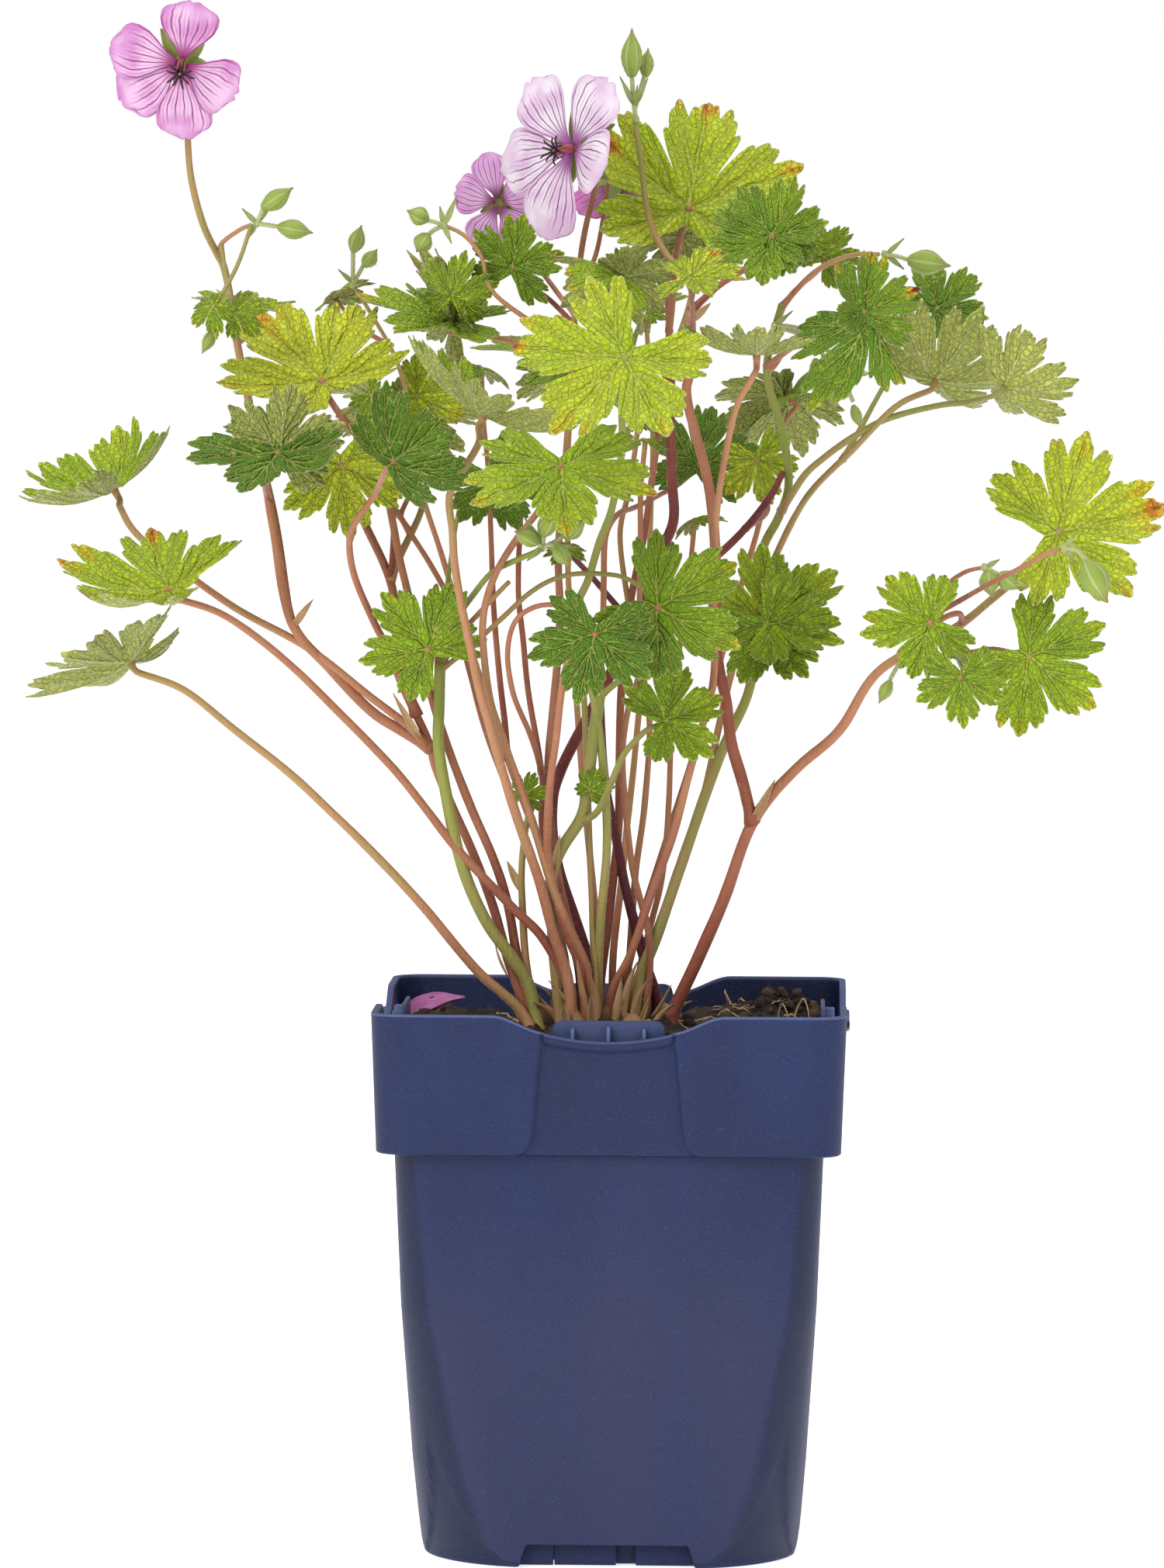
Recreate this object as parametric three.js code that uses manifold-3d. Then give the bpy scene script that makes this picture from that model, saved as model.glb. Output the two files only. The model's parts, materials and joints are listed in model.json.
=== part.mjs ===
// Hardy geranium in a square nursery pot. Units are millimetres, +Z is up, and -Y is the front.
import * as THREE from 'three';
import { mergeVertices } from 'three/addons/utils/BufferGeometryUtils.js';
import Module from 'manifold-3d';

const wasm = await Module();
wasm.setup();
const { Manifold, Mesh } = wasm;

// ---------------------------------------------------------------- small vector helpers
const V = (x, y, z) => new THREE.Vector3(x, y, z);
// Places are drawn on a front elevation through the pot's axis (x across, z up). depth moves a place
// along its sight line from the drawing's viewing point, so that the elevation keeps its look.
const VIEWING_POINT = V(55, -2200, 350);
// The crown is drawn at its own depths, and above it the depths open out to a round head.
const HEAD_DEPTH = 1.45;
function place([x, drawn, z]) {
  const depth = drawn * (1 + (HEAD_DEPTH - 1) * THREE.MathUtils.smoothstep(z, 160, 235));
  const k = (depth - VIEWING_POINT.y) / -VIEWING_POINT.y;
  return V(VIEWING_POINT.x + (x - VIEWING_POINT.x) * k, depth, VIEWING_POINT.z + (z - VIEWING_POINT.z) * k);
}
function rand(seed) {
  let s = (seed * 2654435761) >>> 0;
  return () => { s = (s * 1664525 + 1013904223) >>> 0; return s / 4294967296; };
}
// A closed geometry as a solid that can be joined and cut.
function toSolid(geometry) {
  geometry.deleteAttribute('normal'); geometry.deleteAttribute('uv');
  const g = geometry.index ? geometry : mergeVertices(geometry, 1e-4);
  return new Manifold(new Mesh({ numProp: 3, vertProperties: new Float32Array(g.attributes.position.array), triVerts: new Uint32Array(g.index.array) }));
}
function solid(points, faces) {
  const make = (fs) => toSolid(new THREE.BufferGeometry().setFromPoints(points).setIndex(fs.flat()));
  const m = make(faces);
  return m.volume() > 0 ? m : make(faces.map(([a, b, c]) => [a, c, b]));
}
// One body from many: near-flat slivers left where solids cross are merged away.
function union(list, merge = 0) {
  let m = list.length === 1 ? list[0] : Manifold.union(list);
  if (merge) m = m.simplify(merge);
  const bodies = m.decompose().sort((a, b) => b.volume() - a.volume());
  return bodies.slice(1).every((b) => b.volume() < 1) ? bodies[0] : m;
}

// ---------------------------------------------------------------- generic forms
function catmull(points, per) {
  const out = [];
  const get = (i) => points[Math.max(0, Math.min(points.length - 1, i))];
  for (let i = 0; i < points.length - 1; i++) {
    for (let j = 0; j < per; j++) {
      const t = j / per;
      const [a, b, c, d] = [get(i - 1), get(i), get(i + 1), get(i + 2)];
      const f = (k) => 0.5 * (2 * b[k] + (c[k] - a[k]) * t + (2 * a[k] - 5 * b[k] + 4 * c[k] - d[k]) * t * t
        + (3 * b[k] - a[k] - 3 * c[k] + d[k]) * t * t * t);
      out.push(V(f('x'), f('y'), f('z')));
    }
  }
  out.push(points[points.length - 1].clone());
  return out;
}
// Drops the points of a path that lie within slack of the line between their neighbours.
function straighten(path, slack) {
  if (path.length < 3) return path;
  const line = new THREE.Line3(path[0], path[path.length - 1]);
  let far = 0, at = 0;
  path.slice(1, -1).forEach((p, i) => { const d = line.closestPointToPoint(p, true, V(0, 0, 0)).distanceTo(p); if (d > far) { far = d; at = i + 1; } });
  if (far < slack) return [path[0], path[path.length - 1]];
  return [...straighten(path.slice(0, at + 1), slack).slice(0, -1), ...straighten(path.slice(at), slack)];
}
function tube(path, radius, sides = 5) {
  const pts = [], faces = [], n = path.length;
  let ref = null;
  for (let i = 0; i < n; i++) {
    const t = path[Math.min(n - 1, i + 1)].clone().sub(path[Math.max(0, i - 1)]).normalize();
    if (!ref) { ref = Math.abs(t.y) < 0.9 ? V(0, -1, 0) : V(1, 0, 0); }
    ref = ref.clone().addScaledVector(t, -ref.dot(t)).normalize();
    const bi = new THREE.Vector3().crossVectors(t, ref);
    const r = radius(i / (n - 1));
    for (let k = 0; k < sides; k++) {
      const a = 2 * Math.PI * k / sides;
      pts.push(path[i].clone().addScaledVector(ref, r * Math.cos(a)).addScaledVector(bi, r * Math.sin(a)));
    }
  }
  for (let i = 0; i < n - 1; i++) for (let k = 0; k < sides; k++) {
    const a = i * sides + k, b = i * sides + (k + 1) % sides, c = a + sides, d = b + sides;
    faces.push([a, b, d], [a, d, c]);
  }
  for (let k = 1; k < sides - 1; k++) {
    faces.push([0, k + 1, k]);
    const e = (n - 1) * sides; faces.push([e, e + k, e + k + 1]);
  }
  return solid(pts, faces);
}
// A lathed drop: rings of the given radii at the given fractions of the way from base to tip.
function drop(base, tip, rings, sides = 6) {
  const ax = tip.clone().sub(base), len = ax.length(); ax.normalize();
  const u = (Math.abs(ax.z) < 0.9 ? V(0, 0, 1) : V(1, 0, 0)).cross(ax).normalize();
  const w = new THREE.Vector3().crossVectors(ax, u);
  const pts = [base.clone()], faces = [];
  rings.forEach(([f, r]) => { for (let k = 0; k < sides; k++) {
    const a = 2 * Math.PI * k / sides;
    pts.push(base.clone().addScaledVector(ax, f * len).addScaledVector(u, r * Math.cos(a)).addScaledVector(w, r * Math.sin(a)));
  } });
  pts.push(tip.clone());
  for (let k = 0; k < sides; k++) {
    const k1 = (k + 1) % sides;
    faces.push([0, 1 + k1, 1 + k]);
    for (let i = 0; i < rings.length - 1; i++) {
      const a = 1 + i * sides;
      faces.push([a + k, a + k1, a + sides + k1], [a + k, a + sides + k1, a + sides + k]);
    }
    const e = 1 + (rings.length - 1) * sides;
    faces.push([e + k, e + k1, pts.length - 1]);
  }
  return solid(pts, faces);
}
// A thin lance-shaped bract, stipule or sepal from base to tip, half as thick as half its width.
function lance(base, tip, half, thick = 0.5) {
  const ax = tip.clone().sub(base);
  const side = new THREE.Vector3().crossVectors(ax, Math.abs(ax.y) > 0.8 * ax.length() ? V(1, 0, 0) : V(0, 1, 0)).normalize();
  const up = new THREE.Vector3().crossVectors(side, ax).normalize();
  const mid = base.clone().addScaledVector(ax, 0.35);
  const pts = [base.clone(), mid.clone().addScaledVector(side, half), mid.clone().addScaledVector(up, thick),
    mid.clone().addScaledVector(side, -half), mid.clone().addScaledVector(up, -thick), tip.clone()];
  return solid(pts, [[0, 1, 2], [0, 2, 3], [0, 3, 4], [0, 4, 1], [5, 2, 1], [5, 3, 2], [5, 4, 3], [5, 1, 4]]);
}

// ---------------------------------------------------------------- leaf blades
// The outline is star-shaped about the stalk: five wedge lobes, each cut into three blunt teeth.
const LOBES = [{ at: 0, half: 30, len: 1.0 }, { at: 60, half: 30, len: 0.97 }, { at: -60, half: 30, len: 0.97 },
  { at: 121, half: 31, len: 0.82 }, { at: -121, half: 31, len: 0.82 }];
const TOOTH = [[-0.98, 0.40], [-0.80, 0.72], [-0.52, 0.93], [-0.29, 0.80], [0, 1.02], [0.29, 0.80], [0.52, 0.93], [0.80, 0.72]];
const TOOTH_SMALL = [[-0.98, 0.42], [-0.62, 0.86], [-0.34, 0.78], [0, 1.02], [0.34, 0.78], [0.62, 0.86]];
const BLADE = 0.8; // blade thickness
const RING = 6; // points of the ring inside the rim
function leafFrame(leaf) {
  const at = place(leaf.at);
  const t = V(...leaf.tip).normalize();
  const n = V(...leaf.face); n.addScaledVector(t, -n.dot(t)).normalize();
  const s = new THREE.Vector3().crossVectors(n, t);
  return { at, t, n, s };
}
function leafPoint(leaf, frame, theta, rho) {
  // rho is the way along the blade in mm. The blade bends about its stalk, and each lobe is a shallow trough.
  const bend = leaf.bend + (leaf.nod || 0) * Math.cos(theta) + (leaf.curl || 0) * Math.cos(2 * theta)
    + (leaf.lean || 0) * Math.sin(theta);
  const q = rho / leaf.r;
  const a = Math.abs(bend) < 1e-3 ? 1e-3 : bend;
  const out = leaf.r * Math.sin(a * q) / a, drop = leaf.r * (1 - Math.cos(a * q)) / a;
  const lobe = Math.cos(theta * 6) * (Math.abs(theta) < 2.65 ? 1 : 0.3);
  const h = -drop - 0.055 * leaf.r * q * lobe + (leaf.fold || 0) * Math.abs(out * Math.sin(theta));
  return frame.at.clone().addScaledVector(frame.t, out * Math.cos(theta)).addScaledVector(frame.s, out * Math.sin(theta))
    .addScaledVector(frame.n, h);
}
function blade(leaf) {
  const frame = leafFrame(leaf), rnd = rand(leaf.seed || 7);
  const tooth = leaf.r < 28 ? TOOTH_SMALL : TOOTH;
  const rim = [];
  [3, 1, 0, 2, 4].map((i) => LOBES[i]).reverse().forEach((lobe) => {
    const grow = 1 + 0.10 * (rnd() - 0.5);
    tooth.forEach(([t, r], i) => {
      if (i === 0 && lobe.at !== -121) r = 0.38; // the cut between two lobes
      rim.push([(lobe.at + t * lobe.half) * Math.PI / 180, r * lobe.len * grow * leaf.r * (i ? 1 + 0.05 * (rnd() - 0.5) : 1)]);
    });
  });
  rim.push([152 * Math.PI / 180, 0.36 * leaf.r], [180 * Math.PI / 180, 0.14 * leaf.r]);
  const N = rim.length, inner = [], ring = leaf.r < 25.5 ? 0 : RING; // a small blade needs no inner ring
  for (let k = 0; k < ring; k++) {
    const th = (-150 + 60 * k) * Math.PI / 180;
    inner.push([th, leaf.r * (Math.abs(th) > 2.5 ? 0.09 : Math.abs(th) > 1 ? 0.23 : 0.3)]);
  }
  // one face as a list of points and triangles: centre, inner ring, rim
  const mids = [frame.at.clone(), ...inner.map(([t, r]) => leafPoint(leaf, frame, t, r)), ...rim.map(([t, r]) => leafPoint(leaf, frame, t, r))];
  const tri = [];
  for (let k = 0; k < ring; k++) tri.push([0, 1 + k, 1 + (k + 1) % ring]);
  if (!ring) for (let k = 0; k < N; k++) tri.push([0, 1 + k, 1 + (k + 1) % N]);
  // zip the inner ring to the rim by angle
  let i = 0, j = ring ? 0 : N; const R0 = 1 + ring;
  const ai = (k) => inner[k % ring][0] + (k >= ring ? 2 * Math.PI : 0);
  let first = ring ? Math.max(0, rim.findIndex(([t]) => t >= inner[0][0])) : 0;
  const aj = (k) => { const q = (first + k); return rim[q % N][0] + (q >= N ? 2 * Math.PI : 0); };
  while (i < ring || j < N) {
    const a = 1 + i % ring, b = R0 + (first + j) % N;
    if (j >= N || (i < ring && ai(i + 1) < aj(j + 1))) { tri.push([a, b, 1 + (i + 1) % ring]); i++; } else { tri.push([a, b, R0 + (first + j + 1) % N]); j++; }
  }
  // normals from the mid surface, then both faces half a thickness off it
  const nor = mids.map(() => V(0, 0, 0));
  tri.forEach(([a, b, c]) => {
    const x = new THREE.Vector3().crossVectors(mids[b].clone().sub(mids[a]), mids[c].clone().sub(mids[a]));
    [a, b, c].forEach((q) => nor[q].add(x));
  });
  nor.forEach((x) => x.normalize());
  const M = mids.length, pts = [...mids.map((p, q) => p.clone().addScaledVector(nor[q], BLADE / 2)),
    ...mids.map((p, q) => p.clone().addScaledVector(nor[q], -BLADE / 2))];
  const faces = [...tri, ...tri.map(([a, b, c]) => [a + M, c + M, b + M])];
  for (let k = 0; k < N; k++) {
    const a = R0 + k, b = R0 + (k + 1) % N;
    faces.push([a, a + M, b + M], [a, b + M, b]);
  }
  return solid(pts, faces);
}

// at: stalk junction on the elevation [x, depth, z]; tip: way of the middle lobe; face: way the upper side looks;
// r: length of the middle lobe; bend: droop over the lobe in radians (minus cups upwards).
const LEAVES = {
  leaf_left_upper: [{ at: [-141, 2, 295.5], tip: [-0.65, 0.7, -0.2], face: [-0.42, -0.17, 0.87], r: 29.5, bend: -1.0, seed: 1 }],
  leaf_left_middle: [{ at: [-125.7, -32, 267.3], tip: [-0.9, 0.35, -0.05], face: [-0.5, -0.33, 0.8], r: 32, bend: -0.75, lean: -0.4, seed: 2 }],
  leaf_left_lower: [{ at: [-136, -12, 247], tip: [-0.85, -0.1, -0.5], face: [-0.45, 0.35, 0.8], r: 30, bend: -0.5, lean: 0.4, seed: 3 }],
  leaf_left_flat: [{ at: [-101, 22, 347], tip: [-1, 0, 0.1], face: [0, -0.1, 1], r: 19, bend: -0.2, seed: 4 }],
  leaf_left_bright: [{ at: [-82.5, -5, 326], tip: [-0.65, 0.48, 0.585], face: [0, -0.77, 0.63], r: 31, bend: -0.7, nod: 0.6, lean: -0.2, seed: 5 }],
  leaf_left_dark: [{ at: [-95, -35, 306], tip: [-0.35, -0.75, -0.56], face: [0, -0.65, 0.76], r: 25, bend: -0.5, lean: -0.45, seed: 7 },
    { at: [-94.5, -33.6, 306.5], tip: [0.15, 0.25, 1], face: [-0.1, 0.95, -0.1], r: 18.5, bend: 0.25, seed: 6 }],
  leaf_left_edge: [{ at: [-79, 34, 349], tip: [0.6, 0, 0.5], face: [-0.4, 0.3, 0.9], r: 12, bend: 0.5, seed: 8 }],
  leaf_mid_low_sheet: [{ at: [-46, 2, 343], tip: [-1, 0.1, 0.18], face: [0.05, -0.28, 0.95], r: 27, bend: -0.25, seed: 9 },
    { at: [-46.5, 4, 344.2], tip: [-0.5, 0.5, 0.9], face: [0.6, 0.5, 0.5], r: 22, bend: 0.1, seed: 11 }],
  leaf_mid_yellow: [{ at: [-56, -2, 322], tip: [0.85, -0.2, -0.4], face: [-0.2, -0.8, 0.55], r: 15, bend: -0.3, seed: 12 }],
  leaf_mid_underside: [{ at: [-37, -28, 316.5], tip: [-0.15, -1, 0.1], face: [0.45, -0.1, 0.88], r: 34, bend: -0.9, nod: 0.2, seed: 13 }],
  leaf_mid_half: [{ at: [-62.5, -52, 303.5], tip: [0.5, 0.75, 0.4], face: [0.65, -0.55, 0.6], r: 23, bend: -0.85, seed: 14 }],
  leaf_mid_backlit: [{ at: [-77, -18, 302.5], tip: [0.1, 0.1, -1], face: [0.2, -0.85, 0.3], r: 21, bend: -0.2, seed: 15 }],
  leaf_crown_bright: [{ at: [19.8, -6, 374.5], tip: [0.14, 0.4, 0.9], face: [0.05, -0.9, 0.42], r: 35, bend: -0.55, nod: 0.45, lean: -0.1, seed: 16 }],
  leaf_crown_edge: [{ at: [1, -24, 356], tip: [-0.85, 0, 0.5], face: [0.5, 0.2, 0.9], r: 20, bend: 0.35, fold: -0.5, seed: 18 },
    { at: [2.5, -24.5, 355.5], tip: [0.85, -0.1, 0.2], face: [0.1, 0.8, 0.6], r: 13, bend: 0.3, seed: 19 }],
  leaf_crown_right: [{ at: [20, -41, 355], tip: [0.95, -0.12, 0.08], face: [0, -0.5, 0.9], r: 15, bend: 0.1, fold: 0.2, seed: 20 }],
  leaf_crown_dark: [{ at: [18, 16, 367], tip: [0.5, 0.4, -0.6], face: [0, 0.75, 0.5], r: 17, bend: 0.3, seed: 21 }],
  leaf_mid_round: [{ at: [-29.4, -4, 358], tip: [0.2, -0.25, 0.9], face: [-0.1, -0.9, 0.3], r: 15.5, bend: -0.2, seed: 22 }],
  leaf_centre_bright: [{ at: [2.2, -64, 333], tip: [-0.6, -0.4, -0.69], face: [0, -0.86, 0.5], r: 31, bend: -0.3, lean: -0.25, seed: 24 }],
  leaf_right_young: [{ at: [43, -30, 367], tip: [0.45, 0.2, 0.9], face: [-0.2, -0.8, 0.5], r: 18, bend: -0.5, seed: 25 },
    { at: [42, -29, 366], tip: [-0.85, -0.2, -0.35], face: [-0.1, -0.8, 0.6], r: 18, bend: -0.4, seed: 28 }],
  leaf_right_tuft: [{ at: [57.7, 14, 361], tip: [0.5, 0, 0.7], face: [0, -0.8, 0.5], r: 11, bend: 0.2, seed: 27 }],
  leaf_right_folded: [{ at: [68.9, -38, 346], tip: [0, 0.35, 0.93], face: [0.55, -0.7, 0.3], r: 17.5, bend: -0.6, fold: 0.15, seed: 29 },
    { at: [70.5, -38.5, 343.5], tip: [0.6, -0.15, -0.8], face: [0.6, -0.6, 0.4], r: 19, bend: 0.2, fold: -1.1, seed: 31 }],
  leaf_right_umbrella: [{ at: [39, -46, 334], tip: [-0.85, -0.5, 0], face: [-0.03, 0, 1], r: 24, bend: -0.75, seed: 30 }],
  leaf_right_pale: [{ at: [88.9, -8, 327], tip: [0.4, -0.75, 0.5], face: [0.35, 0.5, 0.78], r: 25, bend: -0.95, seed: 32 }],
  leaf_right_back: [{ at: [89.3, 22, 347], tip: [0.65, 0.3, 0.5], face: [0, -0.75, 0.6], r: 15, bend: -0.3, seed: 33 }],
  leaf_right_light: [{ at: [108.5, -24, 325.3], tip: [0.75, -0.6, -0.15], face: [0.6, 0.45, 0.5], r: 22, bend: -0.95, seed: 34 }],
  leaf_centre_small: [{ at: [39.2, 12, 304.5], tip: [0.3, 0, -0.9], face: [0, -0.85, 0.4], r: 13, bend: -0.2, seed: 36 }],
  leaf_centre_dark: [{ at: [22.9, 22, 303], tip: [0.2, 0.1, 0.9], face: [0.1, -0.85, 0.4], r: 18, bend: 0.3, seed: 37 }],
  leaf_low_large: [{ at: [11.5, -43, 263], tip: [0.87, -0.1, -0.48], face: [-0.1, -0.95, 0.3], r: 25.6, bend: -0.55, lean: 0.5, seed: 38 }],
  leaf_far_right: [{ at: [123.6, -24, 284.7], tip: [0.93, 0.1, 0.22], face: [0, -0.93, 0.35], r: 29, bend: -0.25, lean: 0.2, seed: 39 }],
  leaf_right_low_a: [{ at: [88, -38, 259.3], tip: [-0.96, -0.1, -0.22], face: [0, -0.88, 0.45], r: 19, bend: -0.35, seed: 40 }],
  leaf_right_low_b: [{ at: [115.5, -29.5, 250], tip: [0.8, -0.15, -0.6], face: [0.05, -0.95, 0.2], r: 22.5, bend: -0.25, seed: 41 }],
  leaf_right_low_c: [{ at: [96.5, -48, 244], tip: [0.05, -0.3, -1], face: [0, -0.8, 0.4], r: 14, bend: -0.4, seed: 42 }],
  leaf_centre_yellow: [{ at: [-15.7, -57, 302.4], tip: [0.1, -0.8, -0.6], face: [0, -0.6, 0.8], r: 29, bend: -0.12, seed: 43 }],
  leaf_centre_hung: [{ at: [-35.5, -22, 299], tip: [0.45, -0.2, -0.85], face: [0.3, -0.85, 0.2], r: 18, bend: -0.4, seed: 44 }],
  leaf_low_dark: [{ at: [-6, -50, 255.5], tip: [-0.2, -0.3, -0.9], face: [0, -0.9, 0.3], r: 20, bend: -0.15, lean: -0.3, seed: 45 }],
  leaf_low_small: [{ at: [14.2, -34, 231.5], tip: [0.9, 0, 0.35], face: [-0.3, -0.9, 0.2], r: 17, bend: -0.55, nod: 0.45, seed: 46 }],
  leaf_low_left: [{ at: [-52.7, -24, 251], tip: [-0.6, 0.1, 0.7], face: [0, -0.92, 0.3], r: 20, bend: -0.3, nod: 0.2, seed: 47 }],
  leaf_low_right: [{ at: [42.5, -12, 260], tip: [0.75, 0.2, 0.5], face: [-0.35, -0.8, 0.25], r: 23.5, bend: -0.65, nod: 0.5, seed: 48 },
    { at: [42, -13, 258.5], tip: [0.6, -0.2, -0.75], face: [-0.1, -0.9, 0.3], r: 20, bend: -0.5, seed: 49 }],
  leaf_back_left: [{ at: [-62, 52, 318], tip: [-0.6, 0.6, 0.4], face: [-0.1, 0.6, 0.8], r: 28, bend: 0.4, seed: 51 },
    { at: [-61, 51.5, 317.5], tip: [0.5, 0.5, -0.4], face: [0.1, 0.75, 0.55], r: 24, bend: 0.4, seed: 61 }],
  leaf_back_centre: [{ at: [-12, 60, 330], tip: [-0.4, 0.75, 0.4], face: [0, 0.4, 0.9], r: 29, bend: 0.35, seed: 52 },
    { at: [-10.5, 60, 329.5], tip: [0.75, 0.5, -0.3], face: [0.2, 0.7, 0.7], r: 24, bend: 0.4, seed: 62 }],
  leaf_back_right: [{ at: [48, 54, 322], tip: [0.6, 0.6, 0.4], face: [0.1, 0.6, 0.8], r: 28, bend: 0.4, seed: 53 },
    { at: [47, 54, 322], tip: [-0.7, 0.6, -0.4], face: [0, 0.7, 0.7], r: 22, bend: 0.4, seed: 63 }],
};

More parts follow.
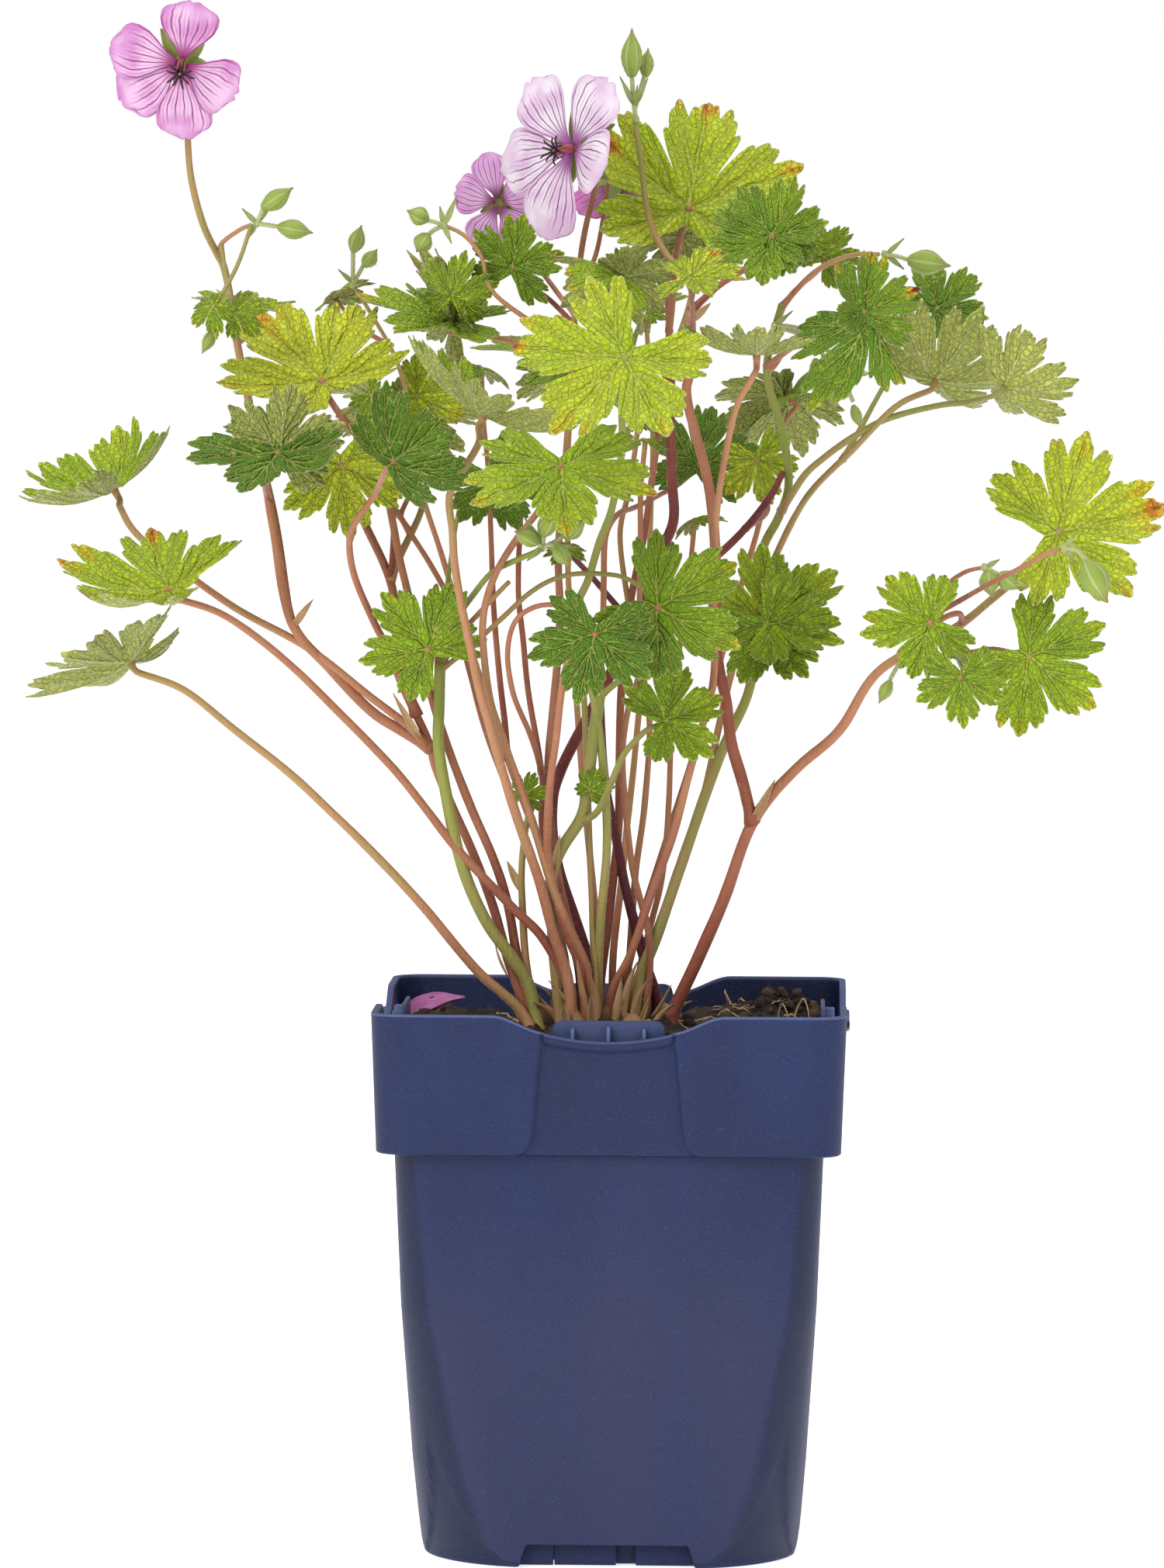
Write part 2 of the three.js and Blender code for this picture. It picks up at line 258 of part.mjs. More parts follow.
// ---------------------------------------------------------------- stalks and stems, grown from one crown
// Every path is on the elevation [x, depth, z], from the crown outwards. r is [at the foot, at the end].
const CROWN = [-3, -4, 152];
const STALKS = [
  { to: 'leaf_left_upper', r: [1.2, 1.0], from: [-52.5, -14, 223], via: [[-57.7, -14, 229], [-68.6, -13, 237.5], [-86, -12, 251], [-108, -8, 263], [-132, -4, 281], [-139, -2, 290]] },
  { to: 'leaf_left_middle', r: [1.5, 1.0], via: [[-13, -12, 156], [-20, -14, 169.6], [-29, -15, 178.5], [-44, -18, 194.4], [-58.7, -20, 213.2], [-68.6, -21, 223.6], [-90, -22, 245], [-108, -22, 259], [-121, -23, 264]] },
  { to: 'leaf_left_lower', r: [1.6, 1.0], via: [[-26.5, -12, 149.5], [-38.9, -14, 160.7], [-53.8, -18, 178.5], [-68.6, -19, 194.4], [-86, -19, 211], [-107, -18, 228], [-121, -16, 239]] },
  { to: 'leaf_left_bright', r: [1.5, 1.0], via: [[-27.5, -8, 164.6], [-30, -10, 179.5], [-34, -12, 192.4], [-40, -14, 206.3], [-45.8, -15, 221], [-52, -15, 238], [-57.5, -15, 264], [-60.5, -14, 277], [-62.5, -12, 287], [-65, -10, 297], [-70.4, -9, 307.5], [-77, -9, 316]] },
  { to: 'leaf_mid_underside', r: [1.7, 1.0], via: [[-13.2, -14, 158.7], [-17.1, -16, 170.6], [-21.1, -18, 186.4], [-27, -22, 203.3], [-32, -26, 219], [-37.7, -30, 237.2], [-40.7, -30, 252], [-43.2, -32, 264], [-45.1, -34, 275.8], [-45.6, -36, 284], [-46.6, -38, 293.7], [-43.2, -39, 300.6], [-38.6, -36, 309]] },
  { to: 'leaf_mid_half', r: [1.6, 0.8], via: [[-27.5, -8, 157], [-30, -9, 164], [-34, -10, 178.5], [-39, -11, 192.4], [-45.3, -12, 206.3], [-50.3, -12, 218], [-52.3, -12, 225], [-58.7, -13, 238], [-64.5, -15, 252], [-68.4, -17, 260], [-73.4, -22, 272], [-74.5, -28, 282], [-72, -33, 288], [-68, -36, 294]] },
  { to: 'leaf_centre_hung', r: [0.9, 0.8], from: [-63, -10, 270], via: [[-62.6, -10, 283], [-62.5, -10, 292], [-59.5, -10, 298], [-54.5, -10, 299.8], [-44, -11, 299.6]] },
  { to: 'leaf_mid_yellow', r: [1.1, 0.8], from: [-63, -10, 270], via: [[-60, -8, 279], [-54.6, -3, 290.7], [-53, 3, 303], [-56, 4, 314]] },
  { to: 'leaf_crown_bright', r: [1.4, 0.9], via: [[-4, 0, 155], [-1.3, 0, 176.5], [0.7, 1, 198.3], [1.2, 2, 218], [1.7, 3, 240], [4, 5, 265], [9, 6, 291], [13, 5, 324], [15, 3, 344], [15.5, 0, 353], [17, -3, 366]] },
  { to: 'leaf_centre_bright', r: [1.4, 1.0], via: [[-4.3, -8, 160], [-3.6, -12, 176], [-2.3, -14, 195], [-4, -16, 225], [-9, -18, 252], [-11, -20, 263], [-8, -22, 271], [-5, -24, 281], [-1, -27, 291], [1, -32, 305], [1.5, -44, 325]] },
  { to: 'leaf_right_umbrella', r: [1.3, 0.9], via: [[-0.5, -8, 155], [4.7, -10, 165.6], [10.6, -12, 182.5], [16.5, -16, 200], [23.5, -22, 226], [27.4, -26, 243], [27.2, -30, 267], [29, -38, 298], [33, -44, 318], [38, -48, 328]] },
  { to: 'leaf_right_pale', r: [1.3, 0.9], via: [[4.7, 0, 154], [13.6, 1, 176.5], [18.5, 2, 191.4], [25.4, 3, 212], [29.4, 4, 231], [33.4, 5, 248], [41, 6, 270], [53, 2, 294], [66, -10, 308], [78, -14, 320]] },
  { to: 'leaf_right_light', r: [1.1, 0.8], from: [46, 5, 290], via: [[52, -4, 300], [58, -8, 305.4], [66, -11, 311], [75.4, -13, 316], [90, -15, 320], [98, -15, 321]] },
  { to: 'leaf_far_right', r: [2.1, 1.0], via: [[17.5, -8, 151], [24.4, -10, 166.6], [31.4, -11, 182.5], [38.3, -12, 202.5], [51, -16, 218], [63, -20, 229], [74, -22, 246], [95, -22, 258], [105, -20, 266], [115, -17, 275]] },
  { to: 'leaf_right_low_a', r: [0.9, 0.8], from: [97, -22, 259], via: [[96, -28, 262], [92, -32, 261]] },
  { to: 'leaf_right_low_b', r: [0.9, 0.8], from: [89, -22, 254.5], via: [[97, -18, 251], [106, -19, 252]] },
  { to: 'leaf_right_low_c', r: [0.9, 0.7], from: [97, -18, 251], via: [[100.5, -27, 249.5], [101, -38, 247.5]] },
  { to: 'leaf_low_large', r: [1.4, 0.9], via: [[-9, -12, 160], [-13, -14, 171], [-18.3, -18, 190], [-19.1, -22, 200], [-18.1, -26, 213], [-16.6, -28, 225], [-15.4, -31, 237], [-14, -33, 246], [-11, -34, 252], [-6, -34, 257], [1, -33, 260.5], [7, -33, 262]] },
  { to: 'leaf_low_dark', r: [0.9, 0.7], from: [-20.6, -12, 216], via: [[-24, -20, 228], [-29, -27, 239], [-30.7, -32, 249], [-28.8, -36, 258], [-23.9, -38, 262.4], [-17.9, -40, 263.5], [-11, -42, 261.5]] },
  { to: 'leaf_low_small', r: [1.1, 0.8], from: [-9.2, -16, 203], via: [[-5.3, -19, 205.3], [-1.3, -24, 213.2], [2.7, -28, 222], [8.5, -33, 228.5]] },
  { to: 'leaf_low_left', r: [1.1, 0.8], from: [-49.3, -17, 245], via: [[-50.5, -16, 250.5]] },
  { to: 'leaf_low_right', r: [0.9, 0.8], from: [39.5, 4, 257], via: [[41, -4, 257]] },
  { to: 'leaf_centre_dark', r: [1.0, 0.7], from: [-4.3, -16, 238.5], via: [[-3.9, -16, 256], [-3.6, -16, 271], [-2.9, -14, 283], [0.4, -6, 289], [5, 8, 291], [11, 20, 294], [17, 28, 297]] },
  { to: 'leaf_centre_small', r: [0.9, 0.7], from: [41, -2, 281], via: [[42, 12, 290], [41, 19, 297]] },
  { to: 'leaf_centre_yellow', r: [1.4, 0.9], via: [[-7.2, -12, 158.7], [-8.2, -13, 163.6], [-13.2, -15, 174.5], [-19.1, -18, 189.4], [-25, -22, 208], [-31, -24, 225], [-35.2, -26, 237], [-37.2, -28, 252], [-37.2, -29, 260], [-35.7, -30, 267], [-32.8, -31, 274], [-27.8, -32, 282], [-22, -36, 290], [-19, -45, 296.5]] },
  { to: 'leaf_left_dark', r: [0.9, 0.7], from: [-101, -10, 300], via: [[-99, -18, 302], [-96, -26, 303]] },
  { to: 'leaf_mid_backlit', r: [0.9, 0.7], from: [-57.5, -6, 283], via: [[-64, -8, 293], [-71, -10, 299]] },
  { to: 'leaf_left_flat', r: [0.8, 0.6], from: [-108, 12, 338], via: [[-105, 19, 337]] },
  { to: 'leaf_left_edge', r: [0.8, 0.6], from: [-64, 26, 336], via: [[-72, 32, 341]] },
  { to: 'leaf_mid_low_sheet', r: [1.0, 0.7], from: [-13, -8, 330], via: [[-24, -4, 336], [-38, 0, 339]] },
  { to: 'leaf_mid_round', r: [0.9, 0.6], from: [-12, -8, 342], via: [[-20, 4, 350], [-27, 6, 354]] },
  { to: 'leaf_crown_edge', r: [0.9, 0.6], from: [-12, -8, 336], via: [[-8, -14, 340], [-3, -24, 346]] },
  { to: 'leaf_crown_right', r: [0.9, 0.7], from: [20.5, -22, 342], via: [[21, -32, 347]] },
  { to: 'leaf_crown_dark', r: [0.9, 0.6], from: [15, 3, 340], via: [[14, 12, 350], [16, 15, 360]] },
  { to: 'leaf_right_young', r: [1.1, 0.7], from: [20.5, -21, 346], via: [[28, -18, 353], [36, -17, 358], [41, -18, 362]] },
  { to: 'leaf_right_tuft', r: [0.8, 0.6], from: [41, -2, 341], via: [[48, 12, 350], [55, 20, 356]] },
  { to: 'leaf_right_folded', r: [1.0, 0.7], from: [41, -2, 330], via: [[52, -14, 338], [64, -28, 341]] },
  { to: 'leaf_right_back', r: [0.9, 0.6], from: [70, 0, 313], via: [[76, 12, 328], [85, 19, 342]] },
  { to: 'leaf_back_left', r: [1.2, 0.8], via: [[-8, 8, 162], [-30, 26, 220], [-50, 42, 280], [-59, 49, 308]] },
  { to: 'leaf_back_centre', r: [1.2, 0.8], via: [[-4, 8, 165], [-10, 30, 225], [-14, 48, 285], [-13, 57, 318]] },
  { to: 'leaf_back_right', r: [1.2, 0.8], via: [[4, 8, 162], [22, 28, 222], [38, 44, 280], [46, 51, 312]] },
];
// Flowering stems and side branches that end at a flower, a spray or another stem.
const STEMS = [
  { name: 'to_flower_left', r: [1.6, 0.9], from: [-52.5, -12, 223], via: [[-60, -12, 228], [-68.6, -12, 233.5], [-80, -12, 245], [-91, -12, 259], [-96, -6, 285], [-101, 6, 311], [-106, 12, 335], [-110, 6, 356], [-112, 2, 361], [-116, -3, 370], [-119.4, -4, 383], [-120.8, -4, 398]] },
  { name: 'left_thin', r: [1.0, 0.6], from: [-91, -12, 259], via: [[-95, -4, 285], [-99, 2, 304]] },
  { name: 'left_green', r: [1.9, 1.7], via: [[-24, -10, 156.7], [-29, -12, 164.6], [-36, -15, 174.5], [-43, -17, 190.4], [-47.3, -18, 208], [-49.8, -18, 223], [-49.5, -17, 236], [-49.3, -17, 247]] },
  { name: 'left_node_stem', r: [1.5, 1.1], from: [-56, -13, 232], via: [[-61, -12, 250], [-63, -10, 269], [-71.4, -6, 288.7], [-75, -2, 303]] },
  { name: 'crossing_brown', r: [1.1, 0.8], via: [[-14, -6, 165], [-22, -6, 190], [-29, -6, 208], [-36, -6, 226], [-41, -6, 245], [-44.6, -6, 260.5], [-51.6, -6, 274], [-57.5, -6, 283], [-62, -6, 290]] },
  { name: 'to_flower_front', r: [1.5, 0.8], via: [[-8, -6, 158], [-13, -7, 175], [-18, -8, 200], [-19, -8, 219], [-17.2, -8, 238], [-15.5, -8, 260], [-16, -8, 281], [-13, -8, 324], [-11.5, -8, 348], [-10.2, -9, 361], [-8.7, -10, 370], [-6.5, -9, 380]] },
  { name: 'to_flower_behind', r: [0.8, 0.6], from: [-12, -8, 345], via: [[-20, 4, 355], [-26, 12, 364]] },
  { name: 'to_flower_right', r: [0.8, 0.6], from: [-11.5, -8, 350], via: [[-6, 4, 362]] },
  { name: 'to_bud_top', r: [1.1, 0.8], from: [20.5, -22, 344], via: [[21, -22, 354], [14, -16, 361], [8.7, -12, 371], [6, -10, 389], [4.8, -10, 398]] },
  { name: 'crown_thick', r: [1.8, 1.4], from: [38, -12, 203], via: [[36.3, -14, 213], [32.4, -15, 225], [31, -15, 237], [28.6, -16, 248], [27.6, -17, 262], [27.6, -18, 276], [26.6, -18, 290.7], [24.7, -18, 302.6], [19.5, -20, 322], [20.7, -22, 331], [20.5, -22, 346]] },
  { name: 'green_right', r: [1.9, 1.1], via: [[7.6, -2, 158.7], [12.6, -1, 172.6], [17.5, 0, 186.4], [24.4, 1, 208], [30.4, 3, 224], [37.3, 4, 239], [39.5, 6, 256], [39.5, 8, 271], [41.5, 8, 281], [45.4, 6, 289], [48, 4, 298], [46, 2, 313], [42, 0, 330], [46, -4, 348]] },
  { name: 'to_bud_right', r: [0.9, 0.7], from: [46, -4, 347], via: [[54, -2, 356], [60, -2, 360], [66.4, -2, 362], [73, -3, 362]] },
  { name: 'to_buds_left', r: [0.8, 0.6], from: [-111, 3, 358], via: [[-111, 0, 364], [-106, -3, 368], [-102.5, -5, 369.5]] },
  { name: 'to_buds_mid', r: [0.8, 0.6], from: [-24, -4, 336], via: [[-34, -6, 350], [-38, -6, 361], [-43, -6, 367], [-48.5, -6, 369.5]] },
  { name: 'to_bud_hairy', r: [0.9, 0.7], from: [84, -22, 251], via: [[88, -21, 261], [93, -24, 264], [106, -42, 271], [118.7, -52, 278], [124, -53, 280]] },
  { name: 'to_buds_arch', r: [0.8, 0.6], from: [88, -22, 260], via: [[91.5, -24, 269], [97, -29, 273.5], [103, -34, 274.8]] },
  { name: 'to_bud_upright', r: [0.8, 0.6], from: [-61, -8, 288], via: [[-56, 12, 305], [-62, 27, 332], [-74, 24, 353]] },
  { name: 'centre_green', r: [1.9, 1.8], via: [[-16, -10, 158], [-17.1, -12, 172.6], [-17.6, -14, 186.4], [-15.1, -15, 194.4], [-9.2, -16, 204.3], [-7.7, -16, 213], [-5.7, -16, 228], [-4.3, -16, 239]] },
  { name: 'green_arch', r: [1.0, 0.8], from: [-4.3, -16, 238], via: [[-1, -18, 241], [4, -18, 245], [9, -18, 247.3], [16, -18, 248]] },
  { name: 'to_buds_centre', r: [1.0, 0.8], from: [-49.3, -17, 246], via: [[-45.6, -15, 257], [-42.7, -14, 263], [-35.7, -24, 271.5], [-29.8, -30, 275.4], [-22, -36.1, 278.7]] },
  { name: 'centre_light', r: [0.9, 0.7], from: [-49.3, -17, 245], via: [[-44.6, -17, 254], [-37.7, -20, 262], [-30, -24, 270]] },
  { name: 'arch_high', r: [0.8, 0.7], from: [-49.3, -17, 245], via: [[-41.7, -18, 251], [-32.8, -20, 259], [-23.9, -22, 267], [-15.9, -23, 271.4], [-8, -23, 272.8], [0.9, -22, 272], [6.8, -20, 269]] },
  { name: 'green_thin', r: [0.8, 0.6], from: [-49, -17, 246], via: [[-48.2, -14, 256], [-47.6, -10, 266], [-45.6, -10, 281], [-43.2, -10, 295.6]] },
  { name: 'green_centre', r: [1.1, 0.9], via: [[-5.2, -10, 160.7], [-5.7, -10, 168.6], [-6.2, -11, 184.4], [-7.2, -12, 201], [-8, -12, 225], [-9, -12, 250]] },
  { name: 'red_centre', r: [1.1, 0.8], via: [[-10, -6, 160], [-12.7, -6, 171.6], [-15.1, -8, 184.4], [-20.4, -9, 200.3], [-20.4, -10, 216], [-23.9, -10, 237], [-25.8, -10, 252], [-27.3, -10, 264], [-27.3, -10, 274], [-26.8, -8, 286], [-27, -8, 296]] },
  { name: 'dark_red', r: [1.7, 1.2], via: [[12, 0, 152], [8.6, 1, 163.6], [4.7, 1, 178.5], [0.7, 0, 196.3], [-2.3, -2, 210], [-3.8, -5, 228], [-4.5, -8, 245], [-5, -10, 258]] },
  { name: 'dark_main', r: [1.9, 1.5], via: [[-6, 3, 158], [-11, 3, 175], [-17, 3, 195], [-18, 3, 208], [-15, 3, 218], [-6.2, 3, 235], [2, 3, 251], [6.8, 3, 259], [9.8, 2, 274], [16.2, 0, 287], [15.5, -2, 300], [14.7, -4, 315], [15, -6, 330]] },
  { name: 'dark_diagonal', r: [1.4, 1.0], from: [6.8, 3, 259], via: [[11.8, 0, 266], [21.7, -2, 272.3], [29.6, -2, 278.8], [36.5, -2, 285.7], [43, 0, 294], [46.5, 3, 301]] },
  { name: 'dark_left', r: [1.0, 0.8], from: [6.8, 3, 259], via: [[1.9, 0, 261.4], [-8, -8, 272.8], [-14, -16, 279]] },
  { name: 'tan_left', r: [1.1, 0.8], via: [[10, -4, 160], [9.6, -4, 172], [7.6, -5, 180.5], [4.7, -6, 192.4], [2.7, -6, 206], [2.2, -7, 223], [3.7, -7, 235], [6.6, -7, 246], [6.8, -6, 272], [7, -6, 293], [8, -6, 310]] },
  { name: 'tan_middle', r: [1.1, 0.8], via: [[4, 4, 160], [6.1, 4, 188.4], [8.1, 4, 208], [9.6, 4, 228], [8, 4, 242], [4, 5, 262], [1, 5, 283], [4, 5, 297], [6, 5, 315]] },
  { name: 'tan_right', r: [1.0, 0.8], via: [[7, 6, 160], [10.6, 6, 174.5], [13.6, 6, 188.4], [15, 6, 208], [15.5, 7, 225], [17, 8, 245], [20, 10, 268], [22, 11, 288]] },
  { name: 'shoot', r: [1.3, 0.9], via: [[-24, -9, 160], [-25.6, -11, 176.5], [-26.2, -13, 187], [-25.4, -15, 198], [-23.4, -17, 209]] },
  { name: 'back_tall', r: [1.2, 0.7], via: [[0, 8, 165], [6, 24, 230], [10, 34, 300], [8, 36, 345]] },
  { name: 'back_side', r: [1.0, 0.7], from: [-30, 26, 220], via: [[-34, 30, 260], [-36, 32, 300], [-38, 30, 330]] },
];
// Dry papery stipules on the crown: [foot, tip, half width]
const STIPULES = [
  [[-10, -10, 150], [-27, -14, 166], 2.2], [[-9, -12, 150], [-20, -18, 171], 2.4], [[-5, -13, 150], [-9, -21, 170], 2.4],
  [[0, -13, 150], [4, -20, 168], 2.2], [[5, -10, 150], [15, -16, 168], 2.2], [[8, -4, 150], [24, -6, 164], 2.0],
  [[-12, 0, 150], [-30, 2, 163], 2.0], [[-8, 6, 150], [-16, 17, 166], 2.2], [[1, 8, 150], [5, 19, 167], 2.2],
  [[-7, -12, 152], [-14, -20, 176], 2.0], [[3, -12, 152], [10, -18, 175], 2.0], [[-12, -6, 151], [-34, -10, 160], 1.8],
  [[38.3, -13, 203], [46, -16, 217], 1.0], [[38, -12, 204], [34, -16, 216], 0.9], [[-54, -13, 225], [-64, -18, 241], 0.9],
  [[-26, -12, 184], [-31, -14, 193], 1.0], [[-17.6, -14, 188], [-15, -18, 201], 0.9], [[-30, -10, 165], [-37, -13, 171], 1.0],
  [[-91, -13, 258], [-84, -16, 266], 0.9], [[20.5, -22, 344], [27, -24, 349], 0.9], [[41, 2, 330], [49, -4, 338], 0.9],
];
const leafSolids = Object.fromEntries(Object.entries(LEAVES).map(([name, list]) => [name, union(list.map(blade), 0.2)]));
const SEAT = 0.36; // how far a piece is set off the one that carries it; merging takes a little of it
// Lets a piece down until it lies a seat's width above what it rests on.
function letDown(piece, on) {
  let z = 0;
  while (z > -12 && piece.translate([0, 0, z - 0.1]).minGap(on, 2) >= SEAT) z -= 0.1;
  return piece.translate([0, 0, z]);
}
function crownStems() {
  const parts = [];
  const foot = place(CROWN);
  parts.push(drop(V(0, 0, 137), V(0, 0, 162), [[0.06, 12], [0.35, 18], [0.62, 15.5], [0.87, 9]], 10).scale([1.35, 0.95, 1]).translate([foot.x, foot.y, 0]));
  const lines = []; // centre lines of what has grown so far; a branch starts on the nearest one
  const nearest = (p) => {
    let best = null, far = Infinity;
    lines.forEach((l) => { for (let i = 0; i < l.length - 1; i++) {
      const seg = new THREE.Line3(l[i], l[i + 1]), q = seg.closestPointToPoint(p, true, V(0, 0, 0)), d = q.distanceTo(p);
      if (d < far) { far = d; best = q; }
    } });
    return best;
  };
  // end(d) gives the last points of a path that stops d below what it carries
  const run = (s, end) => {
    const via = s.via.map(place), spread = (d, k, most) => Math.max(-most, Math.min(most, d * k));
    const root = s.from ? nearest(place(s.from)) : V(foot.x + spread(via[0].x - foot.x, 0.85, 19), foot.y + spread(via[0].y - foot.y, 1.1, 12), 147);
    let path, stem;
    for (let d = 0.6; d < 5; d += 0.05) {
      path = straighten(catmull([root, ...via, ...end(d)], 1), s.r[0] > 1.35 ? 1.6 : 2.2);
      stem = tube(path, (t) => s.r[0] + (s.r[1] - s.r[0]) * t, s.r[0] > 1.35 ? 4 : 3);
      const carried = leafSolids[s.to] || calyces[s.name?.slice(3)];
      if (!carried || stem.minGap(carried, 1) >= SEAT) break;
    }
    lines.push(path);
    parts.push(stem);
    if (s.from && s.r[0] > 0.95) parts.push(drop(root.clone().add(V(0, 0, -2.4)), root.clone().add(V(0, 0, 2.4)), [[0.5, s.r[0] * 1.45]], 5));
  };
  // stems and stalks from the crown come first, then what branches off them
  const tips = STALKS.map((s) => { const f = leafFrame(LEAVES[s.to][0]); return [s, (d) => [d + 3, d].map((q) => f.at.clone().addScaledVector(f.n, -q))]; });
  const calyces = Object.fromEntries(Object.keys(FLOWERS).map((name) => [name, flowerCalyx(name)]));
  const neck = (name, d) => { const f = flowerFrame(FLOWERS[name]); return [d + 9, d + 4.9].map((q) => f.at.clone().addScaledVector(f.n, -q)); };
  const all = [...STEMS.map((s) => [s, (d) => (FLOWERS[s.name.slice(3)] ? neck(s.name.slice(3), d) : [])]), ...tips];
  [...all.filter(([s]) => !s.from), ...all.filter(([s]) => s.from)].forEach(([s, end]) => run(s, end));
  FUSED_SPRAYS.forEach((k) => parts.push(spray(SPRAYS[k])));
  STIPULES.forEach(([a, b, w]) => parts.push(lance(a[2] > 180 ? nearest(place(a)) : place(a), place(b), w, 0.6)));
  return union(parts, 0.25);
}

// ---------------------------------------------------------------- flowers
// at: centre [x, depth, z]; face: way the flower looks; up: way its first petal lies;
// petals: [turn from up in degrees, length, width, lift above the flat in radians]
const FLOWERS = {
  flower_left: { at: [-122, -14, 414.5], face: [0.02, -0.95, -0.2], up: [0.05, 0, 1], len: 18,
    petals: [[-12, 20, 17, 0.25], [70, 21, 16, 0.25], [126, 21, 16, 0.2], [190, 22, 16, 0.25], [243, 18, 17, 0.35]] },
  flower_front: { at: [-12.5, -20, 391], face: [-0.55, -0.8, 0.1], up: [0, 0, 1], len: 22,
    petals: [[-21, 24, 20, 0.45], [30, 26, 19, 0.3], [99, 28, 19, 0.2], [161, 27, 20, 0.3], [250, 17, 19, 0.5]] },
  flower_behind: { at: [-33, 12, 376], face: [-0.5, -0.75, -0.1], up: [0, 0, 1], len: 16,
    petals: [[8, 15, 13, 0.3], [75, 15, 12, 0.3], [149, 16, 13, 0.3], [217, 14, 12, 0.3], [289, 14, 12, 0.4]] },
  flower_right: { at: [0, 12, 382], face: [0.15, 0.7, -0.5], up: [0, 0, 1], len: 16,
    petals: [[20, 11, 12, 0.4], [95, 14, 12, 0.4], [160, 14, 13, 0.2], [225, 15, 13, 0.2], [290, 13, 12, 0.4]] },
};
function flowerFrame(f) {
  const n = V(...f.face).normalize(), u = V(...f.up); u.addScaledVector(n, -u.dot(n)).normalize();
  return { at: place(f.at), n, u, s: new THREE.Vector3().crossVectors(n, u) };
}
const PETAL_WIDTH = [0.1, 0.72, 1.0, 0.72]; // part of the full width at each third of the length
function petal(frame, [turn, len, width, lift], seed) {
  const rnd = rand(seed), a = turn * Math.PI / 180, U = 3, W = 2, mids = [];
  const d = frame.u.clone().multiplyScalar(Math.cos(a)).addScaledVector(frame.s, Math.sin(a));
  const side = new THREE.Vector3().crossVectors(frame.n, d);
  for (let i = 0; i <= U; i++) for (let j = 0; j <= W; j++) {
    const u = i / U, w = 2 * j / W - 1;
    const rounded = i === U ? 1 - 0.19 * w * w : 1;
    const along = (1.3 + (len - 1.3) * u) * rounded, across = w * PETAL_WIDTH[i] * width / 2;
    const bowl = lift * along - 0.012 * along * along + 0.22 * Math.abs(across) * (0.6 - u) + 0.35 * Math.sin(3 * w + 5 * u + seed) * u * u;
    mids.push(frame.at.clone().addScaledVector(d, along * Math.cos(lift * 0.6)).addScaledVector(side, across).addScaledVector(frame.n, bowl + 0.25 * (rnd() - 0.5) * u));
  }
  const tri = [], id = (i, j) => i * (W + 1) + j;
  for (let i = 0; i < U; i++) for (let j = 0; j < W; j++) {
    tri.push([id(i, j), id(i + 1, j), id(i + 1, j + 1)], [id(i, j), id(i + 1, j + 1), id(i, j + 1)]);
  }
  const nor = mids.map(() => V(0, 0, 0));
  tri.forEach(([p, q, r]) => { const x = new THREE.Vector3().crossVectors(mids[q].clone().sub(mids[p]), mids[r].clone().sub(mids[p])); [p, q, r].forEach((k) => nor[k].add(x)); });
  nor.forEach((x) => x.normalize());
  const M = mids.length;
  const pts = [...mids.map((p, k) => p.clone().addScaledVector(nor[k], 0.4)), ...mids.map((p, k) => p.clone().addScaledVector(nor[k], -0.4))];
  const loop = [];
  for (let i = 0; i < U; i++) loop.push(id(i, 0));
  for (let j = 0; j < W; j++) loop.push(id(U, j));
  for (let i = U; i > 0; i--) loop.push(id(i, W));
  for (let j = W; j > 0; j--) loop.push(id(0, j));
  const faces = [...tri, ...tri.map(([p, q, r]) => [p + M, r + M, q + M])];
  loop.forEach((p, k) => { const q = loop[(k + 1) % loop.length]; faces.push([p, p + M, q + M], [p, q + M, q]); });
  return solid(pts, faces);
}
function flowerPetals(name, k) {
  const f = FLOWERS[name], frame = flowerFrame(f);
  const hub = drop(frame.at.clone().addScaledVector(frame.n, -0.7), frame.at.clone().addScaledVector(frame.n, 0.9), [[0.3, 1.9], [0.7, 1.9]], 7);
  return union([hub, ...f.petals.map((p, i) => petal(frame, p, 10 * k + i))], 0.1);
}
function flowerCalyx(name) {
  const f = FLOWERS[name], frame = flowerFrame(f), c = frame.at.clone().addScaledVector(frame.n, -2.6);
  const parts = [drop(c.clone().addScaledVector(frame.n, -2.8), c.clone().addScaledVector(frame.n, 1.55), [[0.35, 1.5], [0.8, 2.1]], 5)];
  for (let i = 0; i < 5; i++) {
    const a = (36 + 72 * i) * Math.PI / 180;
    const d = frame.u.clone().multiplyScalar(Math.cos(a)).addScaledVector(frame.s, Math.sin(a));
    parts.push(lance(c.clone().addScaledVector(d, 0.6), c.clone().addScaledVector(d, f.len * 0.5).addScaledVector(frame.n, -1.5), 1.8, 0.5));
  }
  return union(parts);
}
function flowerColumn(name) {
  const f = FLOWERS[name], frame = flowerFrame(f);
  const a = frame.at.clone().addScaledVector(frame.n, 1.3), b = frame.at.clone().addScaledVector(frame.n, 8.5).addScaledVector(frame.u, -1.5);
  const parts = [tube(catmull([a, a.clone().lerp(b, 0.5), b], 1), (t) => 1.1 - 0.3 * t, 4)];
  for (let i = 0; i < 5; i++) {
    const g = 2 * Math.PI * i / 5, out = frame.u.clone().multiplyScalar(Math.cos(g)).addScaledVector(frame.s, Math.sin(g));
    const e = b.clone().addScaledVector(out, 2.4).addScaledVector(frame.n, 0.6);
    parts.push(drop(b.clone().addScaledVector(frame.n, -1.2), e, [[0.7, 0.75]], 4));
  }
  return union(parts);
}

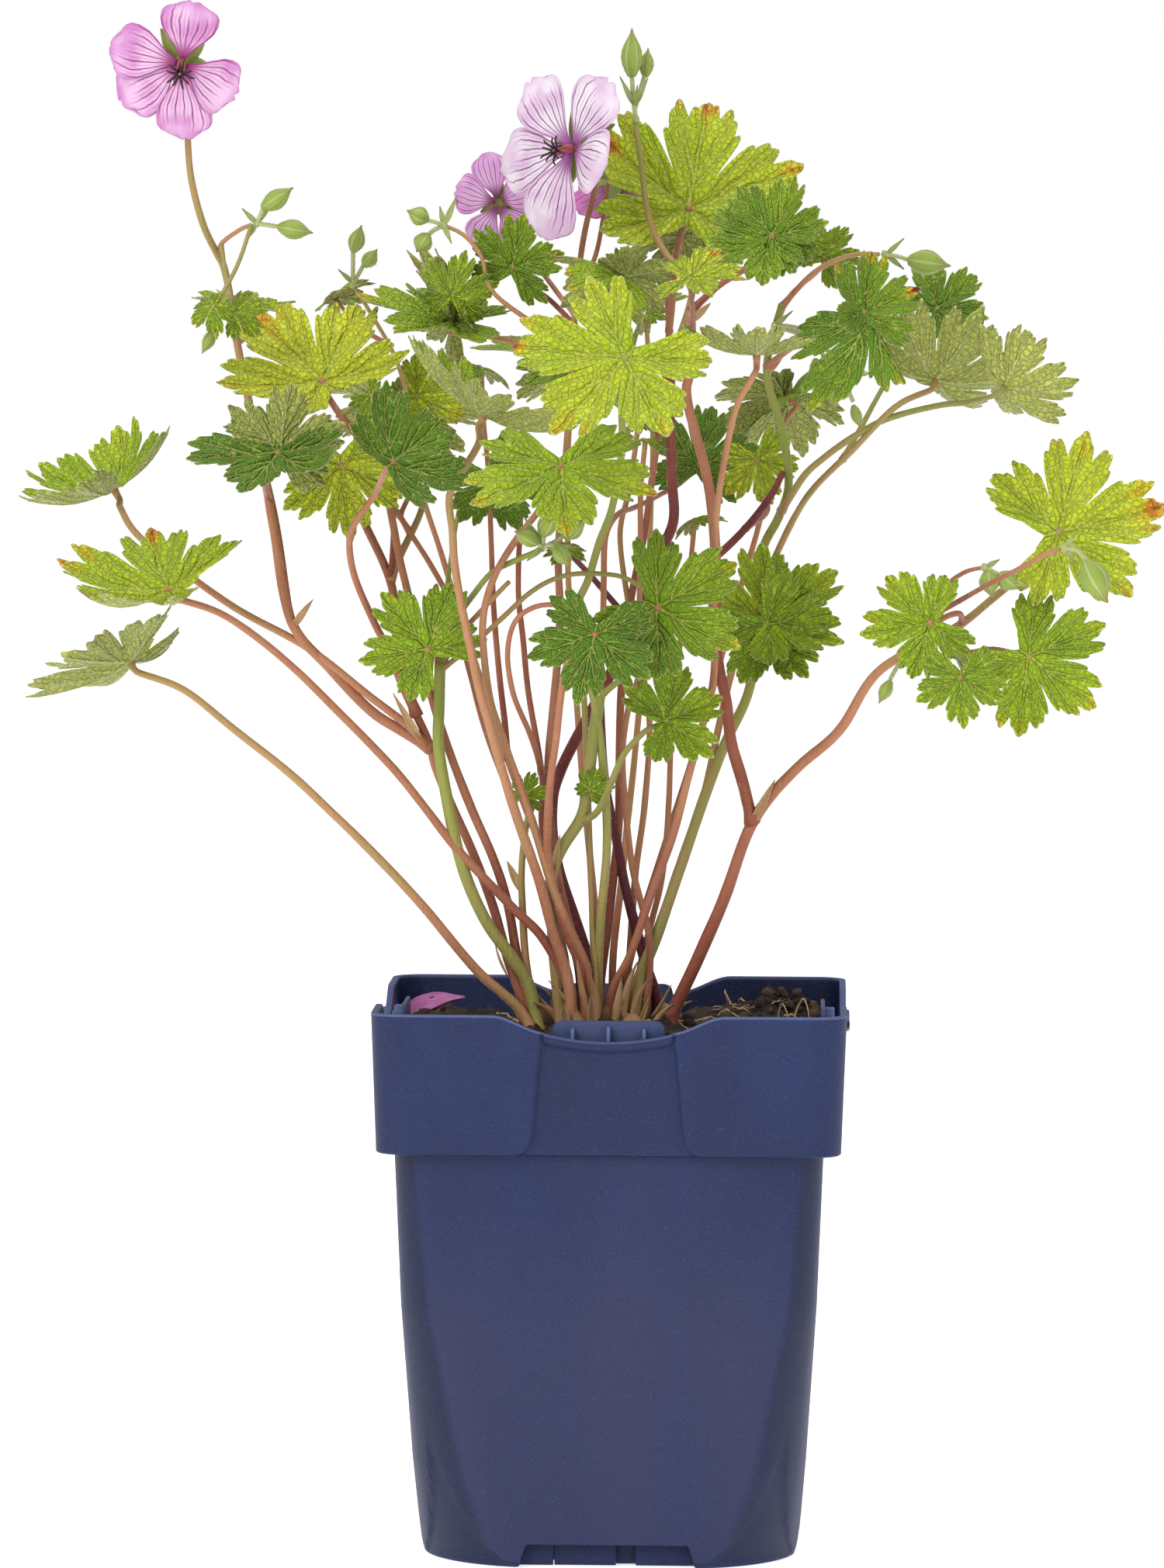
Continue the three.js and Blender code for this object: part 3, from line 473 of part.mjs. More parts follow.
// ---------------------------------------------------------------- bud sprays
// buds: [base, tip, radius]; stalks: paths; bracts: [foot, tip, half width]
const BUD_RINGS = (r) => [[0.14, r * 0.6], [0.42, r], [0.72, r * 0.66]];
const SPRAYS = {
  buds_left: { buds: [[[-99.5, -6, 374], [-91.5, -7, 379.5], 2.7], [[-95, -6, 369], [-86, -7, 367.5], 2.7]],
    stalks: [[[-101, -5, 370], [-100, -6, 372], [-99, -6, 374.5]], [[-101, -5, 370], [-98, -6, 369.5], [-94.5, -6, 369]]],
    bracts: [[[-101, -5, 370], [-106, -7, 375], 0.9], [[-101, -5, 370], [-96, -3, 376], 0.8], [[-101, -5, 370], [-104, -4, 364.6], 0.8]] },
  buds_mid: { buds: [[[-53, -7, 371], [-58.5, -8, 373.5], 2.6], [[-53, -6, 367], [-56, -8, 362.5], 2.6]],
    stalks: [[[-48.5, -6, 369.5], [-51, -7, 370.5], [-53.5, -7, 371]], [[-48.5, -6, 369.5], [-51, -6, 368.5], [-53.5, -6, 366.5]]],
    bracts: [[[-48.5, -6, 369.5], [-44, -8, 380], 1.0], [[-48.5, -6, 369.5], [-50, -4, 376], 0.9], [[-48.5, -6, 369.5], [-46, -9, 363.5], 0.9]] },
  bud_left_upright: { buds: [[[-74, 22, 362], [-71.8, 21, 369], 2.3], [[-71, 24, 358], [-67.5, 23, 362.5], 2.1]],
    stalks: [[[-74, 24, 353], [-74, 22, 362.5]], [[-74, 24, 353], [-71, 24, 358.5]]],
    bracts: [[[-74, 24, 353.5], [-79, 22, 358], 0.8]] },
  bud_top: { buds: [[[3.7, -10, 411], [3.7, -11, 423.5], 2.9], [[7.5, -7, 411], [8.2, -6, 418.5], 2.0]],
    stalks: [[[4.9, -10, 399.4], [4.2, -10, 405], [3.7, -10, 412]], [[4.6, -10, 402], [6, -8, 407], [7.5, -7, 412]]],
    bracts: [[[4.6, -10, 403], [-0.5, -12, 413], 0.9], [[4.6, -10, 403], [9, -12, 412.5], 0.9], [[4.6, -10, 403], [5.5, -14, 410], 0.8]] },
  bud_right: { buds: [[[81, -4, 360.5], [92, -5, 359], 3.5]],
    stalks: [[[74.5, -3, 362], [78, -4, 361.5], [82, -4, 360.3]]],
    bracts: [[[75, -3, 362], [81, -5, 367.5], 0.8], [[75, -3, 362], [81, -2, 357], 0.9]] },
  bud_hairy: { buds: [[[131, -55, 276.5], [137, -56, 266], 3.9]],
    stalks: [[[125.3, -53, 280.4], [129, -54, 279.5], [132, -55, 276]]],
    bracts: [[[125.5, -53, 280.5], [129, -54, 285], 0.9], [[125.5, -53, 280.3], [129, -52, 275], 0.8]] },
  buds_arch: { buds: [[[104, -34, 274], [105, -34, 267], 2.8], [[107, -34, 273], [112.5, -34, 269], 2.7]],
    stalks: [[[103, -34, 274.8], [104.2, -34, 273.4]], [[103, -34, 274.8], [107.5, -34, 272.6]]],
    bracts: [[[103.4, -34, 274.8], [108, -33, 277.5], 0.9], [[109, -34, 271.5], [117, -35, 269], 1.0]] },
  buds_centre: { buds: [[[-21, -38, 283], [-17, -42, 290], 2.6], [[-15, -38, 283], [-9, -42, 287], 2.6], [[-22, -38, 281], [-28, -42, 284], 2.4], [[-17, -40, 280], [-13, -45, 275], 2.3]],
    stalks: [[[-20.8, -36.5, 279.6], [-20.5, -38, 281.5], [-20, -39, 285]], [[-20.8, -36.5, 279.6], [-17, -38, 281.5], [-14, -39, 284]], [[-20.8, -36.5, 279.6], [-21.5, -38, 280.5], [-23, -38.5, 281.6]], [[-20.8, -36.5, 279.6], [-18.5, -39, 280.5], [-16.5, -41, 279.4]]],
    bracts: [[[-20.5, -37, 280], [-27, -40, 290], 1.1], [[-20.5, -37, 280], [-9, -38, 280], 1.1], [[-20.5, -37, 280], [-26, -38, 275], 1.0]] },
};
// Three small sprays stay on their stems as one body with them.
const FUSED_SPRAYS = ['buds_mid', 'bud_left_upright', 'buds_arch'];
function spray(s) {
  return union([...s.buds.map(([a, b, r]) => drop(place(a), place(b), BUD_RINGS(r), 5)),
    ...s.stalks.map((p) => tube(p.map(place), () => 0.75, 4)),
    ...s.bracts.map(([a, b, w]) => lance(place(a), place(b), w, 0.45)),
    drop(place(s.stalks[0][0]).add(V(0, 0, -1.2)), place(s.stalks[0][0]).add(V(0, 0, 1.2)), [[0.5, 1.2]], 5)], 0.08);
}

// ---------------------------------------------------------------- the pot
// The level sets of the pot are squares with rounded corners; the corner radius grows towards the base.
const POT = { rim: 154, collar: 115.5, rimSide: 130.4, collarSide: 127.6 };
function roundedSquare(side, r, n = 5) {
  const c = side / 2 - r, out = [];
  [[1, -1, -90], [1, 1, 0], [-1, 1, 90], [-1, -1, 180]].forEach(([sx, sy, a0]) => {
    for (let i = 0; i <= n; i++) {
      const a = (a0 + 90 * i / n) * Math.PI / 180;
      out.push([sx * c + r * Math.cos(a), sy * c + r * Math.sin(a)]);
    }
  });
  return out;
}
function loft(levels, n) {
  const rings = levels.map(([z, side, r]) => roundedSquare(side, r, n).map(([x, y]) => V(x, y, z)));
  const K = rings[0].length, pts = rings.flat(), faces = [];
  for (let i = 0; i < rings.length - 1; i++) for (let k = 0; k < K; k++) {
    const a = i * K + k, b = i * K + (k + 1) % K;
    faces.push([a, b, b + K], [a, b + K, a + K]);
  }
  for (let k = 1; k < K - 1; k++) { faces.push([0, k + 1, k]); const e = (rings.length - 1) * K; faces.push([e, e + k, e + k + 1]); }
  return solid(pts, faces);
}
const merged = (geometry) => { geometry.deleteAttribute('normal'); geometry.deleteAttribute('uv'); return toSolid(mergeVertices(geometry, 1e-4)); };
function box(x0, x1, y0, y1, z0, z1) {
  return merged(new THREE.BoxGeometry(x1 - x0, y1 - y0, z1 - z0).translate((x0 + x1) / 2, (y0 + y1) / 2, (z0 + z1) / 2));
}
function prismY(poly, y0, y1) { // polygon in x, z pushed along y
  const shape = new THREE.Shape(poly.map(([x, z]) => new THREE.Vector2(x, z)));
  return merged(new THREE.ExtrudeGeometry(shape, { depth: y1 - y0, bevelEnabled: false }).rotateX(Math.PI / 2).translate(0, y1, 0));
}
function fourfold(m) { return [0, 90, 180, 270].map((a) => m.rotate([0, 0, a])); }
function pot() {
  const outer = loft([[0, 104, 34], [12, 106.3, 29.5], [28, 108.8, 23], [72, 114.2, 13], [117, 117.6, 9]], 3);
  const centrePanels = loft([[POT.collar, POT.collarSide - 2.6, 8], [149, POT.rimSide - 2.6, 8]], 3);
  const cornerPanels = loft([[POT.collar, POT.collarSide, 8], [POT.rim, POT.rimSide, 8.5]], 3);
  // the corner panels stop at a slanted, soft-cornered edge either side of the middle of each wall
  const gap = prismY([[-26, 112], [26, 112], [26, 114.6], [22.4, 116.4], [20.6, 120], [17.8, 150.5], [25, 155], [25, 158], [-25, 158], [-25, 155], [-17.8, 150.5], [-20.6, 120], [-22.4, 116.4], [-26, 114.6]], -70, -50);
  const corners = Manifold.difference([cornerPanels, ...fourfold(gap)]);
  const across = [-17.8, -9, 0, 9, 17.8];
  const smile = (x) => 149.2 - 2.3 * (1 - (x / 17.8) ** 2);
  const lip = prismY([...across.map((x) => [x, smile(x)]), ...[...across].reverse().map((x) => [x, smile(x) - 1.6 - 1.2 * (1 - (x / 17.8) ** 2)])], -65.6, -61.6);
  let shell = Manifold.union([outer, centrePanels, corners, ...fourfold(lip)]);
  // the pan of the floor hangs inside the foot, with a groove around it
  const groove = loft([[-1, 99.6, 32], [7.4, 101.4, 31]], 3).subtract(loft([[-2, 78.6, 24], [8, 86.4, 27]], 3));
  const inside = loft([[9, 100.6, 31.5], [28, 105, 21.5], [72, 110.6, 11.5], [117.2, 114.2, 8], [118.8, 122.4, 7], [156, 126.8, 7]], 3);
  const pan = loft([[1.6, 75.6, 22.5], [9.4, 83.4, 25.5]], 3);
  shell = Manifold.difference([shell, groove, inside, pan]);
  // the dips of the rim in the middle of each side
  const dip = prismY([[-26, 156], [-25.5, 154.2], [-22, 152.6], [-17.8, 149.2], [-9, smile(-9)], [0, smile(0)], [9, smile(9)], [17.8, 149.2], [22, 152.6], [25.5, 154.2], [26, 156]], -70, -60.5);
  shell = Manifold.difference([shell, ...fourfold(dip)]);
  // label pocket: a ribbed inner wall behind each dip
  const pocketWall = prismY([[-15.5, 115], [15.5, 115], [15.5, 150.2], [14, 151.8], [-14, 151.8], [-15.5, 150.2]], -59.2, -58);
  const fin = (x) => box(x - 0.5, x + 0.5, -62.8, -58.6, 115, 149);
  const pocket = Manifold.union([pocketWall, fin(-9.8), fin(0), fin(9.8), box(-15.5, 15.5, -62.5, -58.4, 115, 117)]);
  shell = Manifold.union([shell, ...fourfold(pocket)]);
  // four notches in the foot, and the drain openings of the pan behind them
  const notch = prismY([[-24.5, -1], [-22.6, 6.6], [22.6, 6.6], [24.5, -1]], -60, -46);
  const drains = [...fourfold(box(6, 13, -44.5, -34, -1, 5.4)), ...fourfold(box(-14, -10, -43.5, -37, -1, 3))];
  return Manifold.difference([shell, ...fourfold(notch), ...drains]).simplify(0.05);
}

// ---------------------------------------------------------------- the compost and the petal on it
function soil() {
  const n = 8, rnd = rand(77), pts = [], faces = [];
  const relief = (x, y) => {
    const d = Math.hypot(x - CROWN[0], y - CROWN[1]);
    return 139.5 + 8 * Math.exp(-(d * d) / 900) + 6 * Math.exp(-(((x - 42) ** 2) + ((y - 20) ** 2)) / 500) + 4 * Math.exp(-(((x - 46) ** 2) + ((y + 30) ** 2)) / 260)
      + 5 * Math.exp(-(((x + 54) ** 2) + ((y - 40) ** 2)) / 500)
      + 1.3 * Math.sin(0.31 * x + 0.5) * Math.cos(0.27 * y) + 1.4 * (rnd() - 0.5);
  };
  // the top is a square sheet of clumps that stays 0.4 mm inside the collar's inner wall
  const W = 0.5 * 121.2;
  for (let i = 0; i <= n; i++) for (let j = 0; j <= n; j++) {
    let x = -W + 2 * W * i / n, y = -W + 2 * W * j / n;
    const e = Math.max(Math.abs(x), Math.abs(y)) / W;
    const m = Math.min(Math.abs(x), Math.abs(y)) / W;
    if (e > 0.99 && m > 0.99) { x *= 0.965; y *= 0.965; }
    pts.push(V(x, y, relief(x, y) - (e > 0.99 ? 0.8 : 0)));
  }
  const id = (i, j) => i * (n + 1) + j;
  for (let i = 0; i < n; i++) for (let j = 0; j < n; j++) faces.push([id(i, j), id(i + 1, j), id(i + 1, j + 1)], [id(i, j), id(i + 1, j + 1), id(i, j + 1)]);
  const rimLoop = [];
  for (let i = 0; i < n; i++) rimLoop.push(id(i, 0));
  for (let j = 0; j < n; j++) rimLoop.push(id(n, j));
  for (let i = n; i > 0; i--) rimLoop.push(id(i, n));
  for (let j = n; j > 0; j--) rimLoop.push(id(0, j));
  const base = pts.length;
  rimLoop.forEach((k) => pts.push(V(pts[k].x, pts[k].y, 119.2)));
  rimLoop.forEach((k, q) => { const r = (q + 1) % rimLoop.length; faces.push([k, base + q, base + r], [k, base + r, rimLoop[r]]); });
  const c = pts.length; pts.push(V(0, 0, 119.2));
  rimLoop.forEach((k, q) => faces.push([base + (q + 1) % rimLoop.length, base + q, c]));
  const top = solid(pts, faces);
  const root = loft([[9.3, 99.6, 31.5], [28, 104, 21.5], [72, 109.6, 11.5], [119.6, 113.2, 8]], 3);
  const heel = loft([[1.9, 74.6, 22], [9.8, 82.2, 25]], 3);
  let m = Manifold.union([top, root, heel]);
  // clear of the label pockets and of the crown, which stands in a plain hole
  m = m.subtract(Manifold.union(fourfold(box(-16.4, 16.4, -64, -57.4, 112, 160))));
  const foot = place(CROWN);
  m = m.subtract(merged(new THREE.CylinderGeometry(18.7, 18.7, 40, 20).rotateX(Math.PI / 2).scale(1.35, 0.95, 1).translate(foot.x, foot.y, 156.6)));
  return m;
}
function fallenPetal() {
  const frame = { at: V(-44.5, 40, 152), n: V(0.05, -0.2, 0.97).normalize(), u: V(-1, 0, 0.05), s: null };
  frame.u.addScaledVector(frame.n, -frame.u.dot(frame.n)).normalize();
  frame.s = new THREE.Vector3().crossVectors(frame.n, frame.u);
  return petal(frame, [0, 16.5, 12, -0.05], 99);
}

// ---------------------------------------------------------------- assembly
const COLOURS = { pot_blue: 0x3a4668, compost: 0x2f221a, stalk: 0x9a7b5c, leaf_green: 0x7da038, petal_pink: 0xdcb0dc, calyx_green: 0x93a557, column_dark: 0x2a1a2c };
const group = new THREE.Group();
function add(name, manifold, colour) {
  const mesh = manifold.getMesh(), g = new THREE.BufferGeometry(), v = mesh.vertProperties, stride = mesh.numProp;
  const pos = new Float32Array((v.length / stride) * 3);
  for (let i = 0; i < v.length / stride; i++) for (let k = 0; k < 3; k++) pos[3 * i + k] = v[stride * i + k];
  g.setAttribute('position', new THREE.BufferAttribute(pos, 3));
  g.setIndex(new THREE.BufferAttribute(new Uint32Array(mesh.triVerts), 1));
  const m = new THREE.Mesh(g, new THREE.MeshStandardMaterial({ color: COLOURS[colour] }));
  m.name = name;
  group.add(m);
}
add('pot', pot(), 'pot_blue');
const compost = soil();
add('compost', compost, 'compost');
add('crown_stems', crownStems(), 'stalk');
Object.entries(leafSolids).forEach(([name, blades]) => add(name, blades, 'leaf_green'));
Object.keys(FLOWERS).forEach((name, k) => {
  add(`${name}_petals`, flowerPetals(name, k + 1), 'petal_pink');
  add(`${name}_calyx`, flowerCalyx(name), 'calyx_green');
});
['flower_left', 'flower_front'].forEach((name) => add(`${name}_column`, flowerColumn(name), 'column_dark'));
Object.entries(SPRAYS).filter(([name]) => !FUSED_SPRAYS.includes(name)).forEach(([name, s]) => add(name, spray(s), 'calyx_green'));
add('fallen_petal', letDown(fallenPetal(), compost), 'petal_pink');

export default group;
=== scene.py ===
import json
import math

import bpy
import numpy as np
from bpy.props import FloatProperty, FloatVectorProperty, IntProperty, PointerProperty
from mathutils import Matrix, Vector

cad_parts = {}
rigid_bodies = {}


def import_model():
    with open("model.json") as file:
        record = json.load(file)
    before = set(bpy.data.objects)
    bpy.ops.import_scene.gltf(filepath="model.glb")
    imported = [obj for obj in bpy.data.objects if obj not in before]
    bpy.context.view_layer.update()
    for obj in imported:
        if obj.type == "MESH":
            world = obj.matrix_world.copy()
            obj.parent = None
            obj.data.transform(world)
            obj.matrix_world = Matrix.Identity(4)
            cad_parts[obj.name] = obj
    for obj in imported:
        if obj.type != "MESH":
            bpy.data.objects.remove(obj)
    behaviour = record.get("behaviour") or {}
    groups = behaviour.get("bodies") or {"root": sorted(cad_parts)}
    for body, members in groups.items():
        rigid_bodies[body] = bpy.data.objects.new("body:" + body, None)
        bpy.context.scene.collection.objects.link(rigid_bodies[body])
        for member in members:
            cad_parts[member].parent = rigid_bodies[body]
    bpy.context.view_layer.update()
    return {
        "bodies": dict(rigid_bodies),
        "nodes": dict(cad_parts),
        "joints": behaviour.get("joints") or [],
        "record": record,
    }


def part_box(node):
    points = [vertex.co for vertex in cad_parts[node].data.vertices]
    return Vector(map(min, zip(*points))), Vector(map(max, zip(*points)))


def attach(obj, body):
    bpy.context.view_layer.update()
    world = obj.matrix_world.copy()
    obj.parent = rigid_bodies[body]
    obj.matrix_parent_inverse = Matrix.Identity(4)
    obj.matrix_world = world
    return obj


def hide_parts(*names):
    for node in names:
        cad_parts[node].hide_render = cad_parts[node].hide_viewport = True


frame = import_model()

bl_info = {
    "name": "Hardy geranium in a pot",
    "version": (1, 0, 0),
    "blender": (4, 5, 0),
    "location": "View3D > Sidebar > Geranium",
    "description": "Dresses the packed hardy geranium: blades, stalks, flowers, buds, pot and compost",
    "category": "Object",
}

MM = 0.001

# ---------------------------------------------------------------- places
# Places are drawn on a front elevation through the pot's axis [x, depth, z] in millimetres. The depth moves a
# place along its sight line from the viewing point, so the elevation keeps its look.
EYE = np.array([55.0, -2200.0, 350.0])
AIM = np.array([-9.3, 0.0, 213.4])
HEAD_DEPTH = 1.45
HEAD_FROM, HEAD_SPAN = 160, 75
CROWN = [-3, -4, 152]


def placed(points):
    """Drawn places as real ones: depth times 1 + 0.45 s, with s a smooth step from z 160 to 235, then the point
    slides along its sight line by (depth + 2200) / 2200."""
    p = np.asarray(points, float).reshape(-1, 3)
    s = np.clip((p[:, 2] - HEAD_FROM) / HEAD_SPAN, 0, 1)
    depth = p[:, 1] * (1 + (HEAD_DEPTH - 1) * s * s * (3 - 2 * s))
    k = (depth - EYE[1]) / -EYE[1]
    return np.stack([EYE[0] + (p[:, 0] - EYE[0]) * k, depth, EYE[2] + (p[:, 2] - EYE[2]) * k], 1)


def unit(v):
    v = np.asarray(v, float)
    return v / np.maximum(np.linalg.norm(v, axis=-1, keepdims=True), 1e-9)


def swing(angle, u, w):
    """The way at an angle from u towards w, for one angle or for a row of them."""
    angle = np.asarray(angle, float)[..., None]
    return np.cos(angle) * u + np.sin(angle) * w


def series(seed):
    """The growth series of the part: s' = 1664525 s + 1013904223 mod 2^32, as a fraction of 2^32."""
    s = (seed * 2654435761) & 0xFFFFFFFF
    while True:
        s = (s * 1664525 + 1013904223) & 0xFFFFFFFF
        yield s / 4294967296


def hashed(n):
    """A number from 0 to 1 for each integer in n, always the same."""
    n = np.asarray(n, np.int64) & 0xFFFFFFFF
    n = ((n ^ (n >> 15)) * 2246822519) & 0xFFFFFFFF
    n = ((n ^ (n >> 13)) * 3266489917) & 0xFFFFFFFF
    return ((n ^ (n >> 16)) & 0xFFFFFF) / float(0x1000000)


def scatter(n):
    """A vector from -0.5 to 0.5 along each axis for each integer in n."""
    return np.stack([hashed(n + 1), hashed(n + 2), hashed(n + 3)], 1) - .5


def waves(p, size, seed=0):
    """Value noise: random numbers on a cubic lattice of the given size, smoothly blended between the 8 corners
    of each cell. Runs from -1 to 1."""
    q = np.asarray(p, float) / size + 71.7 * (seed + 1)
    i = np.floor(q).astype(np.int64)
    f = q - i
    f = f * f * (3 - 2 * f)
    out = 0
    for corner in np.ndindex(2, 2, 2):
        cell = (i + corner) * (73856093, 19349663, 83492791)
        share = np.where(corner, f, 1 - f)
        out = out + share.prod(-1) * hashed(cell.sum(-1) + seed * 977)
    return 2 * out - 1


def along_waves(run, side, size, seed):
    """The noise along a line, taken in row `side` of the lattice's plane."""
    return waves(np.stack([run, run * 0, run * 0 + side], 1), size, seed)


def cells(x, y, size, seed=0):
    """Distance to the nearest of the random points, one in each square of a grid, as a share of its size."""
    gx, gy = x / size, y / size
    ix, iy = np.floor(gx).astype(np.int64), np.floor(gy).astype(np.int64)
    near = np.full(gx.shape, 9.0)
    for ox in (-1, 0, 1):
        for oy in (-1, 0, 1):
            h = (ix + ox) * 73856093 + (iy + oy) * 19349663 + seed * 7919
            near = np.minimum(near, np.hypot(ix + ox + hashed(h) - gx, iy + oy + hashed(h + 5) - gy))
    return near


# ---------------------------------------------------------------- surfaces
PLAIN = (0, 0, 0, 0)


def grid(nu, nv, wrap_v=False, start=0):
    """Quads of a grid with nu rows of nv points."""
    i, j = np.meshgrid(np.arange(nu - 1), np.arange(nv if wrap_v else nv - 1), indexing="ij")
    a, b = i * nv + j, i * nv + (j + 1) % nv
    return np.stack([a, a + nv, b + nv, b], -1).reshape(-1, 4) + start


def caps(rings, sides):
    """The two fans that close a stack of rings, on the two points that follow the rings."""
    k, last = np.arange(sides), rings * sides
    nxt = (k + 1) % sides
    low = np.stack([np.full(sides, last), nxt, k], 1)
    return np.concatenate([low, np.stack([np.full(sides, last + 1), last - sides + k, last - sides + nxt], 1)])


def normals(co, quads, tris):
    """Point normals: the sum of the cross products of the faces round each point, of the diagonals for a quad."""
    out = np.zeros_like(co)
    for faces, ways in ((quads, ((0, 2), (1, 3))), (tris, ((0, 1), (0, 2)))):
        (a, b), (c, d) = ways
        n = np.cross(co[faces[:, b]] - co[faces[:, a]], co[faces[:, d]] - co[faces[:, c]])
        for corner in faces.T:
            np.add.at(out, corner, n)
    return unit(out)


def thick(co, quads, loop, t, tris=None):
    """A sheet as a closed shell: both faces half of t off the middle surface, joined along the loop."""
    tris = np.zeros((0, 3), int) if tris is None else tris
    n, h = normals(co, quads, tris), np.broadcast_to(np.asarray(t, float), (len(co),))[:, None] / 2
    m, nxt = len(co), np.roll(loop, -1)
    rim = np.stack([loop, loop + m, nxt + m, nxt], 1)
    return (np.concatenate([co + n * h, co - n * h]), np.concatenate([quads, quads[:, ::-1] + m, rim]),
            np.concatenate([tris, tris[:, ::-1] + m]))


def border(nu, nv):
    """The points round the border of a grid, in the order of its faces' edges."""
    i, j = np.arange(nu), np.arange(nv)
    return np.concatenate([i[:-1] * nv, (nu - 1) * nv + j[:-1], (i[::-1] * nv + nv - 1)[:-1], j[::-1][:-1]])


class Piece:
    """Gathers the surfaces of one piece, in millimetres, and makes them one mesh in metres."""

    def __init__(self):
        self.co, self.tone, self.uv, self.n = [], [], [], 0
        self.quads, self.tris = [np.zeros((0, 4), int)], [np.zeros((0, 3), int)]

    def add(self, co, quads=None, tris=None, tone=PLAIN, uv=None):
        m = len(co)
        self.co.append(co)
        if quads is not None:
            self.quads.append(quads + self.n)
        if tris is not None:
            self.tris.append(tris + self.n)
        self.tone.append(np.broadcast_to(np.asarray(tone, float), (m, 4)))
        self.uv.append(np.zeros((m, 2)) if uv is None else np.asarray(uv, float))
        self.n += m

    def sheet(self, co, u, v, thickness, tone, graded=False, mapped=True):
        """A grid of points as a thin closed shell, with u and v as its UV map if it is mapped, and with u in the
        tone's last part if it is graded."""
        nu, nv = u.shape
        co, quads, tris = thick(co.reshape(-1, 3), grid(nu, nv), border(nu, nv), thickness)
        uv = np.tile(np.stack([u, v * 0.5 + 0.5], -1).reshape(-1, 2), (2, 1))
        tone = np.asarray(tone, float) + np.zeros((len(co), 4))
        if graded:
            tone[:, 3] = uv[:, 0]
        self.add(co, quads, tris, tone, uv if mapped else None)

    def make(self, name, material, slot, replaces=()):
        co, quads, tris = np.concatenate(self.co) * MM, np.concatenate(self.quads), np.concatenate(self.tris)
        corners = np.concatenate([quads.ravel(), tris.ravel()])
        starts = np.concatenate([np.arange(len(quads)) * 4, len(quads) * 4 + np.arange(len(tris)) * 3])
        mesh = bpy.data.meshes.new(name)
        mesh.vertices.add(len(co))
        mesh.vertices.foreach_set("co", co.astype(np.float32).ravel())
        mesh.loops.add(len(corners))
        mesh.loops.foreach_set("vertex_index", corners.astype(np.int32))
        mesh.polygons.add(len(starts))
        mesh.polygons.foreach_set("loop_start", starts.astype(np.int32))
        mesh.polygons.foreach_set("use_smooth", np.ones(len(starts), bool))
        mesh.update(calc_edges=True)
        tone = mesh.attributes.new("tone", "FLOAT_COLOR", "POINT")
        tone.data.foreach_set("color", np.concatenate(self.tone).astype(np.float32).ravel())
        uv = np.concatenate(self.uv)[corners]
        mesh.uv_layers.new(name="UVMap").data.foreach_set("uv", uv.astype(np.float32).ravel())
        if mesh.validate():
            raise RuntimeError(name + " has broken faces")
        obj = bpy.data.objects.new(name, mesh)
        bpy.context.scene.collection.objects.link(obj)
        mesh.materials.append(material)
        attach(obj, "root")
        if replaces:
            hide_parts(*replaces)
        return obj


def smooth_path(points, per=8):
    """Catmull-Rom curve through the points, per steps to each stretch."""
    p = np.asarray(points, float)
    q = np.concatenate([p[:1], p, p[-1:]])
    t = (np.arange(per) / per)[None, :, None]
    a, b, c, d = q[:-3, None], q[1:-2, None], q[2:-1, None], q[3:, None]
    out = 0.5 * (2 * b + (c - a) * t + (2 * a - 5 * b + 4 * c - d) * t * t + (3 * b - a - 3 * c + d) * t * t * t)
    return np.concatenate([out.reshape(-1, 3), p[-1:]])


def even(path, step_length):
    """The same path with points at equal steps along it, and the way run at each."""
    run = np.concatenate([[0], np.cumsum(np.linalg.norm(np.diff(path, axis=0), axis=1))])
    s = np.linspace(0, run[-1], max(3, int(run[-1] / step_length) + 1))
    return np.stack([np.interp(s, run, path[:, k]) for k in range(3)], 1), s


def path_frame(path):
    """Tangent and two cross directions along a path, from the direction that the path turns least towards."""
    t = unit(np.gradient(path, axis=0))
    ref = np.linalg.svd(t, full_matrices=False)[2][-1] if len(path) > 2 else np.array([0.0, 1.0, 0.0])
    a = unit(ref[None] - t * (t @ ref)[:, None])
    return t, a, np.cross(t, a)


def tube(piece, path, radius, sides=8, tone=PLAIN):
    """A circle of the given radius carried along the path, closed by a point at each end."""
    t, a, b = path_frame(path)
    n = len(path)
    r = np.broadcast_to(radius, (n,))[:, None, None]
    ring = swing(np.linspace(0, 2 * np.pi, sides, endpoint=False), a[:, None], b[:, None])
    ends = [path[:1] - t[:1] * r[0, 0] * 0.5, path[-1:] + t[-1:] * r[-1, 0] * 0.5]
    tone = np.asarray(tone, float)
    if tone.ndim == 2:
        tone = np.concatenate([np.repeat(tone, sides, 0), tone[:1], tone[-1:]])
    uv = np.stack(np.meshgrid(np.linspace(0, 1, n), np.arange(sides) / sides, indexing="ij"), -1).reshape(-1, 2)
    piece.add(np.concatenate([(path[:, None] + r * ring).reshape(-1, 3), *ends]), grid(n, sides, True)[:, ::-1],
              caps(n, sides), tone, np.concatenate([uv, [[0, 0], [1, 0]]]))


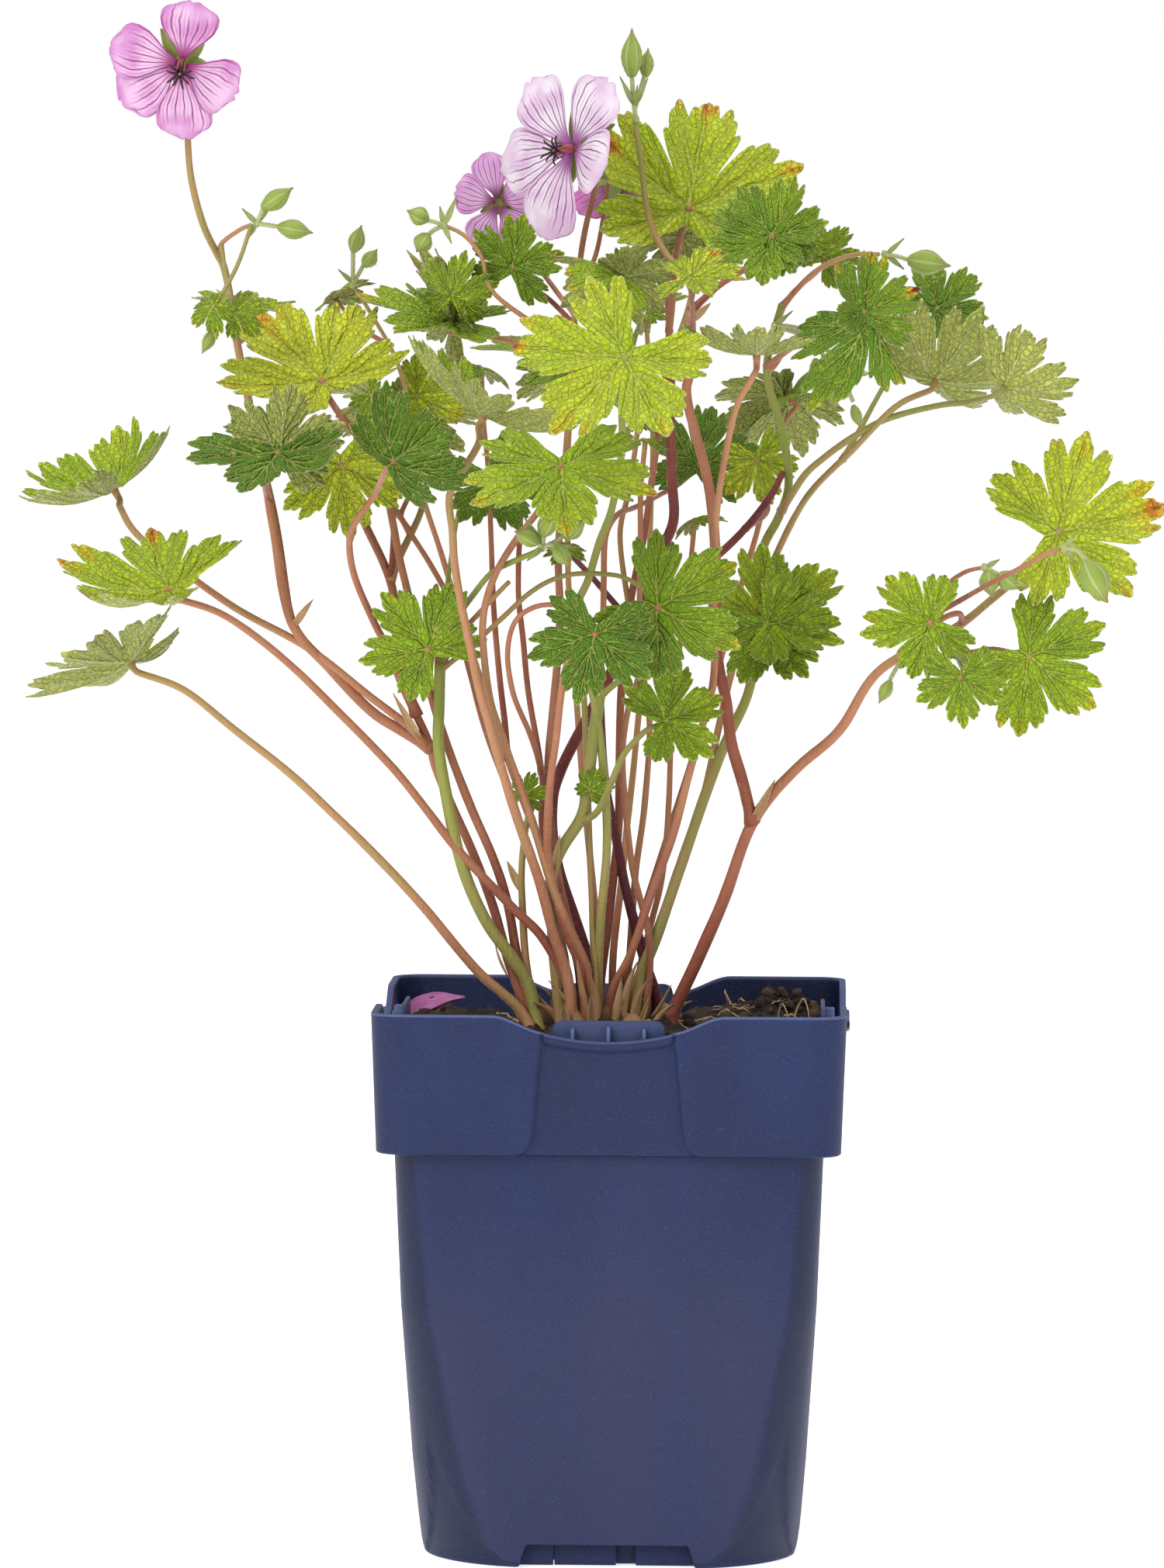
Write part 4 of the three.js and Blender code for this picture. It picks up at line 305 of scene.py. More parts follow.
def lathe(piece, base, tip, profile, sides, ribs, rib, tone):
    """Rings of the given radii at given shares of the way from base to tip, closed by a point at each end. Ribs
    swell the radius by 1 + rib cos(ribs angle)."""
    base, tip = np.asarray(base, float), np.asarray(tip, float)
    length = np.linalg.norm(tip - base)
    ax = (tip - base) / length
    u = unit(np.cross([0, 0, 1] if abs(ax[2]) < 0.9 else [1, 0, 0], ax))
    f, r = np.array(profile, float).T
    ang = np.linspace(0, 2 * np.pi, sides, endpoint=False)
    swell = 1 + rib * np.cos(ribs * ang) * np.sin(np.pi * np.clip(f, 0, 1))[:, None]
    ring = swing(ang, u, np.cross(ax, u))
    co = (base + ax * (f * length)[:, None])[:, None] + (r[:, None] * swell)[..., None] * ring
    t = np.concatenate([np.repeat(f, sides), [0, 1]])
    tone = np.asarray(tone, float) + np.zeros((len(t), 4))
    tone[:, 3] = t
    uv = np.stack([t, np.concatenate([np.tile(np.arange(sides) / sides, len(f)), [0, 0]])], 1)
    piece.add(np.concatenate([co.reshape(-1, 3), base[None], tip[None]]), grid(len(f), sides, True)[:, ::-1],
              caps(len(f), sides), tone, uv)


def tongue(piece, base, tip, half, cup, thickness, curve, tone, nu=9, nv=7, face=None, awn=0.0):
    """A bract, sepal or stipule: half width sin(pi u^0.75) along u, cupped by cup times the square of the way
    across, and bowed by curve along its length, as a thin closed shell."""
    base, tip = np.asarray(base, float), np.asarray(tip, float)
    length = np.linalg.norm(tip - base)
    ax = (tip - base) / length
    face = np.array([0.0, -1.0, 0.0]) if face is None else np.asarray(face, float)
    if abs(face @ ax) > 0.95:
        face = np.array([0.0, 0.0, 1.0])
    up = unit(face - ax * (face @ ax))
    u, v = np.meshgrid(np.linspace(0, 1, nu), np.linspace(-1, 1, nv), indexing="ij")
    wide = half * np.maximum(np.sin(np.pi * u ** 0.75) ** 0.8 * (1 - awn * u), 0.06 + 0.12 * (1 - u))
    bow = cup * wide * v * v + curve * length * np.sin(np.pi * u) + 0.06 * half * np.cos(3 * np.pi * v)
    co = base + ax * (u * length)[..., None] + np.cross(up, ax) * (v * wide)[..., None] + up * bow[..., None]
    piece.sheet(co, u, v, thickness, tone, graded=True)


def needles(piece, root, way, length, radius):
    """Three-sided hairs: from each root a point at the given length along its way."""
    n = len(root)
    way = unit(way)
    a = unit(np.cross(way, [0.31, 0.52, 0.79]))
    b = np.cross(way, a)
    length = np.broadcast_to(length, (n,))[:, None]
    base = [root + radius * swing(g, a, b) for g in (0, 2.094, 4.189)]
    co = np.stack(base + [root + way * length], 1).reshape(-1, 3)
    k = np.arange(n)[:, None] * 4
    piece.add(co, None, np.concatenate([k + np.array(f) for f in ((0, 1, 3), (1, 2, 3), (2, 0, 3), (0, 2, 1))]))


# ---------------------------------------------------------------- tables
def places(text):
    """The places of a text such as "1 2 3, 4 5 6"."""
    return [[float(v) for v in place.split()] for place in text.split(",")]


# Blades, by leaf: foot, way to the tip, way faced, size, bend, seed, (dark 0 to yellow 1, how far its tips
# are scorched 0 to 1), and a nod, lean or fold where it has one.
BLADES = [
    ("left_upper", (-141, 2, 295.5), (-.65, .7, -.2), (-.42, -.17, .87), 29.5, -1, 1, (.62, .1)),
    ("left_middle", (-125.7, -32, 267.3), (-.9, .35, -.05), (-.5, -.33, .8), 32, -.75, 2, (.72, .5),
     dict(lean=-.4)),
    ("left_lower", (-136, -12, 247), (-.85, -.1, -.5), (-.45, .35, .8), 30, -.5, 3, (.5, .1), dict(lean=.4)),
    ("left_flat", (-101, 22, 347), (-1, 0, .1), (0, -.1, 1), 19, -.2, 4, (.72, .1)),
    ("left_bright", (-82.5, -5, 326), (-.65, .48, .585), (0, -.77, .63), 31, -.7, 5, (.94, .6),
     dict(nod=.6, lean=-.2)),
    ("left_dark", (-95, -35, 306), (-.35, -.75, -.56), (0, -.65, .76), 25, -.5, 7, (.2, .1), dict(lean=-.45)),
    ("left_dark", (-94.5, -33.6, 306.5), (.15, .25, 1), (-.1, .95, -.1), 18.5, .25, 6, (.5, .25)),
    ("left_edge", (-79, 34, 349), (.6, 0, .5), (-.4, .3, .9), 12, .5, 8, (.65, 1)),
    ("mid_low_sheet", (-46, 2, 343), (-1, .1, .18), (.05, -.28, .95), 27, -.25, 9, (.5, .3)),
    ("mid_low_sheet", (-46.5, 4, 344.2), (-.5, .5, .9), (.6, .5, .5), 22, .1, 11, (.6, .8)),
    ("mid_yellow", (-56, -2, 322), (.85, -.2, -.4), (-.2, -.8, .55), 15, -.3, 12, (.82, .3)),
    ("mid_underside", (-37, -28, 316.5), (-.15, -1, .1), (.45, -.1, .88), 34, -.9, 13, (.6, .05),
     dict(nod=.2)),
    ("mid_half", (-62.5, -52, 303.5), (.5, .75, .4), (.65, -.55, .6), 23, -.85, 14, (.2, .1)),
    ("mid_backlit", (-77, -18, 302.5), (.1, .1, -1), (.2, -.85, .3), 21, -.2, 15, (.78, .1)),
    ("crown_bright", (19.8, -6, 374.5), (.14, .4, .9), (.05, -.9, .42), 35, -.55, 16, (.76, .7),
     dict(nod=.45, lean=-.1)),
    ("crown_edge", (1, -24, 356), (-.85, 0, .5), (.5, .2, .9), 20, .35, 18, (.6, .9), dict(fold=-.5)),
    ("crown_edge", (2.5, -24.5, 355.5), (.85, -.1, .2), (.1, .8, .6), 13, .3, 19, (.4, .3)),
    ("crown_right", (20, -41, 355), (.95, -.12, .08), (0, -.5, .9), 15, .1, 20, (.75, .6), dict(fold=.2)),
    ("crown_dark", (18, 16, 367), (.5, .4, -.6), (0, .75, .5), 17, .3, 21, (.25, .1)),
    ("mid_round", (-29.4, -4, 358), (.2, -.25, .9), (-.1, -.9, .3), 15.5, -.2, 22, (.42, .1)),
    ("centre_bright", (2.2, -64, 333), (-.6, -.4, -.69), (0, -.86, .5), 31, -.3, 24, (.78, .8),
     dict(lean=-.25)),
    ("right_young", (43, -30, 367), (.45, .2, .9), (-.2, -.8, .5), 18, -.5, 25, (.4, .05)),
    ("right_young", (42, -29, 366), (-.85, -.2, -.35), (-.1, -.8, .6), 18, -.4, 28, (.45, .05)),
    ("right_tuft", (57.7, 14, 361), (.5, 0, .7), (0, -.8, .5), 11, .2, 27, (.5, .1)),
    ("right_folded", (68.9, -38, 346), (0, .35, .93), (.55, -.7, .3), 17.5, -.6, 29, (.36, .5),
     dict(fold=.15)),
    ("right_folded", (70.5, -38.5, 343.5), (.6, -.15, -.8), (.6, -.6, .4), 19, .2, 31, (.28, .1),
     dict(fold=-1.1)),
    ("right_umbrella", (39, -46, 334), (-.85, -.5, 0), (-.03, 0, 1), 24, -.75, 30, (.35, .2)),
    ("right_pale", (88.9, -8, 327), (.4, -.75, .5), (.35, .5, .78), 25, -.95, 32, (.68, .1)),
    ("right_back", (89.3, 22, 347), (.65, .3, .5), (0, -.75, .6), 15, -.3, 33, (.3, .1)),
    ("right_light", (108.5, -24, 325.3), (.75, -.6, -.15), (.6, .45, .5), 22, -.95, 34, (.85, .1)),
    ("centre_small", (39.2, 12, 304.5), (.3, 0, -.9), (0, -.85, .4), 13, -.2, 36, (.74, .2)),
    ("centre_dark", (22.9, 22, 303), (.2, .1, .9), (.1, -.85, .4), 18, .3, 37, (.22, .1)),
    ("low_large", (11.5, -43, 263), (.87, -.1, -.48), (-.1, -.95, .3), 25.6, -.55, 38, (.42, .2),
     dict(lean=.5)),
    ("far_right", (123.6, -24, 284.7), (.93, .1, .22), (0, -.93, .35), 29, -.25, 39, (.8, .4), dict(lean=.2)),
    ("right_low_a", (88, -38, 259.3), (-.96, -.1, -.22), (0, -.88, .45), 19, -.35, 40, (.62, .2)),
    ("right_low_b", (115.5, -29.5, 250), (.8, -.15, -.6), (.05, -.95, .2), 22.5, -.25, 41, (.58, .2)),
    ("right_low_c", (96.5, -48, 244), (.05, -.3, -1), (0, -.8, .4), 14, -.4, 42, (.5, .1)),
    ("centre_yellow", (-15.7, -57, 302.4), (.1, -.8, -.6), (0, -.6, .8), 29, -.12, 43, (.64, .3)),
    ("centre_hung", (-35.5, -22, 299), (.45, -.2, -.85), (.3, -.85, .2), 18, -.4, 44, (.28, .1)),
    ("low_dark", (-6, -50, 255.5), (-.2, -.3, -.9), (0, -.9, .3), 20, -.15, 45, (.22, .1), dict(lean=-.3)),
    ("low_small", (14.2, -34, 231.5), (.9, 0, .35), (-.3, -.9, .2), 17, -.55, 46, (.5, .1), dict(nod=.45)),
    ("low_left", (-52.7, -24, 251), (-.6, .1, .7), (0, -.92, .3), 20, -.3, 47, (.5, .1), dict(nod=.2)),
    ("low_right", (42.5, -12, 260), (.75, .2, .5), (-.35, -.8, .25), 23.5, -.65, 48, (.62, .1), dict(nod=.5)),
    ("low_right", (42, -13, 258.5), (.6, -.2, -.75), (-.1, -.9, .3), 20, -.5, 49, (.5, .1)),
    ("back_left", (-62, 52, 318), (-.6, .6, .4), (-.1, .6, .8), 28, .4, 51, (.5, .2)),
    ("back_left", (-61, 51.5, 317.5), (.5, .5, -.4), (.1, .75, .55), 24, .4, 61, (.45, .1)),
    ("back_centre", (-12, 60, 330), (-.4, .75, .4), (0, .4, .9), 29, .35, 52, (.45, .1)),
    ("back_centre", (-10.5, 60, 329.5), (.75, .5, -.3), (.2, .7, .7), 24, .4, 62, (.5, .2)),
    ("back_right", (48, 54, 322), (.6, .6, .4), (.1, .6, .8), 28, .4, 53, (.45, .2)),
    ("back_right", (47, 54, 322), (-.7, .6, -.4), (0, .7, .7), 22, .4, 63, (.55, .1)),
]
# Small leaves that unfold from the nodes, with no CAD node of their own. Their rows end with the fold.
YOUNG_BLADES = [
    ((-113, -20, 347), (-.7, -.1, -.4), (-.2, -.8, .5), 8, .6, 81, -.3),
    ((-107, -14, 345), (.7, -.1, .3), (.2, -.8, .5), 9, .5, 82, -.3),
    ((-69, -14, 322), (.6, -.2, -.5), (.1, -.9, .3), 8, .5, 83, -.25),
    ((-46, -6, 350), (.2, -.2, .9), (-.2, -.9, .2), 13, .4, 84, -.2),
    ((2, -16, 356), (.4, -.2, .8), (-.2, -.9, .2), 9, .4, 85, -.3),
    ((50, -18, 366), (.5, .1, .8), (-.2, -.9, .3), 10, .4, 86, -.3),
    ((-25.4, -18, 210), (.3, -.2, .9), (-.2, -.9, .3), 7, .4, 87, -.3),
    ((-7, -19, 212), (.4, -.2, .9), (-.1, -.9, .3), 6.5, .4, 88, -.3),
    ((8, 36, 345), (.3, .6, .5), (-.1, .5, .8), 13, .6, 91, -.1),
    ((-38, 30, 330), (-.5, .6, .2), (-.2, .4, .9), 12, .6, 92, -.1),
    ((6, 5, 315), (.4, .8, .2), (0, .3, .9), 9, .5, 93, -.2),
    ((22, 11, 288), (.6, .7, .2), (0, .4, .9), 9, .5, 94, -.2),
    ((-99, 2, 304), (-.3, .8, .3), (-.2, .5, .8), 8, .5, 95, -.2),
    ((8, -6, 310), (.2, .9, .2), (0, -.3, .95), 7, .5, 96, -.2),
    ((-14, -16, 279), (-.2, .7, .5), (0, -.6, .75), 7, .5, 97, -.2),
]
# Stems: name, radius at foot and end, tone at foot and end (green 0, salmon .5, dark red 1), route. A route
# "root > way" branches off the stem nearest to its root, and one without starts at the crown.
ROUTES = [
    ("to_flower_left", 1.6, .9, .6, .3, "-52.5 -12 223 > -60 -12 228, -68.6 -12 233.5, -80 -12 245, "
     "-91 -12 259, -96 -6 285, -101 6 311, -106 12 335, -110 6 356, -112 2 361, -116 -3 370, "
     "-119.4 -4 383, -120.8 -4 398"),
    ("left_thin", 1, .6, .66, .42, "-91 -12 259 > -95 -4 285, -99 2 304"),
    ("left_green", 1.9, 1.7, .42, .12, "-24 -10 156.7, -29 -12 164.6, -36 -15 174.5, -43 -17 190.4, "
     "-47.3 -18 208, -49.8 -18 223, -49.5 -17 236, -49.3 -17 247"),
    ("left_node_stem", 1.5, 1.1, .66, .42, "-56 -13 232 > -61 -12 250, -63 -10 269, -71.4 -6 288.7, "
     "-75 -2 303"),
    ("crossing_brown", 1.1, .8, .72, .66, "-14 -6 165, -22 -6 190, -29 -6 208, -36 -6 226, -41 -6 245, "
     "-44.6 -6 260.5, -51.6 -6 274, -57.5 -6 283, -62 -6 290"),
    ("to_flower_front", 1.5, .8, .55, .35, "-8 -6 158, -13 -7 175, -18 -8 200, -19 -8 219, -17.2 -8 238, "
     "-15.5 -8 260, -16 -8 281, -13 -8 324, -11.5 -8 348, -10.2 -9 361, -8.7 -10 370, -6.5 -9 380"),
    ("to_flower_behind", .8, .6, .66, .42, "-12 -8 345 > -20 4 355, -26 12 364"),
    ("to_flower_right", .8, .6, .66, .42, "-11.5 -8 350 > -6 4 362"),
    ("to_bud_top", 1.1, .8, .45, .3, "20.5 -22 344 > 21 -22 354, 14 -16 361, 8.7 -12 371, 6 -10 389, "
     "4.8 -10 398"),
    ("crown_thick", 1.8, 1.4, .72, .5, "38 -12 203 > 36.3 -14 213, 32.4 -15 225, 31 -15 237, "
     "28.6 -16 248, 27.6 -17 262, 27.6 -18 276, 26.6 -18 290.7, 24.7 -18 302.6, 19.5 -20 322, "
     "20.7 -22 331, 20.5 -22 346"),
    ("green_right", 1.9, 1.1, .35, .12, "7.6 -2 158.7, 12.6 -1 172.6, 17.5 0 186.4, 24.4 1 208, "
     "30.4 3 224, 37.3 4 239, 39.5 6 256, 39.5 8 271, 41.5 8 281, 45.4 6 289, 48 4 298, 46 2 313, "
     "42 0 330, 46 -4 348"),
    ("to_bud_right", .9, .7, .66, .42, "46 -4 347 > 54 -2 356, 60 -2 360, 66.4 -2 362, 73 -3 362"),
    ("to_buds_left", .8, .6, .66, .42, "-111 3 358 > -111 0 364, -106 -3 368, -102.5 -5 369.5"),
    ("to_buds_mid", .8, .6, .66, .42, "-24 -4 336 > -34 -6 350, -38 -6 361, -43 -6 367, -48.5 -6 369.5"),
    ("to_bud_hairy", .9, .7, .66, .42, "84 -22 251 > 88 -21 261, 93 -24 264, 106 -42 271, 118.7 -52 278, "
     "124 -53 280"),
    ("to_buds_arch", .8, .6, .66, .42, "88 -22 260 > 91.5 -24 269, 97 -29 273.5, 103 -34 274.8"),
    ("to_bud_upright", .8, .6, .66, .42, "-61 -8 288 > -56 12 305, -62 27 332, -74 24 353"),
    ("centre_green", 1.9, 1.8, .35, .05, "-16 -10 158, -17.1 -12 172.6, -17.6 -14 186.4, "
     "-15.1 -15 194.4, -9.2 -16 204.3, -7.7 -16 213, -5.7 -16 228, -4.3 -16 239"),
    ("green_arch", 1, .8, .05, .08, "-4.3 -16 238 > -1 -18 241, 4 -18 245, 9 -18 247.3, 16 -18 248"),
    ("to_buds_centre", 1, .8, .1, .1, "-49.3 -17 246 > -45.6 -15 257, -42.7 -14 263, -35.7 -24 271.5, "
     "-29.8 -30 275.4, -22 -36.1 278.7"),
    ("centre_light", .9, .7, .4, .3, "-49.3 -17 245 > -44.6 -17 254, -37.7 -20 262, -30 -24 270"),
    ("arch_high", .8, .7, .3, .15, "-49.3 -17 245 > -41.7 -18 251, -32.8 -20 259, -23.9 -22 267, "
     "-15.9 -23 271.4, -8 -23 272.8, .9 -22 272, 6.8 -20 269"),
    ("green_thin", .8, .6, .05, .03, "-49 -17 246 > -48.2 -14 256, -47.6 -10 266, -45.6 -10 281, "
     "-43.2 -10 295.6"),
    ("green_centre", 1.1, .9, .3, .15, "-5.2 -10 160.7, -5.7 -10 168.6, -6.2 -11 184.4, -7.2 -12 201, "
     "-8 -12 225, -9 -12 250"),
    ("red_centre", 1.1, .8, .8, .7, "-10 -6 160, -12.7 -6 171.6, -15.1 -8 184.4, -20.4 -9 200.3, "
     "-20.4 -10 216, -23.9 -10 237, -25.8 -10 252, -27.3 -10 264, -27.3 -10 274, -26.8 -8 286, -27 -8 296"),
    ("dark_red", 1.7, 1.2, .95, .9, "12 0 152, 8.6 1 163.6, 4.7 1 178.5, .7 0 196.3, -2.3 -2 210, "
     "-3.8 -5 228, -4.5 -8 245, -5 -10 258"),
    ("dark_main", 1.9, 1.5, 1, .92, "-6 3 158, -11 3 175, -17 3 195, -18 3 208, -15 3 218, -6.2 3 235, "
     "2 3 251, 6.8 3 259, 9.8 2 274, 16.2 0 287, 15.5 -2 300, 14.7 -4 315, 15 -6 330"),
    ("dark_diagonal", 1.4, 1, .95, .85, "6.8 3 259 > 11.8 0 266, 21.7 -2 272.3, 29.6 -2 278.8, "
     "36.5 -2 285.7, 43 0 294, 46.5 3 301"),
    ("dark_left", 1, .8, .95, .9, "6.8 3 259 > 1.9 0 261.4, -8 -8 272.8, -14 -16 279"),
    ("tan_left", 1.1, .8, .5, .45, "10 -4 160, 9.6 -4 172, 7.6 -5 180.5, 4.7 -6 192.4, 2.7 -6 206, "
     "2.2 -7 223, 3.7 -7 235, 6.6 -7 246, 6.8 -6 272, 7 -6 293, 8 -6 310"),
    ("tan_middle", 1.1, .8, .55, .4, "4 4 160, 6.1 4 188.4, 8.1 4 208, 9.6 4 228, 8 4 242, 4 5 262, "
     "1 5 283, 4 5 297, 6 5 315"),
    ("tan_right", 1, .8, .5, .5, "7 6 160, 10.6 6 174.5, 13.6 6 188.4, 15 6 208, 15.5 7 225, 17 8 245, "
     "20 10 268, 22 11 288"),
    ("shoot", 1.3, .9, .5, .2, "-24 -9 160, -25.6 -11 176.5, -26.2 -13 187, -25.4 -15 198, -23.4 -17 209"),
    ("back_tall", 1.2, .7, .66, .42, "0 8 165, 6 24 230, 10 34 300, 8 36 345"),
    ("back_side", 1, .7, .66, .42, "-30 26 220 > -34 30 260, -36 32 300, -38 30 330"),
    ("leaf_left_upper", 1.2, 1, .6, .4, "-52.5 -14 223 > -57.7 -14 229, -68.6 -13 237.5, -86 -12 251, "
     "-108 -8 263, -132 -4 281, -139 -2 290"),
    ("leaf_left_middle", 1.5, 1, .66, .42, "-13 -12 156, -20 -14 169.6, -29 -15 178.5, -44 -18 194.4, "
     "-58.7 -20 213.2, -68.6 -21 223.6, -90 -22 245, -108 -22 259, -121 -23 264"),
    ("leaf_left_lower", 1.6, 1, .62, .45, "-26.5 -12 149.5, -38.9 -14 160.7, -53.8 -18 178.5, "
     "-68.6 -19 194.4, -86 -19 211, -107 -18 228, -121 -16 239"),
    ("leaf_left_bright", 1.5, 1, .66, .42, "-27.5 -8 164.6, -30 -10 179.5, -34 -12 192.4, -40 -14 206.3, "
     "-45.8 -15 221, -52 -15 238, -57.5 -15 264, -60.5 -14 277, -62.5 -12 287, -65 -10 297, "
     "-70.4 -9 307.5, -77 -9 316"),
    ("leaf_mid_underside", 1.7, 1, .62, .4, "-13.2 -14 158.7, -17.1 -16 170.6, -21.1 -18 186.4, "
     "-27 -22 203.3, -32 -26 219, -37.7 -30 237.2, -40.7 -30 252, -43.2 -32 264, -45.1 -34 275.8, "
     "-45.6 -36 284, -46.6 -38 293.7, -43.2 -39 300.6, -38.6 -36 309"),
    ("leaf_mid_half", 1.6, .8, .72, .6, "-27.5 -8 157, -30 -9 164, -34 -10 178.5, -39 -11 192.4, "
     "-45.3 -12 206.3, -50.3 -12 218, -52.3 -12 225, -58.7 -13 238, -64.5 -15 252, -68.4 -17 260, "
     "-73.4 -22 272, -74.5 -28 282, -72 -33 288, -68 -36 294"),
    ("leaf_centre_hung", .9, .8, .66, .42, "-63 -10 270 > -62.6 -10 283, -62.5 -10 292, -59.5 -10 298, "
     "-54.5 -10 299.8, -44 -11 299.6"),
    ("leaf_mid_yellow", 1.1, .8, .35, .2, "-63 -10 270 > -60 -8 279, -54.6 -3 290.7, -53 3 303, -56 4 314"),
    ("leaf_crown_bright", 1.4, .9, .66, .42, "-4 0 155, -1.3 0 176.5, .7 1 198.3, 1.2 2 218, 1.7 3 240, "
     "4 5 265, 9 6 291, 13 5 324, 15 3 344, 15.5 0 353, 17 -3 366"),
    ("leaf_centre_bright", 1.4, 1, .3, .2, "-4.3 -8 160, -3.6 -12 176, -2.3 -14 195, -4 -16 225, "
     "-9 -18 252, -11 -20 263, -8 -22 271, -5 -24 281, -1 -27 291, 1 -32 305, 1.5 -44 325"),
    ("leaf_right_umbrella", 1.3, .9, .6, .5, "-.5 -8 155, 4.7 -10 165.6, 10.6 -12 182.5, 16.5 -16 200, "
     "23.5 -22 226, 27.4 -26 243, 27.2 -30 267, 29 -38 298, 33 -44 318, 38 -48 328"),
    ("leaf_right_pale", 1.3, .9, .55, .35, "4.7 0 154, 13.6 1 176.5, 18.5 2 191.4, 25.4 3 212, "
     "29.4 4 231, 33.4 5 248, 41 6 270, 53 2 294, 66 -10 308, 78 -14 320"),
    ("leaf_right_light", 1.1, .8, .25, .15, "46 5 290 > 52 -4 300, 58 -8 305.4, 66 -11 311, "
     "75.4 -13 316, 90 -15 320, 98 -15 321"),
    ("leaf_far_right", 2.1, 1, .82, .35, "17.5 -8 151, 24.4 -10 166.6, 31.4 -11 182.5, 38.3 -12 202.5, "
     "51 -16 218, 63 -20 229, 74 -22 246, 95 -22 258, 105 -20 266, 115 -17 275"),
    ("leaf_right_low_a", .9, .8, .66, .42, "97 -22 259 > 96 -28 262, 92 -32 261"),
    ("leaf_right_low_b", .9, .8, .66, .42, "89 -22 254.5 > 97 -18 251, 106 -19 252"),
    ("leaf_right_low_c", .9, .7, .66, .42, "97 -18 251 > 100.5 -27 249.5, 101 -38 247.5"),
    ("leaf_low_large", 1.4, .9, .6, .5, "-9 -12 160, -13 -14 171, -18.3 -18 190, -19.1 -22 200, "
     "-18.1 -26 213, -16.6 -28 225, -15.4 -31 237, -14 -33 246, -11 -34 252, -6 -34 257, 1 -33 260.5, "
     "7 -33 262"),
    ("leaf_low_dark", .9, .7, .66, .42, "-20.6 -12 216 > -24 -20 228, -29 -27 239, -30.7 -32 249, "
     "-28.8 -36 258, -23.9 -38 262.4, -17.9 -40 263.5, -11 -42 261.5"),
    ("leaf_low_small", 1.1, .8, .2, .15, "-9.2 -16 203 > -5.3 -19 205.3, -1.3 -24 213.2, 2.7 -28 222, "
     "8.5 -33 228.5"),
    ("leaf_low_left", 1.1, .8, .66, .42, "-49.3 -17 245 > -50.5 -16 250.5"),
    ("leaf_low_right", .9, .8, .66, .42, "39.5 4 257 > 41 -4 257"),
    ("leaf_centre_dark", 1, .7, .6, .6, "-4.3 -16 238.5 > -3.9 -16 256, -3.6 -16 271, -2.9 -14 283, "
     ".4 -6 289, 5 8 291, 11 20 294, 17 28 297"),
    ("leaf_centre_small", .9, .7, .66, .42, "41 -2 281 > 42 12 290, 41 19 297"),
    ("leaf_centre_yellow", 1.4, .9, .45, .45, "-7.2 -12 158.7, -8.2 -13 163.6, -13.2 -15 174.5, "
     "-19.1 -18 189.4, -25 -22 208, -31 -24 225, -35.2 -26 237, -37.2 -28 252, -37.2 -29 260, "
     "-35.7 -30 267, -32.8 -31 274, -27.8 -32 282, -22 -36 290, -19 -45 296.5"),
    ("leaf_left_dark", .9, .7, .66, .42, "-101 -10 300 > -99 -18 302, -96 -26 303"),
    ("leaf_mid_backlit", .9, .7, .66, .42, "-57.5 -6 283 > -64 -8 293, -71 -10 299"),
    ("leaf_left_flat", .8, .6, .66, .42, "-108 12 338 > -105 19 337"),
    ("leaf_left_edge", .8, .6, .66, .42, "-64 26 336 > -72 32 341"),
    ("leaf_mid_low_sheet", 1, .7, .66, .42, "-13 -8 330 > -24 -4 336, -38 0 339"),
    ("leaf_mid_round", .9, .6, .66, .42, "-12 -8 342 > -20 4 350, -27 6 354"),
    ("leaf_crown_edge", .9, .6, .66, .42, "-12 -8 336 > -8 -14 340, -3 -24 346"),
    ("leaf_crown_right", .9, .7, .66, .42, "20.5 -22 342 > 21 -32 347"),
    ("leaf_crown_dark", .9, .6, .66, .42, "15 3 340 > 14 12 350, 16 15 360"),
    ("leaf_right_young", 1.1, .7, .66, .42, "20.5 -21 346 > 28 -18 353, 36 -17 358, 41 -18 362"),
    ("leaf_right_tuft", .8, .6, .66, .42, "41 -2 341 > 48 12 350, 55 20 356"),
    ("leaf_right_folded", 1, .7, .66, .42, "41 -2 330 > 52 -14 338, 64 -28 341"),
    ("leaf_right_back", .9, .6, .3, .2, "70 0 313 > 76 12 328, 85 19 342"),
    ("leaf_back_left", 1.2, .8, .66, .42, "-8 8 162, -30 26 220, -50 42 280, -59 49 308"),
    ("leaf_back_centre", 1.2, .8, .66, .42, "-4 8 165, -10 30 225, -14 48 285, -13 57 318"),
    ("leaf_back_right", 1.2, .8, .66, .42, "4 8 162, 22 28 222, 38 44 280, 46 51 312"),
]
# Stipules: foot, tip, half width.
STIPULES = [
    ((-10, -10, 150), (-27, -14, 166), 2.2), ((-9, -12, 150), (-20, -18, 171), 2.4),
    ((-5, -13, 150), (-9, -21, 170), 2.4), ((0, -13, 150), (4, -20, 168), 2.2),
    ((5, -10, 150), (15, -16, 168), 2.2), ((8, -4, 150), (24, -6, 164), 2),
    ((-12, 0, 150), (-30, 2, 163), 2), ((-8, 6, 150), (-16, 17, 166), 2.2), ((1, 8, 150), (5, 19, 167), 2.2),
    ((-7, -12, 152), (-14, -20, 176), 2), ((3, -12, 152), (10, -18, 175), 2),
    ((-12, -6, 151), (-34, -10, 160), 1.8), ((38.3, -13, 203), (46, -16, 217), 1),
    ((38, -12, 204), (34, -16, 216), .9), ((-54, -13, 225), (-64, -18, 241), .9),
    ((-26, -12, 184), (-31, -14, 193), 1), ((-17.6, -14, 188), (-15, -18, 201), .9),
    ((-30, -10, 165), (-37, -13, 171), 1), ((-91, -13, 258), (-84, -16, 266), .9),
    ((20.5, -22, 344), (27, -24, 349), .9), ((41, 2, 330), (49, -4, 338), .9),
]
